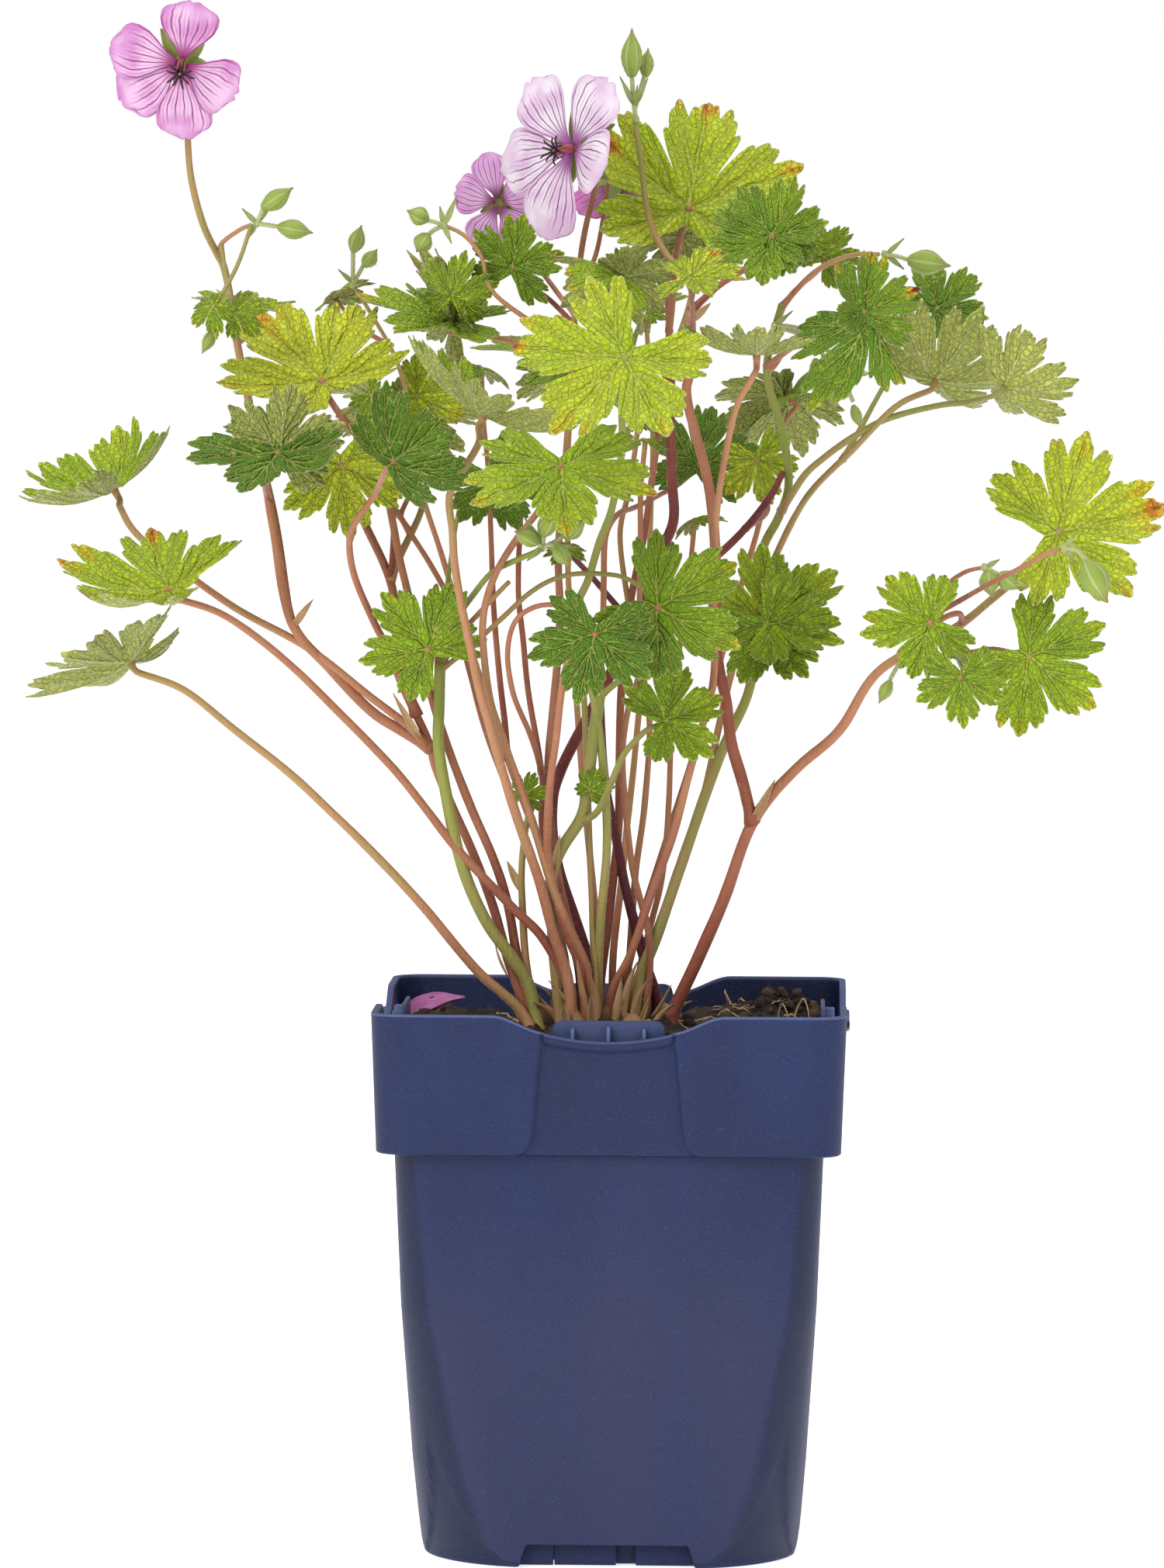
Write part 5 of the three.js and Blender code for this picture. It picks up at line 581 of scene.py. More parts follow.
# Sprays: buds "foot, tip, radius", stalks "places", bracts "foot, tip, half width", each part ending at a ";".
SPRAYS = [
    ("buds_left", "-99.5 -6 374, -91.5 -7 379.5, 2.7; -95 -6 369, -86 -7 367.5, 2.7",
     "-101 -5 370, -100 -6 372, -99 -6 374.5; -101 -5 370, -98 -6 369.5, -94.5 -6 369",
     "-101 -5 370, -106 -7 375, .9; -101 -5 370, -96 -3 376, .8; -101 -5 370, -104 -4 364.6, .8"),
    ("buds_mid", "-53 -7 371, -58.5 -8 373.5, 2.6; -53 -6 367, -56 -8 362.5, 2.6",
     "-48.5 -6 369.5, -51 -7 370.5, -53.5 -7 371; -48.5 -6 369.5, -51 -6 368.5, -53.5 -6 366.5",
     "-48.5 -6 369.5, -44 -8 380, 1; -48.5 -6 369.5, -50 -4 376, .9; -48.5 -6 369.5, -46 -9 363.5, .9"),
    ("bud_left_upright", "-74 22 362, -71.8 21 369, 2.3; -71 24 358, -67.5 23 362.5, 2.1",
     "-74 24 353, -74 22 362.5; -74 24 353, -71 24 358.5",
     "-74 24 353.5, -79 22 358, .8"),
    ("bud_top", "3.7 -10 411, 3.7 -11 423.5, 2.9; 7.5 -7 411, 8.2 -6 418.5, 2",
     "4.9 -10 399.4, 4.2 -10 405, 3.7 -10 412; 4.6 -10 402, 6 -8 407, 7.5 -7 412",
     "4.6 -10 403, -.5 -12 413, .9; 4.6 -10 403, 9 -12 412.5, .9; 4.6 -10 403, 5.5 -14 410, .8"),
    ("bud_right", "81 -4 360.5, 92 -5 359, 3.5",
     "74.5 -3 362, 78 -4 361.5, 82 -4 360.3",
     "75 -3 362, 81 -5 367.5, .8; 75 -3 362, 81 -2 357, .9"),
    ("bud_hairy", "131 -55 276.5, 137 -56 266, 3.9",
     "125.3 -53 280.4, 129 -54 279.5, 132 -55 276",
     "125.5 -53 280.5, 129 -54 285, .9; 125.5 -53 280.3, 129 -52 275, .8"),
    ("buds_arch", "104 -34 274, 105 -34 267, 2.8; 107 -34 273, 112.5 -34 269, 2.7",
     "103 -34 274.8, 104.2 -34 273.4; 103 -34 274.8, 107.5 -34 272.6",
     "103.4 -34 274.8, 108 -33 277.5, .9; 109 -34 271.5, 117 -35 269, 1"),
    ("buds_centre", "-21 -38 283, -17 -42 290, 2.6; -15 -38 283, -9 -42 287, 2.6; -22 -38 281, "
     "-28 -42 284, 2.4; -17 -40 280, -13 -45 275, 2.3",
     "-20.8 -36.5 279.6, -20.5 -38 281.5, -20 -39 285; -20.8 -36.5 279.6, -17 -38 281.5, "
     "-14 -39 284; -20.8 -36.5 279.6, -21.5 -38 280.5, -23 -38.5 281.6; -20.8 -36.5 279.6, "
     "-18.5 -39 280.5, -16.5 -41 279.4",
     "-20.5 -37 280, -27 -40 290, 1.1; -20.5 -37 280, -9 -38 280, 1.1; -20.5 -37 280, -26 -38 275, 1"),
]
# Sprays with no CAD node of their own.
SMALL_SPRAYS = [
    ("97 -30 249, 104 -31 246, 2; 97 -30 246, 101 -31 241, 1.8",
     "95 -25 251, 97 -30 249; 95 -25 251, 97 -30 246.5",
     "95 -25 251, 92 -28 256, .8"),
    ("77 -28 243, 74 -29 237, 1.8",
     "80 -23 249, 77 -28 243.5",
     "80 -23 249, 84 -26 245, .8"),
    ("55.5 -18 333, 55.5 -19 326, 1.7; 60 -17 326, 61 -18 319, 1.6; 66 -16 320, 68 -17 314, 1.5",
     "44 -4 342, 51 -14 341, 55.5 -18 334; 44 -4 342, 55 -14 338, 60 -17 327; 44 -4 342, 58 -12 336, "
     "66 -16 321",
     "44 -4 342, 50 -12 347, .9"),
    ("-113 -16 340, -116 -17 334, 1.7",
     "-110 -10 345, -113 -16 341",
     "-110 -10 345, -106 -14 351, .9"),
]
YOUNG_LOOK = (.55, .15)
FLOWERS = {
    "flower_left": dict(at=[-122, -14, 414.5], face=[.02, -.95, -.2], up=[.05, 0, 1], length=18, first_sepal=36,
                        petals=[[-8, 18.2, 16.66, .25], [79, 21, 16, .25], [126, 21, 16, .2], [185, 22, 16, .25],
                                [243, 18, 17, .35]]),
    "flower_front": dict(at=[-12.5, -20, 391], face=[-.55, -.8, .1], up=[0, 0, 1], length=22, first_sepal=15,
                         petals=[[-37, 24, 17.2, .45], [41, 26, 16.72, .3], [99, 28, 19, .2], [161, 27, 20, .3],
                                 [250, 17, 19, .5]]),
    "flower_behind": dict(at=[-33, 12, 376], face=[-.5, -.75, -.1], up=[0, 0, 1], length=16, first_sepal=36,
                          petals=[[8, 15, 13, .3], [75, 15, 12, .3], [149, 16, 13, .3], [217, 14, 12, .3],
                                  [289, 14, 12, .4]]),
    "flower_right": dict(at=[0, 12, 382], face=[.15, .7, -.5], up=[0, 0, 1], length=16, first_sepal=36,
                         petals=[[20, 11, 12, .4], [95, 14, 12, .4], [160, 14, 13, .2], [225, 15, 13, .2],
                                 [290, 13, 12, .4]]),
}
# Flowers that show their column of stamens, and sprays that go into the piece of small sprays.
WITH_COLUMN = ("flower_left", "flower_front")
GATHERED = ("buds_mid", "bud_left_upright", "buds_arch")


def blade_data(at, tip, face, r, bend, seed, look, more=None):
    """A blade's measures by name. A nod, lean or fold that the row doesn't give is 0."""
    data = dict(at=at, tip=tip, face=face, r=r, bend=bend, seed=seed, look=look, nod=0, lean=0, fold=0)
    return data | (more or {})


def leaves():
    """The blades of each leaf, by the name of its node."""
    out = {}
    for name, *row in BLADES:
        out.setdefault("leaf_" + name, []).append(blade_data(*row))
    return out


def routes():
    """The stems in the order of their growth: those from the crown, then those that branch off another."""
    out = []
    for name, r0, r1, tone0, tone1, text in ROUTES:
        root, _, way = text.rpartition(" > ")
        out.append((name, (r0, r1), (tone0, tone1), places(root) if root else None, places(way)))
    return sorted(out, key=lambda stem: stem[3] is not None)


def parts(text):
    """The parts of a spray's text, each a list of places."""
    return [places(part) for part in text.split(";")]


LEAVES = leaves()
YOUNG = [blade_data(*row, YOUNG_LOOK, {"fold": fold}) for *row, fold in YOUNG_BLADES]

# ---------------------------------------------------------------- blades
# The edge is star-shaped about the stalk: five wedge lobes [degrees from the middle lobe, half width in degrees,
# length], with teeth at these shares of the way across a lobe.
LOBES = [(-121, 31, 0.82), (-60, 30, 0.97), (0, 30, 1.0), (60, 30, 0.97), (121, 31, 0.82)]
TOOTH = [-0.98, -0.80, -0.52, -0.29, 0, 0.29, 0.52, 0.80]
TOOTH_SMALL = [-0.98, -0.62, -0.34, 0, 0.34, 0.62]
# Half the fine edge of a lobe, from the cut beside it to its tip: [way across the half, share of the length].
EDGE = np.array([
    (-1, .35), (-.975, .375), (-.96, .45), (-.945, .55), (-.92, .65), (-.885, .72), (-.845, .755), (-.80, .765),
    (-.76, .75), (-.735, .76), (-.70, .815), (-.66, .87), (-.615, .895), (-.57, .895), (-.54, .90), (-.50, .94),
    (-.455, .955), (-.41, .94), (-.37, .90), (-.335, .855), (-.30, .815), (-.275, .82), (-.245, .885),
    (-.205, .94), (-.165, .96), (-.125, .965), (-.09, .995), (-.045, 1.03), (0, 1.04)])
# The edge between the last lobe and the first, round the stalk: [degrees, share of the size].
CLOSING = np.array([(152, .33), (155, .285), (159, .24), (164, .20), (170, .165), (180, .14), (190, .165),
                    (196, .20), (201, .24), (205, .285)])
# The veins of half a lobe, in lobe lengths [across, along] from foot to end, with their strength.
VEINS = [((0, 0), (0, 1.0), 1.0), ((0, .26), (.245, .915), .8), ((0, .16), (.315, .675), .7),
         ((0, .60), (.085, .945), .5), ((.10, .52), (.29, .84), .5), ((.165, .70), (.165, .87), .4),
         ((.14, .36), (.225, .70), .3)]
# The middles of the lobes and the cut behind, where they are and where they'd be with every lobe alike.
LOBE_WAYS = np.radians([-180, -121, -60, 0, 60, 121, 180])
EVEN_WAYS = np.radians([-180, -120, -60, 0, 60, 120, 180])
LOBE_LENGTHS = [.8, .82, .97, 1, .97, .82, .8]
BLADE_THICK, EDGE_THINNER = 0.34, 0.14


def blade_frame(leaf):
    """Foot, way to the tip, way faced and way across of a blade."""
    t = unit(leaf["tip"])
    n = np.array(leaf["face"], float)
    n = unit(n - t * (n @ t))
    return placed(leaf["at"])[0], t, n, np.cross(n, t)


def blade_edge(leaf):
    """Angle and distance of the fine edge: the edge of each lobe times its length, its growth and the growth of
    the tooth that it belongs to, both from the same series as the part's, then the closing round the stalk."""
    rnd, r = series(leaf["seed"]), leaf["r"]
    tooth = TOOTH_SMALL if r < 28 else TOOTH
    theta, rho = [], []
    across, share = np.concatenate([EDGE, EDGE[-2:0:-1] * [-1, 1]]).T
    for at, half, length in LOBES:
        grow = 1 + 0.10 * (next(rnd) - 0.5)
        grown = [1.0 if i == 0 else 1 + 0.05 * (next(rnd) - 0.5) for i in range(len(tooth))]
        jag = 1 + 0.035 * np.sin(across * 9.1 + at + 3 * leaf["seed"])
        theta.append(at + half * across)
        rho.append(share * length * grow * r * np.interp(across, tooth, grown) * np.where(share > 0.6, jag, 1))
    theta.append(CLOSING[:, 0])
    rho.append(CLOSING[:, 1] * r)
    return np.radians(np.concatenate(theta)), np.concatenate(rho)


def vein_net(theta, rho):
    """How near a place is to a vein: the largest, over the veins of its lobe, of strength times
    exp(-(distance / width)^2). theta is folded so that every lobe's middle lies at 0."""
    a = np.interp(theta, LOBE_WAYS, EVEN_WAYS)
    a = (a + np.pi / 6) % (np.pi / 3) - np.pi / 6
    p = np.stack([rho * np.abs(np.sin(a)), rho * np.cos(a)], -1)
    near = np.zeros(rho.shape)
    for foot, end, strength in VEINS:
        f, e = np.array(foot), np.array(end)
        s = np.clip(((p - f) @ (e - f)) / ((e - f) @ (e - f)), 0, 1)
        d = np.linalg.norm(p - f - s[..., None] * (e - f), axis=-1)
        near = np.maximum(near, strength * np.exp(-(d / (0.055 - 0.02 * s)) ** 2))
    return near


def ring_distance(edge, r, rings):
    """Distance of each ring from the stalk: the inner rings lie on circles, the others draw out to the edge."""
    core = np.minimum(0.27 * r, 0.86 * edge)
    inner = max(3, rings // 4)
    ring = np.arange(1, rings + 1)[:, None]
    outer = core + (edge - core) * np.clip((ring - inner) / (rings - inner), 0, 1) ** 0.92
    return np.where(ring <= inner, core * (ring / inner), outer)


def blade(piece, leaf, rings=None):
    """A blade on rings from the stalk to its edge. The surface bends about the stalk as sin(b q) / b out and
    (1 - cos(b q)) / b down, is a trough along each lobe, sinks at its veins, and ruffles towards the edge. Gives
    the places of the edge, the ways out of it and the way faced."""
    at, t, n, s = blade_frame(leaf)
    r, seed = leaf["r"], leaf["seed"]
    yellow, burn = leaf["look"]
    theta, edge = blade_edge(leaf)
    N = len(theta)
    K = rings or (9 if r > 27 else 8 if r > 17 else 6)
    rho = ring_distance(edge, r, K)
    th = np.broadcast_to(theta, rho.shape)
    wrapped = (th + np.pi) % (2 * np.pi) - np.pi
    q, close = rho / r, rho / edge
    b = leaf["bend"] + leaf["nod"] * np.cos(th) + leaf["lean"] * np.sin(th)
    b = np.where(np.abs(b) < 1e-3, 1e-3, b)
    out, down = r * np.sin(b * q) / b, r * (1 - np.cos(b * q)) / b
    lobe = np.cos(6 * wrapped) * np.where(np.abs(wrapped) < 2.65, 1, 0.3)
    length = np.interp(wrapped, LOBE_WAYS, LOBE_LENGTHS)
    vein = vein_net(wrapped, q / length)
    plane = np.stack([q * np.cos(th), q * np.sin(th), np.full_like(q, seed * 3.7)], -1)
    trough = 0.075 * q * lobe
    raised = 0.028 * np.clip(q / 0.3, 0, 1) * (1 - vein)
    ruffle = 0.012 * q ** 1.5 * waves(plane, 0.24, seed) + 0.05 * q ** 2 * waves(plane, 0.75, seed + 3)
    droop = 0.05 * np.clip(close - 0.72, 0, 1) * (1 + waves(plane, 0.3, seed + 9))
    h = r * (raised - trough + ruffle - droop) - down + leaf["fold"] * np.abs(out * np.sin(th))
    co = at + out[..., None] * swing(th, t, s) + h[..., None] * n
    co = np.concatenate([at[None] - n * 0.012 * r, co.reshape(-1, 3)])
    shut = np.concatenate([[0], close.ravel()])
    j = np.arange(N)
    middle = np.stack([np.zeros(N, int), 1 + j, 1 + (j + 1) % N], 1)
    thickness = BLADE_THICK - EDGE_THINNER * shut
    shell, quads, tris = thick(co, grid(K, N, True, 1), 1 + (K - 1) * N + j, thickness, middle)
    patch = waves(np.concatenate([plane[:1, 0], plane.reshape(-1, 3)]), 0.5, seed + 21)
    away = np.concatenate([[0], (q * np.clip((edge / r - 0.55) / 0.45, 0, 1)).ravel()])
    hue = np.clip(yellow + 0.10 * patch + 0.12 * away ** 2, 0, 1)
    scorch = np.clip(burn * np.clip((away - 0.62) / 0.38, 0, 1) * (1.15 + 1.2 * patch), 0, 1)
    tone = np.stack([np.tile(hue, 2), np.tile(scorch, 2), np.repeat([0.0, 1.0], len(co)), np.tile(shut, 2)], 1)
    even_way = np.interp(wrapped, LOBE_WAYS, EVEN_WAYS)
    uv = 0.5 + 0.4 * np.stack([q / length * np.cos(even_way), q / length * np.sin(even_way)], -1).reshape(-1, 2)
    piece.add(shell, quads, tris, tone, np.tile(np.concatenate([[[0.5, 0.5]], uv]), (2, 1)))
    rim = co[1 + (K - 1) * N:]
    return rim, unit(rim - co[1 + (K - 3) * N:1 + (K - 2) * N] + 1e-6), n


# ---------------------------------------------------------------- stalks and stems
STEM_STEP = 1.9
CROWN_FOOT_Z = 143


def spread(d, k, most):
    return max(-most, min(most, d * k))


def nearest_on(lines, p):
    """The point nearest to p on any of the lines."""
    a = np.concatenate([l[:-1] for l in lines])
    d = np.concatenate([np.diff(l, axis=0) for l in lines])
    s = np.clip(((p - a) * d).sum(1) / np.maximum((d * d).sum(1), 1e-9), 0, 1)
    q = a + s[:, None] * d
    return q[np.argmin(((q - p) ** 2).sum(1))]


def stem_ends():
    """The last places of the stems that carry a leaf or a flower, by the stem's name."""
    ends = {}
    for name, blades in LEAVES.items():
        at, _, n, _ = blade_frame(blades[0])
        ends[name] = [at - n * 3.6, at - n * 1.2, at]
    for name, flower in FLOWERS.items():
        at, n, _, _ = flower_frame(flower)
        ends["to_" + name] = [at - n * 9.6, at - n * 5.0]
    return ends


def stem_lines():
    """Every stem's name, radii, tones, whether it branches off, smooth centre line and the way run along it, foot
    first. A stem from the crown starts in the compost under its own route, and a branch on the nearest line grown
    before it."""
    foot = placed(CROWN)[0]
    ends, grown = stem_ends(), []
    for name, radii, tones, start, way in routes():
        via = placed(way)
        if start:
            root = nearest_on([stem[4] for stem in grown], placed(start)[0])
        else:
            off = via[0] - foot
            root = np.array([foot[0] + spread(off[0], .85, 19), foot[1] + spread(off[1], 1.1, 12), CROWN_FOOT_Z])
        path = smooth_path(np.concatenate([[root], via, ends.get(name, np.zeros((0, 3)))]), 10)
        line, run = even(path, STEM_STEP)
        rows = [np.stack([run, run * 0 + k, run * 0 + len(grown) * 5.1], 1) for k in range(3)]
        wobble = np.stack([waves(row, 19, k) for k, row in enumerate(rows)], 1)
        line = line + wobble * 0.45 * np.clip(np.minimum(run, run[-1] - run) / 12, 0, 1)[:, None]
        grown.append((name, radii, tones, start is not None, line, run))
    return grown


def stems(piece, hairs, hair_count):
    """A tube along each line. The radius goes evenly from foot to end, swells by 0.5 exp(-(s/2.4)^2) at its foot,
    or by 0.45 times the same where it branches off, and varies by 6 % along the way. Gives the lines."""
    grown = stem_lines()
    total = sum(stem[5][-1] for stem in grown)
    for i, (name, (r0, r1), (foot_tone, end_tone), branch, line, run) in enumerate(grown):
        u = run / run[-1]
        swell = (0.45 if branch else 0.5) * np.exp(-(run / 2.4) ** 2)
        r = (r0 + (r1 - r0) * u) * 0.94 * (1 + swell + 0.06 * along_waves(run, i, 7, 4))
        if name in LEAVES:
            r = r * (1 + 0.35 * np.exp(-((run[-1] - run) / 1.8) ** 2))
        hue = foot_tone + (end_tone - foot_tone) * u + 0.1 * along_waves(run, 3 * i, 16, 2)
        tone = np.stack([np.clip(hue, 0, 1), np.full(len(u), hashed(i * 31 + 5)), u, run * 0], 1)
        tube(piece, line, r, 9, tone)
        k = np.arange(int(hair_count * run[-1] / total)) + 7919 * i
        p = hashed(k) * (len(line) - 1.001)
        j = p.astype(int)
        root = line[j] + (line[j + 1] - line[j]) * (p - j)[:, None]
        t, n, w = path_frame(line)
        side = swing(2 * np.pi * hashed(k + 40503), n[j], w[j])
        way = side + t[j] * (hashed(k + 911) - 0.55)[:, None]
        needles(hairs, root + side * r[j][:, None] * 0.9, way, 0.45 + 0.75 * hashed(k + 77), 0.035)
    return [stem[4] for stem in grown]


def crown(piece, lines):
    """Lumps of the crown with dry papery stipules round them and at the nodes, each a cupped tongue."""
    foot = placed(CROWN)[0]
    lump = [(.02, 2), (.2, 4.6), (.5, 5.2), (.8, 3.6), (.95, 1.6)]
    for i in range(11):
        g, d = 2.4 * i, 15 * math.sqrt((i + 0.5) / 11)
        c = foot + [d * 1.25 * math.cos(g), d * 0.8 * math.sin(g), -17 - 0.1 * d]
        top = c + [2 * math.cos(g), 2 * math.sin(g), 15 + 3 * math.sin(5 * g)]
        lathe(piece, c, top, lump, 12, 5, .12, (.85, .2, .3, 0))
    for i, (a, b, w) in enumerate(STIPULES):
        base, tip = placed(a)[0], placed(b)[0]
        tone = (.15 + .35 * hashed(i), .5, 1, 0)
        curve = .06 * (-1) ** i
        if a[2] < 180:
            tip = base + (tip - base) * .5
            tongue(piece, base - [0, 0, 6], tip, w * .62, .8, .2, curve, tone, 10, 7, tip - base + [0, 0, 30])
        else:
            base = nearest_on(lines, base)
            tip = base + (tip - base) * .85
            tongue(piece, base - [0, 0, 1], tip, w * 1.1, .8, .2, curve, tone, 10)
    for i in range(16):
        g, d = 2.399 * i, 6 + 11 * hashed(i * 13)
        base = foot + [d * 1.3 * math.cos(g), d * 0.85 * math.sin(g), -9]
        lean = 3 + 7 * hashed(i * 17 + 3)
        tip = base + [lean * math.cos(g), lean * 0.8 * math.sin(g) - 2, 9 + 5 * hashed(i * 7 + 1)]
        tone = (.1 + .6 * hashed(i), .5, 1, 0)
        tongue(piece, base, tip, 1.0 + 1.0 * hashed(i * 5), .9, .2, .1 * math.sin(i * 1.7), tone,
               face=[math.cos(g), math.sin(g), .4])


# ---------------------------------------------------------------- flowers and buds
def flower_frame(f):
    """Middle, way faced, way up and way across of a flower."""
    n = unit(f["face"])
    u = np.array(f["up"], float)
    u = unit(u - n * (u @ n))
    return placed(f["at"])[0], n, u, np.cross(n, u)


# Half a petal's width along it: [share of the length, share of half the width].
PETAL_WIDTHS = np.array([(0, .10), (.06, .14), (.15, .25), (.25, .43), (.34, .62), (.5, .88), (.64, .98),
                         (.78, .97), (.88, .86), (.95, .69), (1, .45)])
PETAL_THICK, PETAL_CLAW = 0.24, 1.3


def petal(piece, frame, data, seed, own):
    """A petal: along = 1.3 + (length - 1.3) u, shorter towards its corners and with a notch, across = v times
    half the width that widens from the claw; it lifts as lift along - 0.012 along^2 and ripples to its end."""
    at, n, up, s = frame
    turn, length, width, lift = data
    d = swing(math.radians(turn), up, s)
    u, v = np.meshgrid(np.linspace(0, 1, 24) ** 0.85, np.linspace(-1, 1, 17), indexing="ij")
    across = v * width / 2 * np.interp(u, *PETAL_WIDTHS.T)
    shorter = 0.11 * np.abs(v) ** 2.2 * u ** 5 + 0.035 * np.exp(-(v / 0.16) ** 2) * u ** 10
    along = (PETAL_CLAW + (length - PETAL_CLAW) * u) * (1 - shorter - 0.008 * np.sin(9 * v + seed) * u ** 9)
    lifted = lift * along - 0.012 * along ** 2 + 0.22 * np.abs(across) * (0.6 - u) + 0.45 * v * u ** 0.7
    ripple = 0.35 * np.sin(3 * v + 5 * u + seed) * u ** 2 + 0.30 * np.sin(8.5 * v + 2 * seed) * u ** 3
    pleat = 0.10 * np.cos(v * 22) * (1 - u) * np.clip(u * 6, 0, 1)
    flat = at + along[..., None] * math.cos(lift * 0.6) * d + across[..., None] * np.cross(n, d)
    piece.sheet(flat + (lifted + ripple + pleat)[..., None] * n, u, v, PETAL_THICK, (own, 0, 0, 0))


def calyx(piece, hairs, f):
    """Five cupped sepals with drawn-out tips round a short ribbed cup."""
    at, n, u, s = flower_frame(f)
    c = at - n * 2.6
    cup = [(.03, .8), (.2, 1.3), (.5, 1.7), (.8, 2.1), (.95, 1.9)]
    lathe(piece, c - n * 2.8, c + n * 1.5, cup, 16, 5, .08, (.35, .3, 0, 0))
    for i in range(5):
        d = swing(math.radians(f["first_sepal"] + 72 * i), u, s)
        base, tip = c + d * 0.6, c + d * (f["length"] * 0.60) - n * .6
        tongue(piece, base, tip, 2.9, -.2, .35, .05, (.3, .3, .16, 0), 14, 9, n, .35)
        k = np.arange(150) + i * 311
        w = hashed(k)
        off = (hashed(k + 9) - .5) * 3.4 * np.sin(np.pi * w)
        root = base + (tip - base) * w[:, None] + np.cross(n, d) * off[:, None] - n * 0.3
        needles(hairs, root, scatter(k) * 1.4 - n, .5 + .6 * hashed(k + 4), .035)


def column(piece, filaments, f):
    """Ten filaments from a ring at the petals' foot to dark anthers round the style's tip."""
    at, n, u, s = flower_frame(f)
    tip = at + n * 8.5 - u * 1.5
    style = smooth_path([at + n * 0.6, at + n * 4 - u * .4, tip + n * .6], 5)
    tube(filaments, style, np.linspace(.75, .35, 11))
    for i in range(10):
        out = swing(2 * math.pi * i / 10 + .2, u, s)
        e = tip + out * (1.0 + 0.6 * (i % 2)) + n * (.1 + .7 * hashed(i * 3))
        thread = smooth_path([at + n * .9 + out, at + n * 4.6 - u * .6 + out * .9, e], 5)
        tube(filaments, thread, np.linspace(.32, .16, 11), 6)
        w = unit(out + n * .5 + (s + u) * (hashed(i) - .5) * .5)
        anther = smooth_path([e - w * 1.3, e, e + w * 1.6 + n * .4, e + w * 2.9 - n * .4], 5)
        tube(piece, anther, np.interp(np.linspace(0, 1, 16), [0, .2, .8, 1], [.2, .33, .29, .15]))


# A bud's radius along it: [share of the length, share of the radius].
BUD_PROFILE = np.array([(.01, .35), (.06, .5), (.14, .68), (.26, .9), (.4, 1.0), (.54, .93), (.66, .74),
                        (.76, .5), (.84, .3), (.9, .17), (.97, .1)])


def bud(piece, hairs, base, tip, r, seed):
    """A pointed bud with five ribs, and hairs standing off it."""
    base, tip = placed(base)[0], placed(tip)[0]
    ax = tip - base
    lathe(piece, base, tip + ax * .10, BUD_PROFILE * [1, r], 25, 5, .10, (.45, .4, .12, 0))
    k = np.arange(140) + seed * 1013
    f, g = hashed(k) * .9, 2 * np.pi * hashed(k + 5)
    u = unit(np.cross(ax, [.3, .8, .5]))
    side = swing(g, u, np.cross(unit(ax), u))
    off = r * np.interp(f, [0, .14, .42, .72, 1], [.3, .68, 1.0, .6, .1])
    root = base + ax * f[:, None] + side * off[:, None] * .96
    needles(hairs, root, side + unit(ax) * .35, .5 + .9 * hashed(k + 3), .035)


def spray(piece, hairs, texts, seed):
    """Buds on thin hairy stalks with bracts at their foot."""
    buds, stalks, bracts = [parts(text) for text in texts]
    for i, (a, b, (r,)) in enumerate(buds):
        bud(piece, hairs, a, b, r, seed * 10 + i)
    for i, stalk in enumerate(stalks):
        line, run = even(smooth_path(placed(stalk), 6), 0.9)
        tube(piece, line, .62, 8, (0, .5, .72, 0))
        t, n, w = path_frame(line)
        k = np.arange(int(run[-1] * 9)) + 501 * i + 77 * seed
        j = (hashed(k) * len(line)).astype(int)
        side = swing(2 * np.pi * hashed(k + 3), n[j], w[j])
        needles(hairs, line[j] + side * .55, side + .2 * t[j], .5 + .6 * hashed(k + 6), .033)
    for a, b, (w,) in bracts:
        a, b = placed(a)[0], placed(b)[0]
        tongue(piece, a, a + (b - a) * .82, w * .95, .5, .3, .06, (.3, .6, .45, 0), 10, awn=.3)
    node, half = placed(stalks[0][0])[0], np.array([0, 0, 1.2])
    lathe(piece, node - half, node + half, [(.05, .6), (.5, 1.1), (.95, .6)], 12, 0, 0, (0, .5, .6, 0))


# ---------------------------------------------------------------- the pot
# Outer levels [z, side, corner radius], from the foot to the ledge, and inner ones from the floor up.
POT_OUTER = [(0, 104, 34), (12, 106.3, 29.5), (28, 108.8, 23), (72, 114.2, 13), (117, 117.6, 9)]
POT_INNER = [(9, 100.6, 31.5), (28, 105, 21.5), (72, 110.6, 11.5), (117.2, 114.2, 8)]
LEDGE, RIM, COLLAR_SIDE, RIM_SIDE = 115.5, 154.0, 127.6, 130.4
COLLAR_FOOT = LEDGE + .25
PANEL_TOP = 149.2
FLOOR_TOP = 9
QUARTER_TURNS = ((1, 0), (0, 1), (-1, 0), (0, -1))


def step(x, a, b):
    """0 before a, 1 after b, and a smooth step between them."""
    s = np.clip((x - a) / (b - a), 0, 1)
    return s * s * (3 - 2 * s)


def turned(co, c, s):
    """Places turned about the pot's axis, by the cosine and sine of the angle."""
    x, y, z = co[..., 0], co[..., 1], co[..., 2]
    return np.stack([x * c - y * s, x * s + y * c, z], -1)


def level(z, table):
    z0, side, r = np.array(table, float).T
    return np.interp(z, z0, side), np.interp(z, z0, r)


def wall(t, side, r):
    """A place on one wall between its two corners' middles, t from -1 to 1: half the wall's length is the
    straight c = side/2 - r and then r pi/4 of arc. Gives x, y and the outward way, for the front wall."""
    c = side / 2 - r
    arc = t * (c + r * np.pi / 4)
    g = np.clip(np.abs(arc) - c, 0, None) / r
    sx = np.sign(arc)
    x = sx * (np.minimum(np.abs(arc), c) + r * np.sin(g))
    return x, -side / 2 + r * (1 - np.cos(g)), sx * np.sin(g), -np.cos(g)


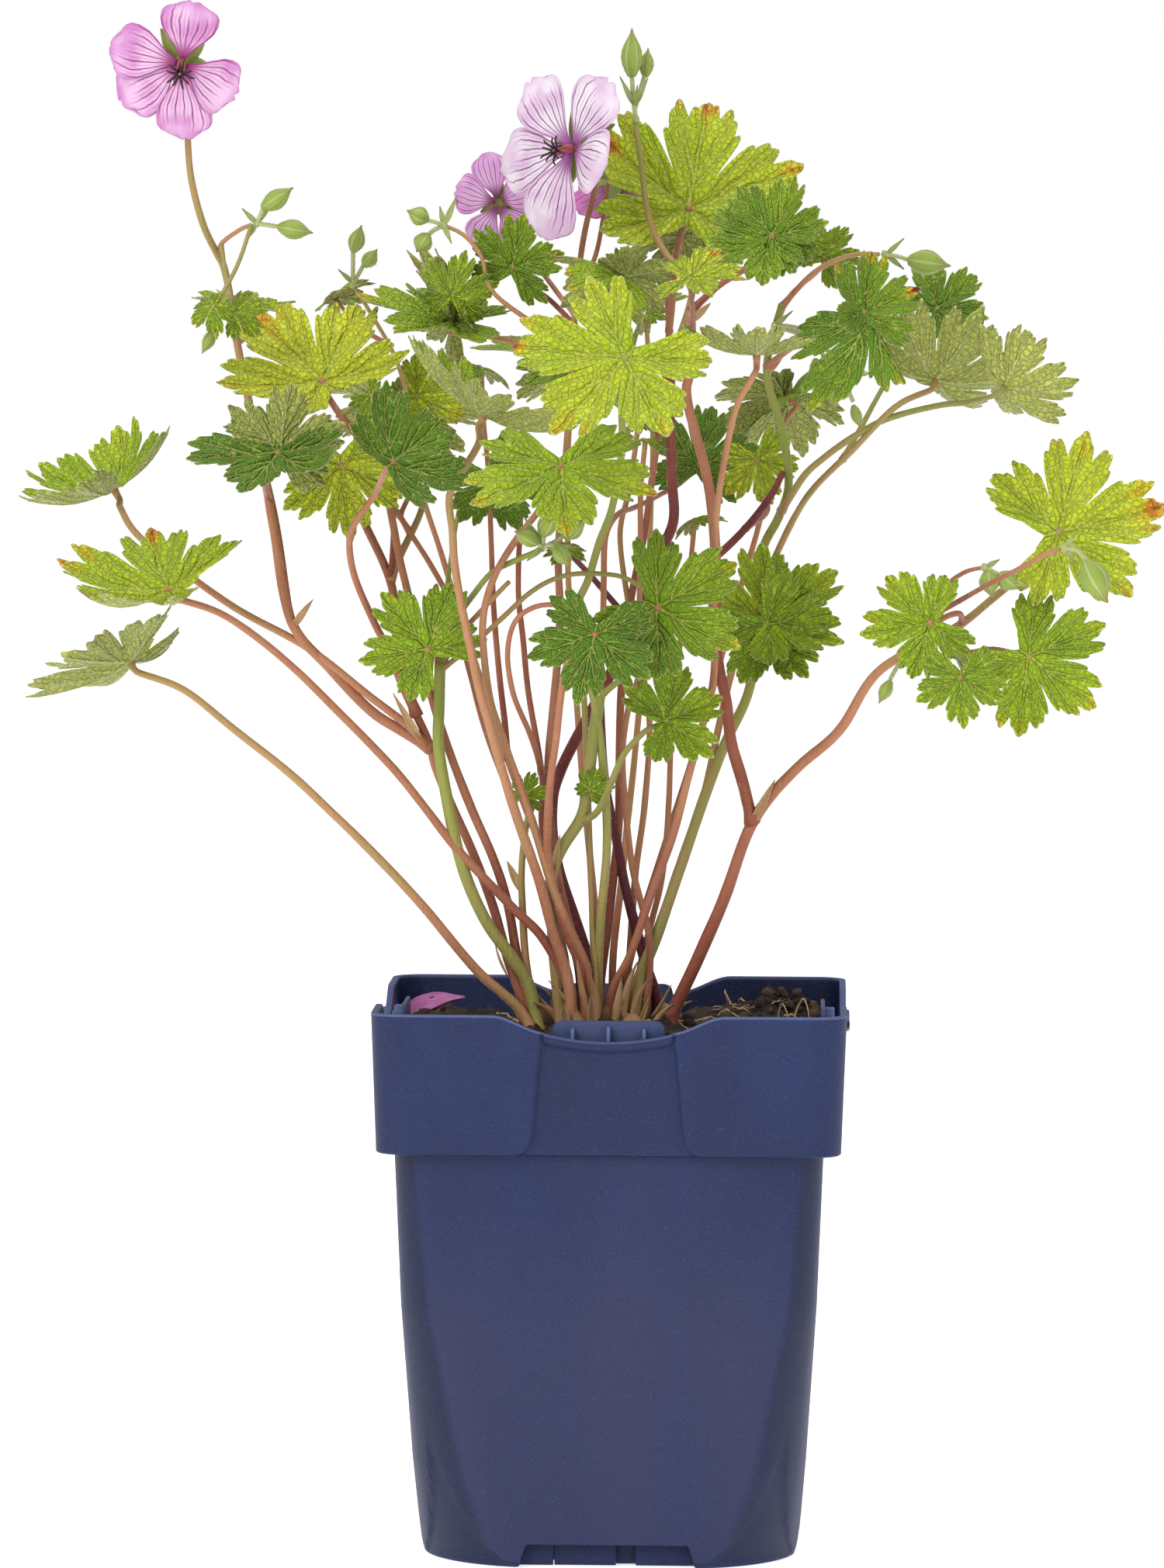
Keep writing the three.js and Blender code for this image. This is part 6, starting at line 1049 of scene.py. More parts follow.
def rim_height(x):
    """The rim of a wall: a smile in the middle, then up a soft S to the corner panels."""
    a = np.abs(x)
    smile = PANEL_TOP - 2.3 * (1 - np.clip(a / 17.8, 0, 1) ** 2)
    return np.where(a < 17.8, smile, PANEL_TOP + (RIM - PANEL_TOP) * step(a, 15.5, 32.0) ** 1.15)


def panel_edge(z):
    """Half the gap between the corner panels of a wall, at height z."""
    heights = [112, 115.0, 116.2, 118.0, 121.0, 150.5, 155, 160]
    return np.interp(z, heights, [27, 25.6, 22.8, 21.2, 20.4, 17.8, 25, 25])


def flat_edge(z):
    """Half the width of a wall's flat panel, which narrows in a curve towards the foot."""
    heights = [0, 6, 13, 26, 36, 47, 59, 72, 90, 106, 116]
    return np.interp(z, heights, [26.5, 34.0, 39.4, 45.7, 49.4, 52.3, 54.4, 55.8, 57.0, 57.7, 58.2])


def pot_profile():
    """The levels of the pot's wall from the middle of the floor's underside to the middle of its upper side:
    [height, side, corner radius, share of rim warp, share of collar relief, notched], and the number of them
    below the rim."""
    rows = [(0.35 if f == 1 else 0, 78.6 * f, 24 * f, 0, 0, 0) for f in (.004, .3, .6, .85, .97, 1.0)]
    rows += [(z, 78.6 + .98 * z, 24 + .37 * z, 0, 0, 0) for z in (.6, 1.5, 3, 5, 6.8)]
    rows += [(7.4, 86.2, 26.8, 0, 0, 0), (7.4, 93.5, 28.8, 0, 0, 0), (7.1, 100.9, 30.9, 0, 0, 1)]
    rows += [(z, 99.8 + .24 * z, 31.8 - .1 * z, 0, 0, 1) for z in (6.2, 4.5, 2.5, 1.0, .4)]
    rows += [(.12, 100.3, 32.0, 0, 0, 1), (0, 101.2, 32.5, 0, 0, 1), (0, 103.0, 33.6, 0, 0, 1),
             (.12, 103.7, 33.9, 0, 0, 1)]
    for z in (.4, 1, 2, 3.2, 4.6, 6, 7.2, 8.5, 10, 12, 16, 20, 24, 28, 34, 42, 50, 58, 66, 72, 80, 88, 96, 103,
              109, 113, 114.6, 115.0):
        rows.append((z, *level(z, POT_OUTER), 0, 0, int(z < 9)))
    s, r = level(115.2, POT_OUTER)
    rows.append((115.25, s + .4, r, 0, 0, 0))
    for f, relief in ((.25, 0), (.6, 0), (.9, 1)):
        rows.append((115.3, s + (COLLAR_SIDE - s) * f, r + (8 - r) * f, 0, relief, 0))
    for w in (0, .012, .03, .055, .085, .12, .17, .23, .3, .4, .5, .6, .7, .78, .84, .88, .91, .935, .955, .97,
              .98, .988, .994, .998):
        height, side = COLLAR_FOOT + (RIM - COLLAR_FOOT) * w, COLLAR_SIDE + (RIM_SIDE - COLLAR_SIDE) * w
        rows.append((height, side, 8 + .5 * w, 1, 1, 0))
    top = len(rows)
    rows += [(RIM, RIM_SIDE - .5, 8.4, 1, .8, 0), (RIM, RIM_SIDE - 1.6, 8, 1, .3, 0),
             (RIM, RIM_SIDE - 3.0, 7.4, 1, 0, 0)]
    for w in (.993, .97, .93, .86, .76, .64, .5, .35, .2, .1):
        rows.append((LEDGE + (RIM - LEDGE) * w, 122.4 + 4.5 * w, 7.1, 1, 0, 0))
    rows += [(119.2, 122.4, 7, 0, 0, 0), (118.6, 121.8, 7, 0, 0, 0), (118.2, 118, 7.5, 0, 0, 0),
             (117.6, 114.6, 8, 0, 0, 0)]
    rows += [(z, *level(z, POT_INNER), 0, 0, 0) for z in (116.6, 110, 96, 72, 50, 28, 16, 10.4)]
    rows += [(FLOOR_TOP, side, r, 0, 0, 0) for side, r in ((97, 30), (60, 20), (.3, .1))]
    return rows, top


def pot_shell(piece):
    """One closed surface: the profile's levels carried round a square with rounded corners. The rim dips and the
    foot's notches warp the heights, and the corner panels and lips push the collar outwards."""
    half = np.concatenate([np.linspace(0, .24, 13), np.linspace(.262, .43, 18), np.linspace(.445, 1, 24)])
    t = np.concatenate([-half[:0:-1], half])[:-1]
    rows, top = pot_profile()
    z, side, r, warp, relief, notched = [np.array(c, float)[:, None] for c in zip(*rows)]
    x, y, ox, oy = wall(t[None, :], side, r)
    ax = np.abs(x)
    z = z + np.zeros_like(x)
    low = rim_height(x)
    share = np.clip((z - COLLAR_FOOT) / (RIM - COLLAR_FOOT), 0, 1)
    z = np.where(warp > 0, COLLAR_FOOT + (low - COLLAR_FOOT) * share, z)
    panel = np.where(np.abs(oy) > 0.999, step(ax - panel_edge(z), -.25, .3), 1.0)
    lip = step(low - z, 3.3, 2.2) * step(17.9 - ax, -.1, .5) * (1.0 - .35 * step(low - z, .5, 0))
    push = relief * (1 - panel) * (2.75 * lip - 1.75)
    notch = 6.6 - 7.6 * np.clip((ax - 22.6) / 1.9, 0, 1)
    z = np.where(notched > 0, np.maximum(z, notch), z)
    outside = (z > 0.2) & (side > 100) & (z < 115.1) & (np.arange(len(z))[:, None] < top)
    flat = step(flat_edge(z) - ax, -.45, .45)
    on_wall = outside * step(z, 0, 2.5)
    push = push + on_wall * (.6 * flat - .3)
    front = np.stack([x + push * ox, y + push * oy, z], -1)
    co = np.concatenate([turned(front, c, s) for c, s in QUARTER_TURNS], 1)
    n, m = co.shape[:2]
    edge, inner = np.zeros((n, m)), np.zeros((n, m))
    # Rows at the rim's top take a painted highlight.
    edge[top - 3:top + 4] = 1
    inner[top + 3:] = 1
    # The collar's middle between its corner panels takes painted shade.
    recess_shade = np.tile(relief * (1 - panel), (1, 4))
    # Flat panels take a painted reflection, and the rounded corners of the walls take painted shade.
    flatness = np.tile(on_wall * (.4 + .6 * flat * step(-np.abs(ox), -.62, -.2)), (1, 4))
    tone = np.stack([edge, inner, recess_shade, flatness], -1).reshape(-1, 4)
    piece.add(np.concatenate([co.reshape(-1, 3), [[0, 0, 0], [0, 0, FLOOR_TOP]]]), grid(n, m, True)[:, ::-1],
              caps(n, m), np.concatenate([tone, [[0, 0, 0, 0], [0, 1, 0, 0]]]))


FOOT_PANELS_TO = 7.0
# Plates on each wall: x from and to, y from and to, z from and to, edge radius, tone, corner radius, stood. In a
# tone, the first part paints a highlight, the second adds the inside's dust, and the third paints shade.
POT_PLATES = [
    (-15.5, 15.5, -59.2, -58.0, 115.4, 152.2, .4, (.5, .6, 0, 0), 2.6, True),
    (-25.5, -14.9, -47.8, -46.8, .15, FOOT_PANELS_TO, .3, PLAIN, .3, False),
    (-14.6, 2.4, -47.4, -46.4, .15, FOOT_PANELS_TO, .3, PLAIN, .3, False),
    (7.8, 25.5, -47.4, -46.4, .15, FOOT_PANELS_TO, .3, PLAIN, .3, False),
    (1, 9, -44.4, -43.6, .15, FOOT_PANELS_TO, .3, (0, 1, 1, 0), .3, False),
    (-15.5, 15.5, -61.9, -58.4, 115.6, 117, .3, (0, 1, 0, 0), .3, False),
    (-10.3, -9.3, -61.9, -58.6, 115.6, 150.2, .35, (1.5, 0, 0, 0), .35, False),
    (-.5, .5, -61.9, -58.6, 115.6, 150.8, .35, (1.5, 0, 0, 0), .35, False),
    (9.3, 10.3, -61.9, -58.6, 115.6, 150.2, .35, (1.5, 0, 0, 0), .35, False),
]


def slab(piece, turn, x0, x1, y0, y1, z0, z1, r, tone, corner, stood):
    """A plate with rounded edges: level sets of a box whose sides draw in by r - sqrt(r^2 - (r - h)^2) near its
    top. Its four corners have a radius of their own. A stood plate has y and z changed over."""
    if stood:
        y0, y1, z0, z1 = z0, z1, y0, y1
    g = np.linspace(0, np.pi / 2, 4)
    h = np.concatenate([r - r * np.cos(g), (z1 - z0) - r + r * np.sin(g)])[:, None]
    inset = np.concatenate([r - r * np.sin(g), r - r * np.cos(g)])[:, None]
    ring = []
    for cx, cy, a0 in ((1, -1, -90), (1, 1, 0), (-1, 1, 90), (-1, -1, 180)):
        a = np.radians(a0 + np.linspace(0, 90, 4))
        ring.append(np.stack([cx * np.ones(4), cy * np.ones(4), np.cos(a), np.sin(a)], 1))
    cx, cy, nx, ny = np.concatenate(ring).T
    hx, hy, mx, my = (x1 - x0) / 2 - corner, (y1 - y0) / 2 - corner, (x0 + x1) / 2, (y0 + y1) / 2
    x, y = mx + cx * hx + nx * (corner - inset), my + cy * hy + ny * (corner - inset)
    co = np.stack([x, y, z0 + h + 0 * x], -1)
    rings, sides = x.shape
    co = np.concatenate([co.reshape(-1, 3), [[mx, my, z0], [mx, my, z1]]])
    way = 1 if stood else -1
    co = turned(co[:, [0, 2, 1]] if stood else co, math.cos(turn), math.sin(turn))
    piece.add(co, grid(rings, sides, True)[:, ::way], caps(rings, sides)[:, ::-way], tone)


# ---------------------------------------------------------------- compost
# Heaps on the compost: [x, y, height, spread].
HEAPS = [(CROWN[0], CROWN[1], 8, 900), (36, 22, 7, 420), (49, 42, 7, 170), (46, -30, 4, 260), (-54, 40, 5, 500)]
# Clumps: [size, height, seed].
CLUMPS = [(7.5, 2.4, 1), (3.4, 1.5, 2), (1.5, .7, 3)]
COMPOST_HALF, CORNER_ROUND, COMPOST_FOOT, POCKET_SOIL = 60.7, 7, 119.6, 134


def soil_height(x, y):
    """Mounds round the crown and at the corners, rolling by sin x cos y, then clumps: 1 - distance to the nearest
    random point, in three sizes, and noise."""
    z = 140 + 1.3 * np.sin(.31 * x + .5) * np.cos(.27 * y)
    for hx, hy, high, wide in HEAPS:
        z = z + high * np.exp(-((x - hx) ** 2 + (y - hy) ** 2) / wide)
    p = np.stack([x, y, 0 * x], -1)
    warp = 1.5 * waves(p, 3.1, 3)
    for size, high, seed in CLUMPS:
        z = z + high * (np.clip(1 - cells(x + warp, y - warp, size, seed), -.2, 1) - .45)
    return z + 1.1 * waves(p, 5.5, 6) + .35 * waves(p, 1.1, 8)


def compost_top(piece, n=140):
    """The compost's height on a square grid, turned down at the wall, with a plain skirt below."""
    u = np.linspace(-1, 1, n) * COMPOST_HALF
    x, y = np.meshgrid(u, u, indexing="ij")
    inner = COMPOST_HALF - CORNER_ROUND
    past_x, past_y = np.clip(np.abs(x) - inner, 0, None), np.clip(np.abs(y) - inner, 0, None)
    over = np.clip(np.hypot(past_x, past_y) / CORNER_ROUND, 1, None)
    z = soil_height(x, y) - 1.6 * step(np.maximum(np.abs(x), np.abs(y)) / COMPOST_HALF, .97, 1.0)
    x2 = np.where(past_x > 0, np.sign(x) * (inner + past_x / over), x)
    y2 = np.where(past_y > 0, np.sign(y) * (inner + past_y / over), y)
    ax, ay = np.abs(x2), np.abs(y2)
    pocket = (ax < 16.8) & (ay > 57.0) | (ay < 16.8) & (ax > 57.0)
    z = np.where(pocket, np.minimum(z, POCKET_SOIL), z)
    co = np.stack([x2, y2, z], -1).reshape(-1, 3)
    loop = border(n, n)
    k = len(co) + np.arange(len(loop))
    nxt = np.roll(k, -1)
    skirt = np.stack([loop, k, nxt, np.roll(loop, -1)], 1)
    tris = np.stack([np.full(len(loop), len(co) + len(loop)), nxt, k], 1)
    p = np.stack([x, y, z], -1).reshape(-1, 3)
    damp = np.clip(.5 + .5 * waves(p, 9, 12) + .3 * waves(p, 2.3, 13), 0, 1)
    tone = np.stack([damp, hashed(np.arange(n * n)), 0 * damp, 0 * damp], 1)
    low = co[loop] * [1, 1, 0] + [0, 0, COMPOST_FOOT]
    piece.add(np.concatenate([co, low, [[0, 0, COMPOST_FOOT]]]), np.concatenate([grid(n, n), skirt]), tris,
              np.concatenate([tone, np.zeros((len(loop) + 1, 4))]))


def compost_root(piece):
    """The root ball below: levels of the pot's inside, a little smaller."""
    levels = [(1.9, 74.6, 22), (9.6, 82.2, 25), (9.9, 99.6, 31.5), (28, 104, 21.5), (72, 109.6, 11.5),
              (COMPOST_FOOT, 113.2, 8)]
    rings = []
    for z, side, r in levels:
        x, y, _, _ = wall(np.linspace(-1, 1, 25)[:-1], side, r)
        front = np.stack([x, y, np.full_like(x, z)], 1)
        rings += [turned(front, c, s) for c, s in QUARTER_TURNS]
    co = np.concatenate(rings + [[[0, 0, levels[0][0]], [0, 0, COMPOST_FOOT]]])
    piece.add(co, grid(len(levels), 96, True)[:, ::-1], caps(len(levels), 96), (.3, .5, 0, 0))


def clods(piece, count):
    """Crumbs of compost: an eight-by-five ball, each with its own lumps, size and place on the compost."""
    k = np.arange(count)
    x, y = (hashed(k * 3 + 1) - .5) * 116, (hashed(k * 3 + 2) - .5) * 116
    keep = (np.maximum(np.abs(x), np.abs(y)) < 56.5)
    near = hashed(k * 5) < .45
    x = np.where(near, 30 + 26 * hashed(k * 7), x)
    y = np.where(near, -40 + 92 * hashed(k * 11) ** .6, y)
    k, x, y = k[keep], x[keep], y[keep]
    heap = np.exp(-((x - 49) ** 2 + (y - 38) ** 2) / 120) * 2.5 * hashed(k * 19)
    larger = .3 * np.exp(-((x - 44) ** 2 + (y - 34) ** 2) / 300) * hashed(k * 23)
    size = .5 + 1.7 * hashed(k * 13) ** 2.2 + larger
    th, ph = np.linspace(0, 2 * np.pi, 8, endpoint=False), np.linspace(.12, np.pi - .12, 5)[:, None]
    ball = np.stack([np.sin(ph) * np.cos(th), np.sin(ph) * np.sin(th), np.cos(ph) + 0 * th], -1).reshape(-1, 3)
    ball = np.concatenate([ball, [[0, 0, 1], [0, 0, -1]]])
    lump = 1 + .35 * waves(ball[None] + k[:, None, None] * 3.3, .9, 5)
    middle = np.stack([x, y, soil_height(x, y) + heap], 1)[:, None]
    co = middle + ball * (size[:, None] * lump)[..., None] * [1, 1, .8]
    shift = (np.arange(len(k)) * len(ball))[:, None, None]
    tone = np.repeat(np.stack([hashed(k), hashed(k + 1), 0 * size, 0 * size], 1), len(ball), 0)
    quads, tris = grid(5, 8, True) + shift, caps(5, 8)[:, [0, 2, 1]] + shift
    piece.add(co.reshape(-1, 3), quads.reshape(-1, 4), tris.reshape(-1, 3), tone)


def litter(straw, roots):
    """Straw as flat twisted ribbons and roots as thin tubes, laid along the compost's height."""
    for i in range(26):
        g, d = hashed(i * 3) * 6.28, hashed(i * 5 + 1)
        cx, cy = (hashed(i * 9) - .5) * 104, (hashed(i * 11) - .5) * 104
        if i < 12:
            cx, cy = 34 + 22 * d, -44 + 50 * hashed(i + 50)
        length = 5 + 9 * hashed(i * 7)
        u, v = np.meshgrid(np.linspace(-.5, .5, 9), np.linspace(-1, 1, 4), indexing="ij")
        x = np.clip(cx + length * u * math.cos(g), -56, 56)
        y = np.clip(cy + length * u * math.sin(g) + 2 * u * u, -56, 56)
        z = soil_height(x, y).max() * .35 + soil_height(x, y) * .65 + .5
        w = (.35 + .5 * hashed(i * 13)) * np.sqrt(1 - (1.96 * u) ** 2)
        side = np.array([-math.sin(g), math.cos(g), .5 * math.sin(i)])
        co = np.stack([x, y, z], -1) + (w * v)[..., None] * side
        straw.sheet(co, u, v, .16, (.3 + .6 * hashed(i), .5, 1, 0), mapped=False)
    for i in range(30):
        cx, cy = (hashed(i * 9) - .5) * 100, (hashed(i * 11 + 4) - .5) * 100
        if i < 16:
            cx, cy = 20 + 32 * hashed(i * 5), -20 + 68 * hashed(i * 3)
        s = np.linspace(0, 1, 16)
        g = hashed(i) * 6.28 + .9 * np.sin(2.4 * s + i)
        x = np.clip(cx + np.cumsum(np.cos(g)) * .75, -57, 57)
        y = np.clip(cy + np.cumsum(np.sin(g)) * .75, -57, 57)
        arch = (1.6 + 9 * (i % 3 == 0)) * hashed(i * 17) * np.sin(np.pi * s ** 1.3)
        tube(roots, np.stack([x, y, soil_height(x, y) + .35 + arch], 1), np.linspace(.34, .14, 16), 6)


# ---------------------------------------------------------------- materials
def linear(c):
    """A colour of 0 to 255, or of 0 to 1, as the linear one that a socket takes."""
    c = np.array(c[:3], float)
    if c.max() > 1:
        c = c / 255
    return (*np.where(c <= .04045, c / 12.92, ((c + .055) / 1.055) ** 2.4), 1.0)


class Nodes:
    """Short hand for making and joining nodes in a tree."""

    def __init__(self, tree):
        self.tree = tree

    def put(self, socket, value):
        if isinstance(value, bpy.types.NodeSocket):
            self.tree.links.new(value, socket)
        else:
            socket.default_value = value

    def node(self, kind, *values, inputs=None, **props):
        node = self.tree.nodes.new("ShaderNode" + kind)
        for key, value in props.items():
            setattr(node, key, value)
        for key, value in [*enumerate(values), *(inputs or {}).items()]:
            self.put(node.inputs[key], value)
        return node.outputs

    def add(self, kind, *values, out=0, **props):
        return self.node(kind, *values, **props)[out]

    def math(self, op, *values, clamp=False):
        return self.add("Math", *values, operation=op, use_clamp=clamp)

    def times(self, a, b, clamp=False):
        return self.math("MULTIPLY", a, b, clamp=clamp)

    def plus(self, a, b):
        return self.math("ADD", a, b)

    def line(self, value, slope, start):
        """value * slope + start"""
        return self.math("MULTIPLY_ADD", value, slope, start)

    def vec(self, op, *values, out=0):
        return self.add("VectorMath", *values, operation=op, out=out)

    def xyz(self, vector):
        return self.node("SeparateXYZ", vector)

    def blend(self, factor, a, b, mode="MIX"):
        inputs = {0: factor, 6: a, 7: b}
        return self.add("Mix", out=2, data_type="RGBA", blend_type=mode, clamp_factor=True, inputs=inputs)

    def coat(self, base, mask, share, colour):
        """The colour laid over the base, by a share of the mask."""
        return self.blend(self.times(mask, share), base, linear(colour))

    def tint(self, base, factor, by):
        """The base multiplied by a colour, by the factor."""
        return self.blend(factor, base, self.blend(1.0, base, (*by, 1), "MULTIPLY"))

    def span(self, value, a, b, c=0.0, d=1.0):
        """A smooth step from c at a to d at b."""
        return self.add("MapRange", value, a, b, c, d, interpolation_type="SMOOTHSTEP")

    def ramp(self, value, stops):
        node = self.tree.nodes.new("ShaderNodeValToRGB")
        while len(node.color_ramp.elements) < len(stops):
            node.color_ramp.elements.new(0.5)
        for e, (at, c) in zip(node.color_ramp.elements, stops):
            e.position, e.color = at, linear(c)
        self.put(node.inputs[0], value)
        return node.outputs[0]

    def noise(self, vector, scale, detail=2.0, rough=0.5):
        inputs = {"Vector": vector, "Scale": scale, "Detail": detail, "Roughness": rough}
        return self.add("TexNoise", inputs=inputs)

    def drawn(self, place, ways, scale, detail=2.0):
        """Noise on a place that is stretched by a factor along each axis."""
        return self.noise(self.vec("MULTIPLY", place, ways), scale, detail)

    def group(self, tree, **values):
        return self.node("Group", node_tree=tree, inputs=values)


def effect(name, inputs, outputs):
    """An empty node group with the given named sockets. Returns its tree, its nodes' maker, and its ends."""
    tree = bpy.data.node_groups.new(name, "ShaderNodeTree")
    for label, value in inputs.items():
        kind = "NodeSocketVector" if value is None else "NodeSocketFloat"
        socket = tree.interface.new_socket(label, in_out="INPUT", socket_type=kind)
        if value is not None:
            socket.default_value = value
    for label in outputs:
        tree.interface.new_socket(label, in_out="OUTPUT", socket_type="NodeSocketFloat")
    return tree, Nodes(tree), tree.nodes.new("NodeGroupInput").outputs, tree.nodes.new("NodeGroupOutput").inputs


def vein_effect():
    """Veins of a palmate blade on the leaf-plane UV map: the place is folded into half a lobe, its distance to
    each vein gives lines that thin out towards their ends, and a cell pattern gives the net between them."""
    inputs = {"UV": None, "Width": 1.0, "Net scale": 540.0, "Place": None}
    tree, n, given, result = effect("leaf_veins", inputs, ("Veins", "Net"))
    shift = n.line(n.noise(given["UV"], 9.0), 0.030, -0.015)
    p = n.vec("ADD", n.vec("SUBTRACT", given["UV"], (0.5, 0.5, 0)), n.add("CombineXYZ", shift, shift, 0.0))
    p = n.vec("MULTIPLY", p, (2.5, 2.5, 0))
    x, y, _ = n.xyz(p)
    rho = n.vec("LENGTH", p, out=1)
    fold = n.math("WRAP", n.math("ARCTAN2", y, x), math.pi / 6, -math.pi / 6)
    across = n.times(rho, n.math("ABSOLUTE", n.math("SINE", fold)))
    q = n.add("CombineXYZ", across, n.times(rho, n.math("COSINE", fold)), 0.0)
    lines = 0.0
    for foot, end, strength in VEINS:
        f, e = np.array([*foot, 0.0]), np.array([*end, 0.0])
        d = e - f
        rel = n.vec("SUBTRACT", q, tuple(f))
        s = n.times(n.vec("DOT_PRODUCT", rel, tuple(d), out=1), float(1 / (d @ d)), clamp=True)
        reached = n.add("VectorMath", operation="SCALE", inputs={0: tuple(d), "Scale": s})
        far = n.vec("LENGTH", n.vec("SUBTRACT", rel, reached), out=1)
        size = .5 + .5 * strength
        wide = n.times(n.line(s, -0.007 * size, 0.013 * size), given["Width"])
        lines = n.math("MAXIMUM", lines, n.times(n.span(far, n.times(wide, 0.25), wide, 1.0, 0.0), strength))
    n.put(result["Veins"], lines)
    cell = {"Vector": given["Place"], "Scale": given["Net scale"]}
    net = n.add("TexVoronoi", feature="DISTANCE_TO_EDGE", inputs=cell)
    n.put(result["Net"], n.span(net, 0.015, 0.16, 1.0, 0.0))
    return tree


def mottle_effect():
    """Two sizes of noise in one value from 0 to 1."""
    tree, n, given, result = effect("mottle", {"Place": None, "Coarse": 60.0, "Fine": 400.0}, ["Value"])
    a = n.noise(given["Place"], given["Coarse"])
    b = n.noise(given["Place"], given["Fine"], 3.0)
    n.put(result["Value"], n.plus(n.times(a, 0.65), n.times(b, 0.35)))
    return tree


# The sets of a petal's veins: [times the count, start, share of the reach, width, strength].
PETAL_VEINS = ((1.0, -0.2, 1.0, 0.13, 1.0), (2.0, 0.26, 0.92, 0.12, 0.42), (5.0, 0.40, 1.0, 0.2, 0.12))


def petal_effect():
    """Veins that fan out from a petal's claw: thin stripes of the across coordinate, each fading at its own
    length, and fainter ones between them from the middle on."""
    inputs = {"UV": None, "Count": 4.0, "Place": None, "Reach": 0.8}
    tree, n, given, result = effect("petal_veins", inputs, ["Veins"])
    u, v, _ = n.xyz(given["UV"])
    bend = n.line(n.noise(given["Place"], 210.0), 0.16, -0.08)
    w = n.plus(n.math("SUBTRACT", v, 0.5), n.times(bend, u))
    veins = 0.0
    for times, start, share, width, strength in PETAL_VEINS:
        f = n.line(w, n.times(given["Count"], 2.0 * times), 0.5 + 40)
        own = n.add("TexWhiteNoise", noise_dimensions="1D", inputs={"W": n.plus(n.math("FLOOR", f), times)})
        d = n.math("ABSOLUTE", n.math("SUBTRACT", n.math("FRACT", f), 0.5))
        stripe = n.span(d, 0.01, n.line(u, -0.10, width + 0.07), 1.0, 0.0)
        stop = n.times(n.line(own, 0.4, 0.72), n.times(given["Reach"], share))
        fade = n.times(n.span(u, start, start + 0.2), n.span(u, stop, n.times(stop, 0.62)))
        veins = n.math("MAXIMUM", veins, n.times(n.times(stripe, fade), strength))
    n.put(result["Veins"], veins)
    return tree


def material(name):
    """A material with its node maker, its shader, the place in the piece and the four parts of the tone."""
    m = bpy.data.materials.new(name)
    m.use_nodes = True
    m.node_tree.nodes.clear()
    n = Nodes(m.node_tree)
    shader = m.node_tree.nodes.new("ShaderNodeBsdfPrincipled")
    n.node("OutputMaterial", shader.outputs[0])
    tone = n.node("Attribute", attribute_name="tone")
    red, green, blue = n.node("SeparateColor", tone["Color"])
    return m, n, shader, n.add("TexCoord", out=3), (red, green, blue, tone["Alpha"])


def finish(n, shader, base, rough, specular=0.5, sheen=0.0, sheen_rough=0.5):
    """The base colour, roughness, specular and sheen of a shader."""
    n.put(shader.inputs["Base Color"], base)
    n.put(shader.inputs["Roughness"], rough)
    shader.inputs["Specular IOR Level"].default_value = specular
    shader.inputs["Sheen Weight"].default_value = sheen
    shader.inputs["Sheen Roughness"].default_value = sheen_rough


def bump(n, shader, height, strength, distance):
    relief = n.add("Bump", inputs={"Strength": strength, "Distance": distance, "Height": height})
    n.put(shader.inputs["Normal"], relief)


def leaf_material(p, veins, mottle):
    m, n, shader, place, (yellow, burn, under, shut) = material("blade_green")
    uv = n.add("UVMap")
    lines, net = n.group(veins, UV=uv, Place=place, Width=1.35)
    broad = n.group(veins, UV=uv, Place=place, Width=3.4)[0]
    grain = n.group(mottle, Place=place, Coarse=70.0, Fine=420.0)[0]
    greens = [(0.0, p.leaf_dark), (0.34, p.leaf_mid), (0.66, p.leaf_light), (1.0, p.leaf_yellow)]
    base = n.ramp(n.plus(yellow, n.line(grain, 0.34, -0.15)), greens)
    # Painted shade: the base is darkened in a band along both sides of each vein, and a little inside the net's
    # cells, where shade falls between the veins.
    vein_crease_shade = n.times(n.math("SUBTRACT", broad, lines), 0.36, clamp=True)
    cells_shade = n.times(n.math("SUBTRACT", 1.0, net), 0.02)
    deep = n.tint(base, n.math("MAXIMUM", vein_crease_shade, cells_shade), (0.50, 0.58, 0.34))
    vein_colour = n.blend(0.72, base, linear(p.leaf_vein))
    top = n.blend(n.times(lines, 0.85), deep, vein_colour)
    top = n.blend(n.times(n.math("POWER", net, 1.6), 0.34), top, vein_colour)
    patch = n.span(n.noise(place, 160.0, 3.0), 0.35, 0.62)
    tip = n.times(burn, n.plus(patch, 0.35), clamp=True)
    top = n.coat(top, n.span(tip, 0.06, 0.34), 0.75, (206, 184, 40))
    top = n.coat(top, n.span(tip, 0.38, 0.66), 0.85, (206, 116, 34))
    top = n.coat(top, n.span(tip, 0.68, 0.95), 0.9, (104, 50, 26))
    spots = n.times(n.span(n.noise(place, 330.0, 1.0), 0.72, 0.78), n.span(yellow, 0.8, 0.95))
    top = n.coat(top, spots, 0.45, (138, 84, 30))
    back = n.blend(n.line(yellow, 0.8, 0.1), linear(p.leaf_under), linear(p.leaf_under_light))
    back = n.tint(back, n.times(grain, 0.35), (0.74, 0.78, 0.58))
    # Painted shade along both sides of the veins on the underside too.
    back = n.tint(back, n.times(vein_crease_shade, 0.35), (0.66, 0.7, 0.5))
    back = n.coat(back, lines, 0.7, (196, 200, 138))
    back = n.coat(back, net, 0.2, (178, 184, 120))
    back = n.coat(back, n.span(tip, 0.3, 0.8), 0.7, (150, 104, 58))
    whole = n.coat(n.blend(under, top, back), n.span(shut, 0.972, 1.0), 0.45, (214, 218, 150))
    finish(n, shader, whole, n.line(grain, 0.22, 0.36), 0.22, 0.03)
    sunk = n.plus(n.times(n.math("MAXIMUM", lines, n.times(broad, 0.7)), -1.0), n.times(net, -0.5))
    height = n.plus(sunk, n.times(grain, 0.2))
    bump(n, shader, n.times(height, n.line(under, -2.0, 1.0)), 1.0, 0.0011)
    return m


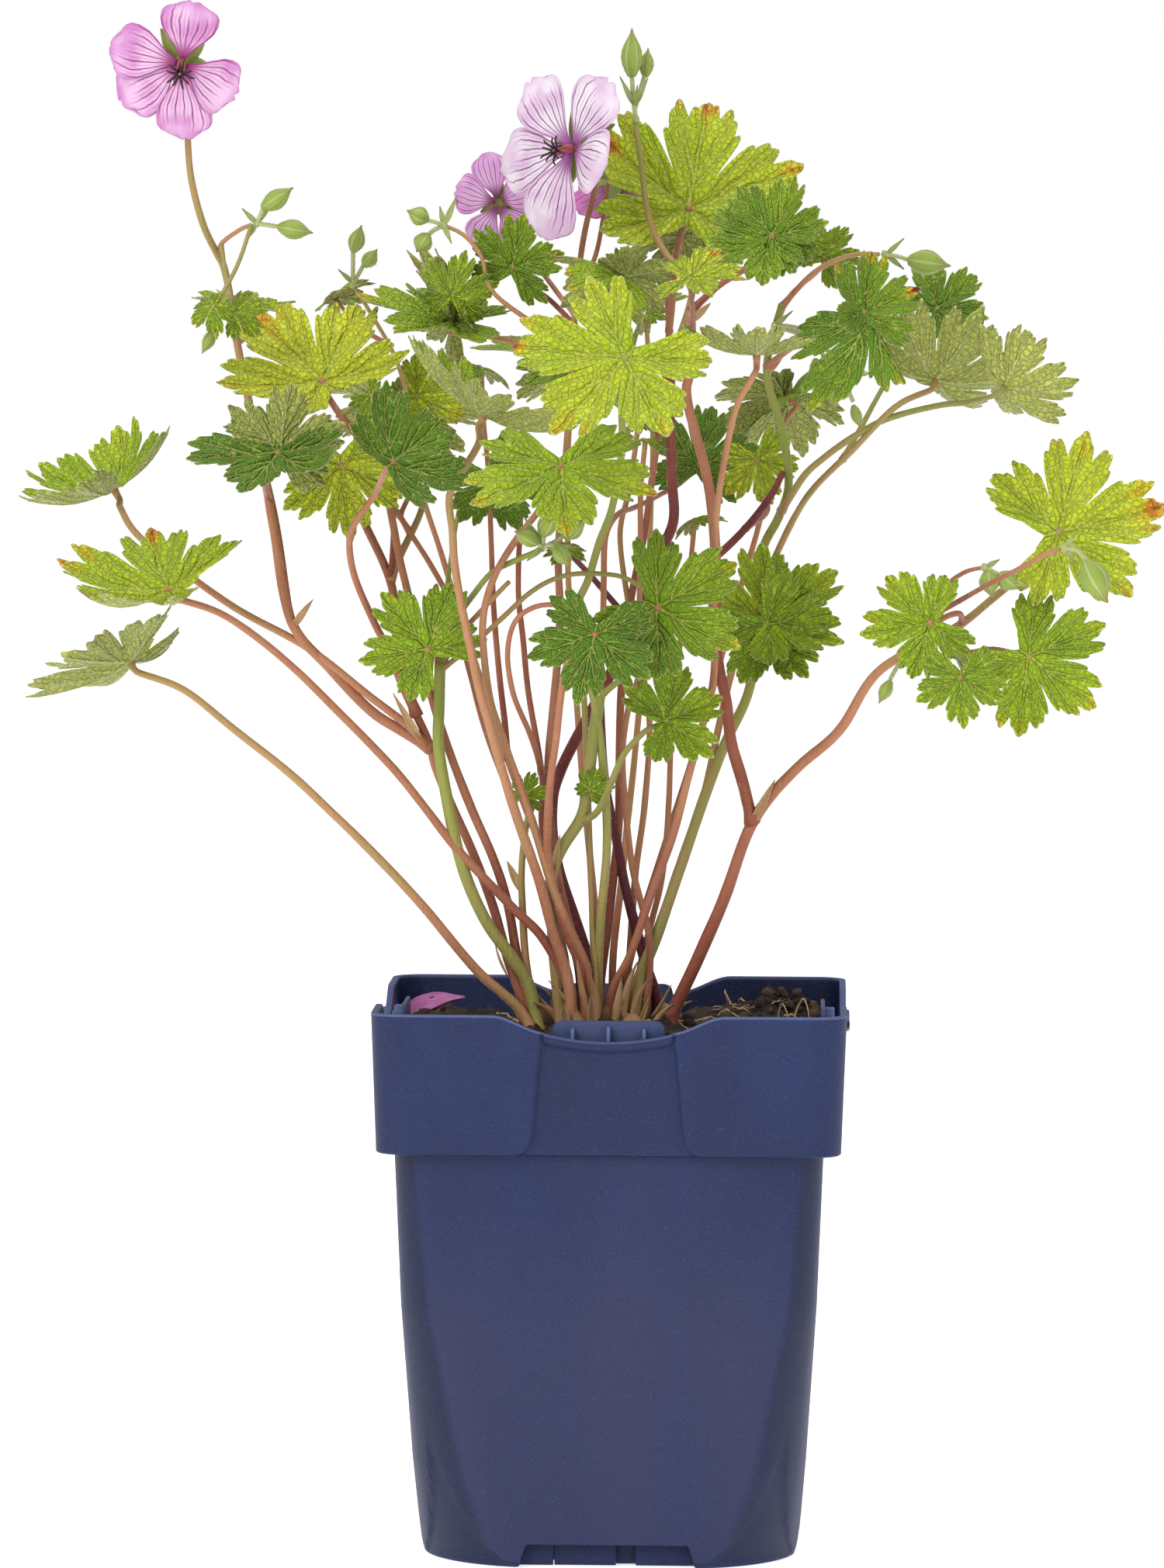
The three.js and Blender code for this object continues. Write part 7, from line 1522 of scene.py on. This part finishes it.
def stem_material(p, mottle):
    m, n, shader, place, (hue, own, _, _) = material("stem_skin")
    grain = n.group(mottle, Place=place, Coarse=120.0, Fine=900.0)[0]
    streak = n.drawn(place, (1.0, 1.0, 0.12), 1400.0)
    tones = [(0.0, p.stem_green), (0.26, p.stem_olive), (0.5, p.stem_salmon), (0.74, p.stem_brown),
             (1.0, p.stem_red)]
    base = n.ramp(n.plus(n.line(own, 0.24, hue), n.line(grain, 0.26, -0.25)), tones)
    base = n.tint(base, n.times(streak, 0.42), (1.5, 1.45, 1.35))
    base = n.tint(base, n.times(own, 0.36), (0.66, 0.66, 0.66))
    finish(n, shader, base, n.line(grain, 0.2, 0.42), 0.24, 0.42, 0.22)
    bump(n, shader, n.plus(streak, grain), 0.6, 0.0006)
    return m


def papery_material():
    m, n, shader, place, (hue, _, _, _) = material("dry_scale")
    fibres = n.drawn(n.add("UVMap"), (1.5, 26.0, 1.0), 1.0)
    tones = [(0.0, (190, 166, 112)), (0.5, (158, 112, 74)), (1.0, (96, 58, 40))]
    base = n.ramp(n.plus(hue, n.line(n.noise(place, 300.0), 0.5, -0.25)), tones)
    base = n.coat(base, fibres, 0.5, (214, 176, 134))
    finish(n, shader, base, n.line(fibres, 0.3, 0.5))
    bump(n, shader, fibres, 0.5, 0.0005)
    return m


def calyx_material(p, mottle):
    m, n, shader, place, (red, _, dry, way) = material("calyx_skin")
    grain = n.group(mottle, Place=place, Coarse=220.0, Fine=1400.0)[0]
    around = n.math("FRACT", n.times(n.xyz(n.add("UVMap"))[1], 5.0))
    ribs = n.span(n.math("ABSOLUTE", n.math("SUBTRACT", around, 0.5)), 0.04, 0.2, 1.0, 0.0)
    base = n.blend(n.line(grain, 0.8, -0.1), linear(p.calyx_green), linear(p.calyx_lit))
    base = n.coat(base, ribs, 0.5, p.calyx_pale)
    base = n.blend(dry, base, linear(p.calyx_pale))
    base = n.coat(base, n.span(way, 0.62, 1.0), red, (150, 82, 70))
    finish(n, shader, base, n.line(grain, 0.2, 0.45), 0.25, 0.08)
    bump(n, shader, n.plus(ribs, grain), 0.6, 0.0005)
    return m


def petal_material(name, veins, pale, deep, vein, core, count, reach):
    m, n, shader, place, (own, _, _, _) = material(name)
    uv = n.add("UVMap")
    u, v, _ = n.xyz(uv)
    lines = n.group(veins, UV=uv, Place=place, Count=count, Reach=reach)[0]
    soft = n.noise(place, 110.0)
    base = n.blend(n.plus(n.span(soft, 0.40, 0.70, 0.0, 0.75), n.times(own, 0.2)), linear(pale), linear(deep))
    edge = n.span(n.math("ABSOLUTE", n.math("SUBTRACT", v, 0.5)), 0.32, 0.5)
    base = n.coat(base, n.math("MAXIMUM", edge, n.span(u, 0.80, 1.0)), 0.6, deep)
    base = n.blend(n.span(u, 0.36, 0.05, 0.0, 0.9), base, linear(core))
    base = n.coat(base, lines, 0.92, vein)
    finish(n, shader, base, n.line(soft, 0.2, 0.42), 0.2, 0.08, 0.4)
    bump(n, shader, n.plus(n.times(lines, -1.0), n.drawn(uv, (1.5, 16.0, 1.0), 1.0)), 0.5, 0.0005)
    return m


def plain_material(name, scale, a, b, rough, sheen=0.0, between=(0.0, 1.0)):
    """Two colours mixed by noise, from a at the first value of `between` to b at the second."""
    m, n, shader, place, _ = material(name)
    mix = n.noise(place, scale)
    if between != (0.0, 1.0):
        mix = n.span(mix, *between)
    finish(n, shader, n.blend(mix, linear(a), linear(b)), rough, sheen=sheen)
    return m


def pot_material(p):
    m, n, shader, place, (edge, inner, recess_shade, panel) = material("navy_plastic")
    cloud = n.drawn(place, (1.0, 1.0, 0.35), 46.0, 3.0)
    # Painted reflection: the flat panels of the walls turn a paler, duller navy, more towards the foot and in
    # soft vertical streaks.
    low_panel_reflection = n.span(n.xyz(place)[2], 0.110, 0.058)
    streak = n.span(n.drawn(place, (1.0, 1.0, 0.10), 34.0), 0.36, 0.64)
    flat = n.span(panel, 0.5, 0.9)
    # Painted shade: the rounded corners of the walls, beside the flat panels, are coated a darker navy.
    corner = n.math("SUBTRACT", n.span(panel, 0.1, 0.35), flat, clamp=True)
    painted_panel_reflection = n.times(flat, n.times(n.plus(n.times(low_panel_reflection, 0.8), n.times(streak, 0.34)), 0.95), clamp=True)
    base = n.blend(n.span(cloud, 0.3, 0.7), linear(p.pot_blue), linear(p.pot_light))
    # Painted shade in the collar's recessed middle.
    base = n.coat(base, n.span(recess_shade, 0.4, 0.9), 0.25, (10, 22, 56))
    base = n.blend(painted_panel_reflection, base, linear(p.pot_panel_reflection))
    base = n.coat(base, corner, 0.6, (3, 14, 46))
    base = n.coat(base, n.span(n.noise(place, 2600.0), 0.58, 0.70), 0.13, (110, 124, 172))
    base = n.coat(base, n.span(n.drawn(place, (1.0, 1.0, 5.0), 160.0, 3.0), 0.68, 0.8), 0.06, (128, 142, 178))
    # Painted highlight along the rim's top and the collar's ribs.
    base = n.coat(base, edge, 0.6, (92, 108, 156))
    dust = n.times(n.span(n.noise(place, 420.0, 4.0, 0.7), 0.58, 0.72), 0.16)
    base = n.coat(base, dust, n.plus(inner, 0.12), (120, 104, 92))
    finish(n, shader, base, n.plus(n.line(inner, -0.14, 0.42), n.times(cloud, 0.14)), 0.34)
    bump(n, shader, n.noise(place, 3200.0, 3.0, 0.6), 0.5, 0.0004)
    return m


def compost_material(p):
    m, n, shader, place, (damp, _, _, _) = material("peat")
    fine = n.noise(place, 900.0, 4.0, 0.7)
    tones = [(0.0, (14, 10, 8)), (0.5, p.compost_dark), (0.8, p.compost_light), (1.0, (124, 86, 58))]
    base = n.ramp(n.plus(n.times(damp, 0.55), n.times(fine, 0.5)), tones)
    fleck = n.span(n.add("TexVoronoi", inputs={"Vector": place, "Scale": 420.0}), 0.14, 0.06)
    finish(n, shader, n.coat(base, fleck, 0.35, (150, 118, 88)), n.line(fine, 0.3, 0.6))
    bump(n, shader, n.plus(fine, n.noise(place, 2600.0, 3.0)), 0.9, 0.0009)
    return m


def floor_material(p):
    m, n, shader, place, _ = material("paper_white")
    paper = n.blend(n.noise(place, 3.0), linear(p.floor_pale), linear((252, 252, 252)))
    finish(n, shader, paper, 0.9, 0.1)
    n.put(shader.inputs["Emission Color"], paper)
    shader.inputs["Emission Strength"].default_value = p.glow
    return m


# ---------------------------------------------------------------- settings
def colour(label, note, value):
    """A colour setting, with its default in parts of 255."""
    return FloatVectorProperty(name=label, description=note, default=tuple(v / 255 for v in value),
                               subtype="COLOR_GAMMA", size=3, min=0, max=1)


def power(label, note, value):
    return FloatProperty(name=label, description=note, default=value, min=0, unit="POWER")


def number(label, note, value, low, high):
    make = IntProperty if isinstance(value, int) else FloatProperty
    return make(name=label, description=note, default=value, min=low, max=high)


class LeafSettings(bpy.types.PropertyGroup):
    leaf_dark: colour("Dark green", "Green of shaded old blades", (44, 84, 14))
    leaf_mid: colour("Mid green", "Green of most blades", (84, 128, 14))
    leaf_light: colour("Light green", "Green of sunlit blades", (150, 180, 18))
    leaf_yellow: colour("Yellow green", "Green of the palest blades", (200, 206, 44))
    leaf_vein: colour("Vein", "Colour that the veins tend to", (204, 208, 104))
    leaf_under: colour("Underside", "Grey olive of the underside", (136, 144, 74))
    leaf_under_light: colour("Pale underside", "Underside of pale blades", (186, 192, 88))
    rim_hairs: number("Edge hairs", "Hairs along the edges of each blade", 190, 0, 600)


class StemSettings(bpy.types.PropertyGroup):
    stem_green: colour("Green", "Young stems", (124, 140, 58))
    stem_olive: colour("Olive", "Stems that turn", (146, 138, 78))
    stem_salmon: colour("Salmon", "Most stalks", (174, 122, 90))
    stem_brown: colour("Red-brown", "Feet of the stalks", (144, 80, 62))
    stem_red: colour("Dark red", "Old stems", (92, 38, 42))
    hair_count: number("Hairs", "Hairs on all the stems together", 13000, 0, 40000)


class FlowerSettings(bpy.types.PropertyGroup):
    lilac: colour("Lilac", "Left flower's petals", (218, 180, 212))
    lilac_deep: colour("Deep lilac", "Left flower's edges", (182, 106, 172))
    pale: colour("Pale petal", "Front flower's petals", (220, 211, 218))
    pale_deep: colour("Pale petal's shade", "Front flower's edges", (200, 164, 196))
    veined: colour("Veined petal", "Petals of the flower behind", (214, 180, 212))
    pink: colour("Pink", "Petals of the right flower", (212, 140, 192))
    calyx_green: colour("Calyx", "Sepals and buds", (108, 138, 34))
    calyx_lit: colour("Lit calyx", "Lighter patches of sepals and buds", (156, 176, 56))
    calyx_pale: colour("Pale calyx", "Ribs, bud stalks and bracts", (190, 190, 140))


class PotSettings(bpy.types.PropertyGroup):
    pot_blue: colour("Navy", "Plastic of the pot", (8, 25, 69))
    pot_light: colour("Navy, lit", "Paler clouds in the plastic", (15, 34, 80))
    # Colour of the painted reflection on the flat panels of the walls.
    pot_panel_reflection: colour("Navy panels", "The flat panels of the walls", (36, 41, 78))
    compost_dark: colour("Compost", "Damp compost", (42, 30, 23))
    compost_light: colour("Dry compost", "Dry crumbs", (98, 72, 54))
    clods: number("Crumbs", "Loose crumbs on the compost", 420, 0, 1500)


# Focal length and height of the frame in the frame's own pixels, and the width of the sensor in mm.
FOCAL_PIXELS, FRAME_PIXELS, SENSOR_MM = 10130, 2021, 36
ROLL = math.radians(0.25)


class StageSettings(bpy.types.PropertyGroup):
    floor_pale: colour("Floor", "Pale paper under the pot", (248, 248, 248))
    glow: number("Glow", "Light that the lit paper gives off", 0.7, 0, 4)
    lens: number("Lens", "Focal length in mm on a 36 mm frame", FOCAL_PIXELS / FRAME_PIXELS * SENSOR_MM, 20, 400)
    roll: FloatProperty(name="Roll", description="Roll of the camera", default=ROLL, subtype="ANGLE")
    key: power("Key light", "Power of the front left soft light", 34.0)
    fill: power("Fill light", "Power of the front right soft light", 11.0)
    top: power("Top light", "Power of the soft light overhead", 17.0)
    world: number("Surroundings", "Brightness of the white surroundings", 0.42, 0, 4)


def all_materials(context):
    """Every material of the object and its stage, by its name here."""
    s = context.scene
    veins, mottle, fan = vein_effect(), mottle_effect(), petal_effect()
    f = s.geranium_flowers
    petals = {
        "lilac": (f.lilac, f.lilac_deep, (136, 18, 100), (150, 34, 116), 3.2, 1.05),
        "pale": (f.pale, f.pale_deep, (114, 12, 114), (156, 72, 148), 3.4, 1.0),
        "veined": (f.veined, (206, 140, 204), (136, 20, 104), (110, 24, 80), 3.6, 1.3),
        "pink": (f.pink, (204, 112, 184), (166, 50, 140), (214, 150, 204), 3.6, 1.2),
        "fallen": ((206, 132, 190), (170, 70, 150), (110, 24, 96), (200, 130, 180), 4.0, 1.2),
    }
    made = {name: petal_material("petal_" + name, fan, *values) for name, values in petals.items()}
    made |= {
        "leaf": leaf_material(s.geranium_leaves, veins, mottle),
        "stem": stem_material(s.geranium_stems, mottle),
        "scale": papery_material(),
        "hair": plain_material("fine_hair", 90.0, (236, 230, 208), (206, 186, 156), 0.6, 0.3),
        "calyx": calyx_material(f, mottle),
        "filament": plain_material("style_and_filaments", 500.0, (204, 120, 120), (156, 56, 84), 0.5),
        "anther": plain_material("anther", 1500.0, (16, 8, 14), (40, 22, 34), 0.55, between=(0.4, 0.7)),
        "pot": pot_material(s.geranium_pot),
        "peat": compost_material(s.geranium_pot),
        "root": plain_material("pale_root", 400.0, (206, 176, 138), (142, 104, 74), 0.65),
        "floor": floor_material(s.geranium_stage),
    }
    return made


FINISHES = {}


def finishes(context):
    """All the materials, made once."""
    if not FINISHES:
        FINISHES.update(all_materials(context))
    return FINISHES


# ---------------------------------------------------------------- operators
class GERANIUM_OT_blades(bpy.types.Operator):
    """Make every leaf's blades, and the hairs along their edges"""
    bl_idname = "geranium.blades"
    bl_label = "Blades"

    def execute(self, context):
        use, hairs = finishes(context), Piece()
        for node, blades in LEAVES.items():
            piece = Piece()
            for leaf in blades:
                rim, way, n = blade(piece, leaf)
                i = np.arange(context.scene.geranium_leaves.rim_hairs) + 1009 * leaf["seed"]
                p = hashed(i) * (len(rim) - 1.01)
                j = p.astype(int)
                root = rim[j] + (rim[j + 1] - rim[j]) * (p - j)[:, None]
                off = way[j] + (hashed(i + 3) - .5)[:, None] * 1.2 * n + .5 * scatter(i + 3)
                needles(hairs, root, off, .35 + .55 * hashed(i + 7), .028)
            piece.make(node.replace("leaf_", "blades_"), use["leaf"], "leaf_green", [node])
        hairs.make("blade_hairs", use["hair"], "leaf_green")
        return {"FINISHED"}


class GERANIUM_OT_young_leaves(bpy.types.Operator):
    """Make the small leaves that unfold from the nodes, on their short stalks"""
    bl_idname = "geranium.young_leaves"
    bl_label = "Young leaves"

    def execute(self, context):
        use, piece, stalks = finishes(context), Piece(), Piece()
        lines = [stem[4] for stem in stem_lines()]
        for leaf in YOUNG:
            blade(piece, leaf, 4)
            at, t, n, _ = blade_frame(leaf)
            root = nearest_on(lines, at - n * 3 - t * 4)
            line, _ = even(smooth_path([root, (root + at) / 2 - n * 1.5 - t, at - n * .8, at], 6), 1.0)
            tube(stalks, line, .62, 8, (.3, .3, 0, 0))
        piece.make("young_blades", use["leaf"], "leaf_green")
        stalks.make("young_stalks", use["stem"], "stalk")
        return {"FINISHED"}


class GERANIUM_OT_stems(bpy.types.Operator):
    """Make the stalks and stems with their hairs, and the crown with its papery scales"""
    bl_idname = "geranium.stems"
    bl_label = "Stems and crown"

    def execute(self, context):
        use, piece, hairs, scales = finishes(context), Piece(), Piece(), Piece()
        crown(scales, stems(piece, hairs, context.scene.geranium_stems.hair_count))
        piece.make("stems_from_the_crown", use["stem"], "stalk", ["crown_stems"])
        hairs.make("stem_hairs", use["hair"], "stalk")
        scales.make("crown_scales", use["scale"], "stalk")
        return {"FINISHED"}


class GERANIUM_OT_flowers(bpy.types.Operator):
    """Make the four open flowers: petals, calyx, filaments and anthers"""
    bl_idname = "geranium.flowers"
    bl_label = "Flowers"

    def execute(self, context):
        use, hairs = finishes(context), Piece()
        skins = ("lilac", "pale", "veined", "pink")
        for k, ((name, f), skin) in enumerate(zip(FLOWERS.items(), skins)):
            petals, cup, threads, dark = Piece(), Piece(), Piece(), Piece()
            for i, data in enumerate(f["petals"]):
                petal(petals, flower_frame(f), data, 10 * (k + 1) + i, hashed(i * 7 + k))
            petals.make("petals_of_" + name, use[skin], "petal_pink", [name + "_petals"])
            calyx(cup, hairs, f)
            cup.make("calyx_of_" + name, use["calyx"], "calyx_green", [name + "_calyx"])
            if name in WITH_COLUMN:
                column(dark, threads, f)
                dark.make("anthers_of_" + name, use["anther"], "column_dark", [name + "_column"])
                threads.make("threads_of_" + name, use["filament"], "column_dark", [name + "_column"])
        hairs.make("calyx_hairs", use["hair"], "calyx_green")
        return {"FINISHED"}


class GERANIUM_OT_buds(bpy.types.Operator):
    """Make the sprays of buds with their stalks, bracts and hairs"""
    bl_idname = "geranium.buds"
    bl_label = "Buds"

    def execute(self, context):
        use, hairs, small = finishes(context), Piece(), Piece()
        for k, (name, *texts) in enumerate(SPRAYS):
            if name in GATHERED:
                spray(small, hairs, texts, k)
            else:
                piece = Piece()
                spray(piece, hairs, texts, k)
                piece.make("spray_" + name, use["calyx"], "calyx_green", [name])
        for k, texts in enumerate(SMALL_SPRAYS):
            spray(small, hairs, texts, 20 + k)
        small.make("small_sprays", use["calyx"], "calyx_green")
        hairs.make("bud_hairs", use["hair"], "calyx_green")
        return {"FINISHED"}


class GERANIUM_OT_pot(bpy.types.Operator):
    """Make the square nursery pot with its corner panels, rim dips and label pockets"""
    bl_idname = "geranium.pot"
    bl_label = "Pot"

    def execute(self, context):
        piece = Piece()
        pot_shell(piece)
        for quarter in range(4):
            for plate in POT_PLATES:
                slab(piece, quarter * math.pi / 2, *plate)
        piece.make("square_pot", finishes(context)["pot"], "pot_blue", ["pot"])
        return {"FINISHED"}


class GERANIUM_OT_compost(bpy.types.Operator):
    """Make the compost, its crumbs, straw and roots, and the petal fallen on it"""
    bl_idname = "geranium.compost"
    bl_label = "Compost"

    def execute(self, context):
        use, top, straw, roots, fallen = finishes(context), Piece(), Piece(), Piece(), Piece()
        compost_top(top)
        compost_root(top)
        clods(top, context.scene.geranium_pot.clods)
        top.make("peat_top", use["peat"], "compost", ["compost"])
        litter(straw, roots)
        straw.make("straw", use["scale"], "compost")
        roots.make("pale_roots", use["root"], "compost")
        n, along = unit([0.05, -0.34, 0.93]), np.array([-1, 0, .05])
        u = unit(along - n * (along @ n))
        petal(fallen, (np.array([-42.5, 40, 152.0]), n, u, np.cross(n, u)), (0, 20, 15, -0.05), 99, .5)
        low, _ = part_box("fallen_petal")
        fallen.co[0] = fallen.co[0] + [0, 0, low.z / MM + .4 - fallen.co[0][:, 2].min()]
        fallen.make("petal_on_compost", use["fallen"], "petal_pink", ["fallen_petal"])
        return {"FINISHED"}


def set_camera(scene, p):
    """The camera at EYE, aimed at AIM and rolled about its axis."""
    d = unit(AIM - EYE)
    right = unit(np.cross(d, [0, 0, 1]))
    up = np.cross(right, d)
    r, u = swing(p.roll, right, up), swing(p.roll, up, -right)
    cam = bpy.data.objects.new("camera", bpy.data.cameras.new("camera"))
    scene.collection.objects.link(cam)
    cam.matrix_world = Matrix([[r[i], u[i], -d[i], EYE[i] * MM] for i in range(3)] + [[0, 0, 0, 1]])
    cam.data.lens, cam.data.sensor_width, cam.data.clip_start = p.lens, SENSOR_MM, 0.05
    scene.camera = cam


def set_floor(scene, material):
    """A pale floor 60 m across, just below the pot."""
    x, y = np.meshgrid(np.linspace(-30, 30, 9), np.linspace(-30, 30, 9), indexing="ij")
    mesh = bpy.data.meshes.new("floor")
    mesh.from_pydata(np.stack([x, y, 0 * x - .00005], -1).reshape(-1, 3).tolist(), [], grid(9, 9).tolist())
    obj = bpy.data.objects.new("floor", mesh)
    scene.collection.objects.link(obj)
    mesh.materials.append(material)


def set_lights(scene, p):
    """Three soft discs aimed at the pot, and white surroundings that the camera sees at full strength."""
    aim = Vector((0, 0, .2))
    lamps = (("key_soft", p.key, 1.5, (-1.3, -1.9, 1.5)), ("fill_soft", p.fill, 1.6, (1.7, -1.7, 1.0)),
             ("top_soft", p.top, 1.4, (.1, .1, 2.0)))
    for name, energy, size, at in lamps:
        light = bpy.data.lights.new(name, "AREA")
        light.energy, light.size, light.shape = energy, size, "DISK"
        lamp = bpy.data.objects.new(name, light)
        lamp.location = at
        lamp.rotation_euler = (aim - Vector(at)).to_track_quat("-Z", "Y").to_euler()
        scene.collection.objects.link(lamp)
    world = bpy.data.worlds.new("surroundings")
    world.use_nodes = True
    back = world.node_tree.nodes["Background"]
    back.inputs[0].default_value = (1, 1, 1, 1)
    n = Nodes(world.node_tree)
    n.put(back.inputs[1], n.line(n.add("LightPath"), 1.0 - p.world, p.world))
    scene.world = world


class GERANIUM_OT_stage(bpy.types.Operator):
    """Set the pale floor, the soft lights and the camera"""
    bl_idname = "geranium.stage"
    bl_label = "Stage"

    def execute(self, context):
        scene, p = context.scene, context.scene.geranium_stage
        set_camera(scene, p)
        set_floor(scene, finishes(context)["floor"])
        set_lights(scene, p)
        scene.view_settings.view_transform = "Standard"
        scene.view_settings.look = "None"
        return {"FINISHED"}


OPERATORS = (GERANIUM_OT_blades, GERANIUM_OT_young_leaves, GERANIUM_OT_stems, GERANIUM_OT_flowers,
             GERANIUM_OT_buds, GERANIUM_OT_pot, GERANIUM_OT_compost, GERANIUM_OT_stage)
SETTINGS = (("geranium_leaves", LeafSettings), ("geranium_stems", StemSettings),
            ("geranium_flowers", FlowerSettings), ("geranium_pot", PotSettings),
            ("geranium_stage", StageSettings))


class GERANIUM_PT_panel(bpy.types.Panel):
    """Lists the settings and the makers of the geranium's pieces"""
    bl_label = "Hardy geranium"
    bl_idname = "GERANIUM_PT_panel"
    bl_space_type = "VIEW_3D"
    bl_region_type = "UI"
    bl_category = "Geranium"

    def draw(self, context):
        for name, group in SETTINGS:
            box = self.layout.box()
            for key in group.__annotations__:
                box.prop(getattr(context.scene, name), key)
        for op in OPERATORS:
            self.layout.operator(op.bl_idname)


def register():
    for cls in (*[g for _, g in SETTINGS], *OPERATORS, GERANIUM_PT_panel):
        bpy.utils.register_class(cls)
    for name, group in SETTINGS:
        setattr(bpy.types.Scene, name, PointerProperty(type=group))


def unregister():
    for name, _ in SETTINGS:
        delattr(bpy.types.Scene, name)
    for cls in (GERANIUM_PT_panel, *reversed(OPERATORS), *[g for _, g in reversed(SETTINGS)]):
        bpy.utils.unregister_class(cls)


def main():
    register()
    bpy.ops.geranium.blades()
    bpy.ops.geranium.young_leaves()
    bpy.ops.geranium.stems()
    bpy.ops.geranium.flowers()
    bpy.ops.geranium.buds()
    bpy.ops.geranium.pot()
    bpy.ops.geranium.compost()
    bpy.ops.geranium.stage()


if __name__ == "__main__":
    main()
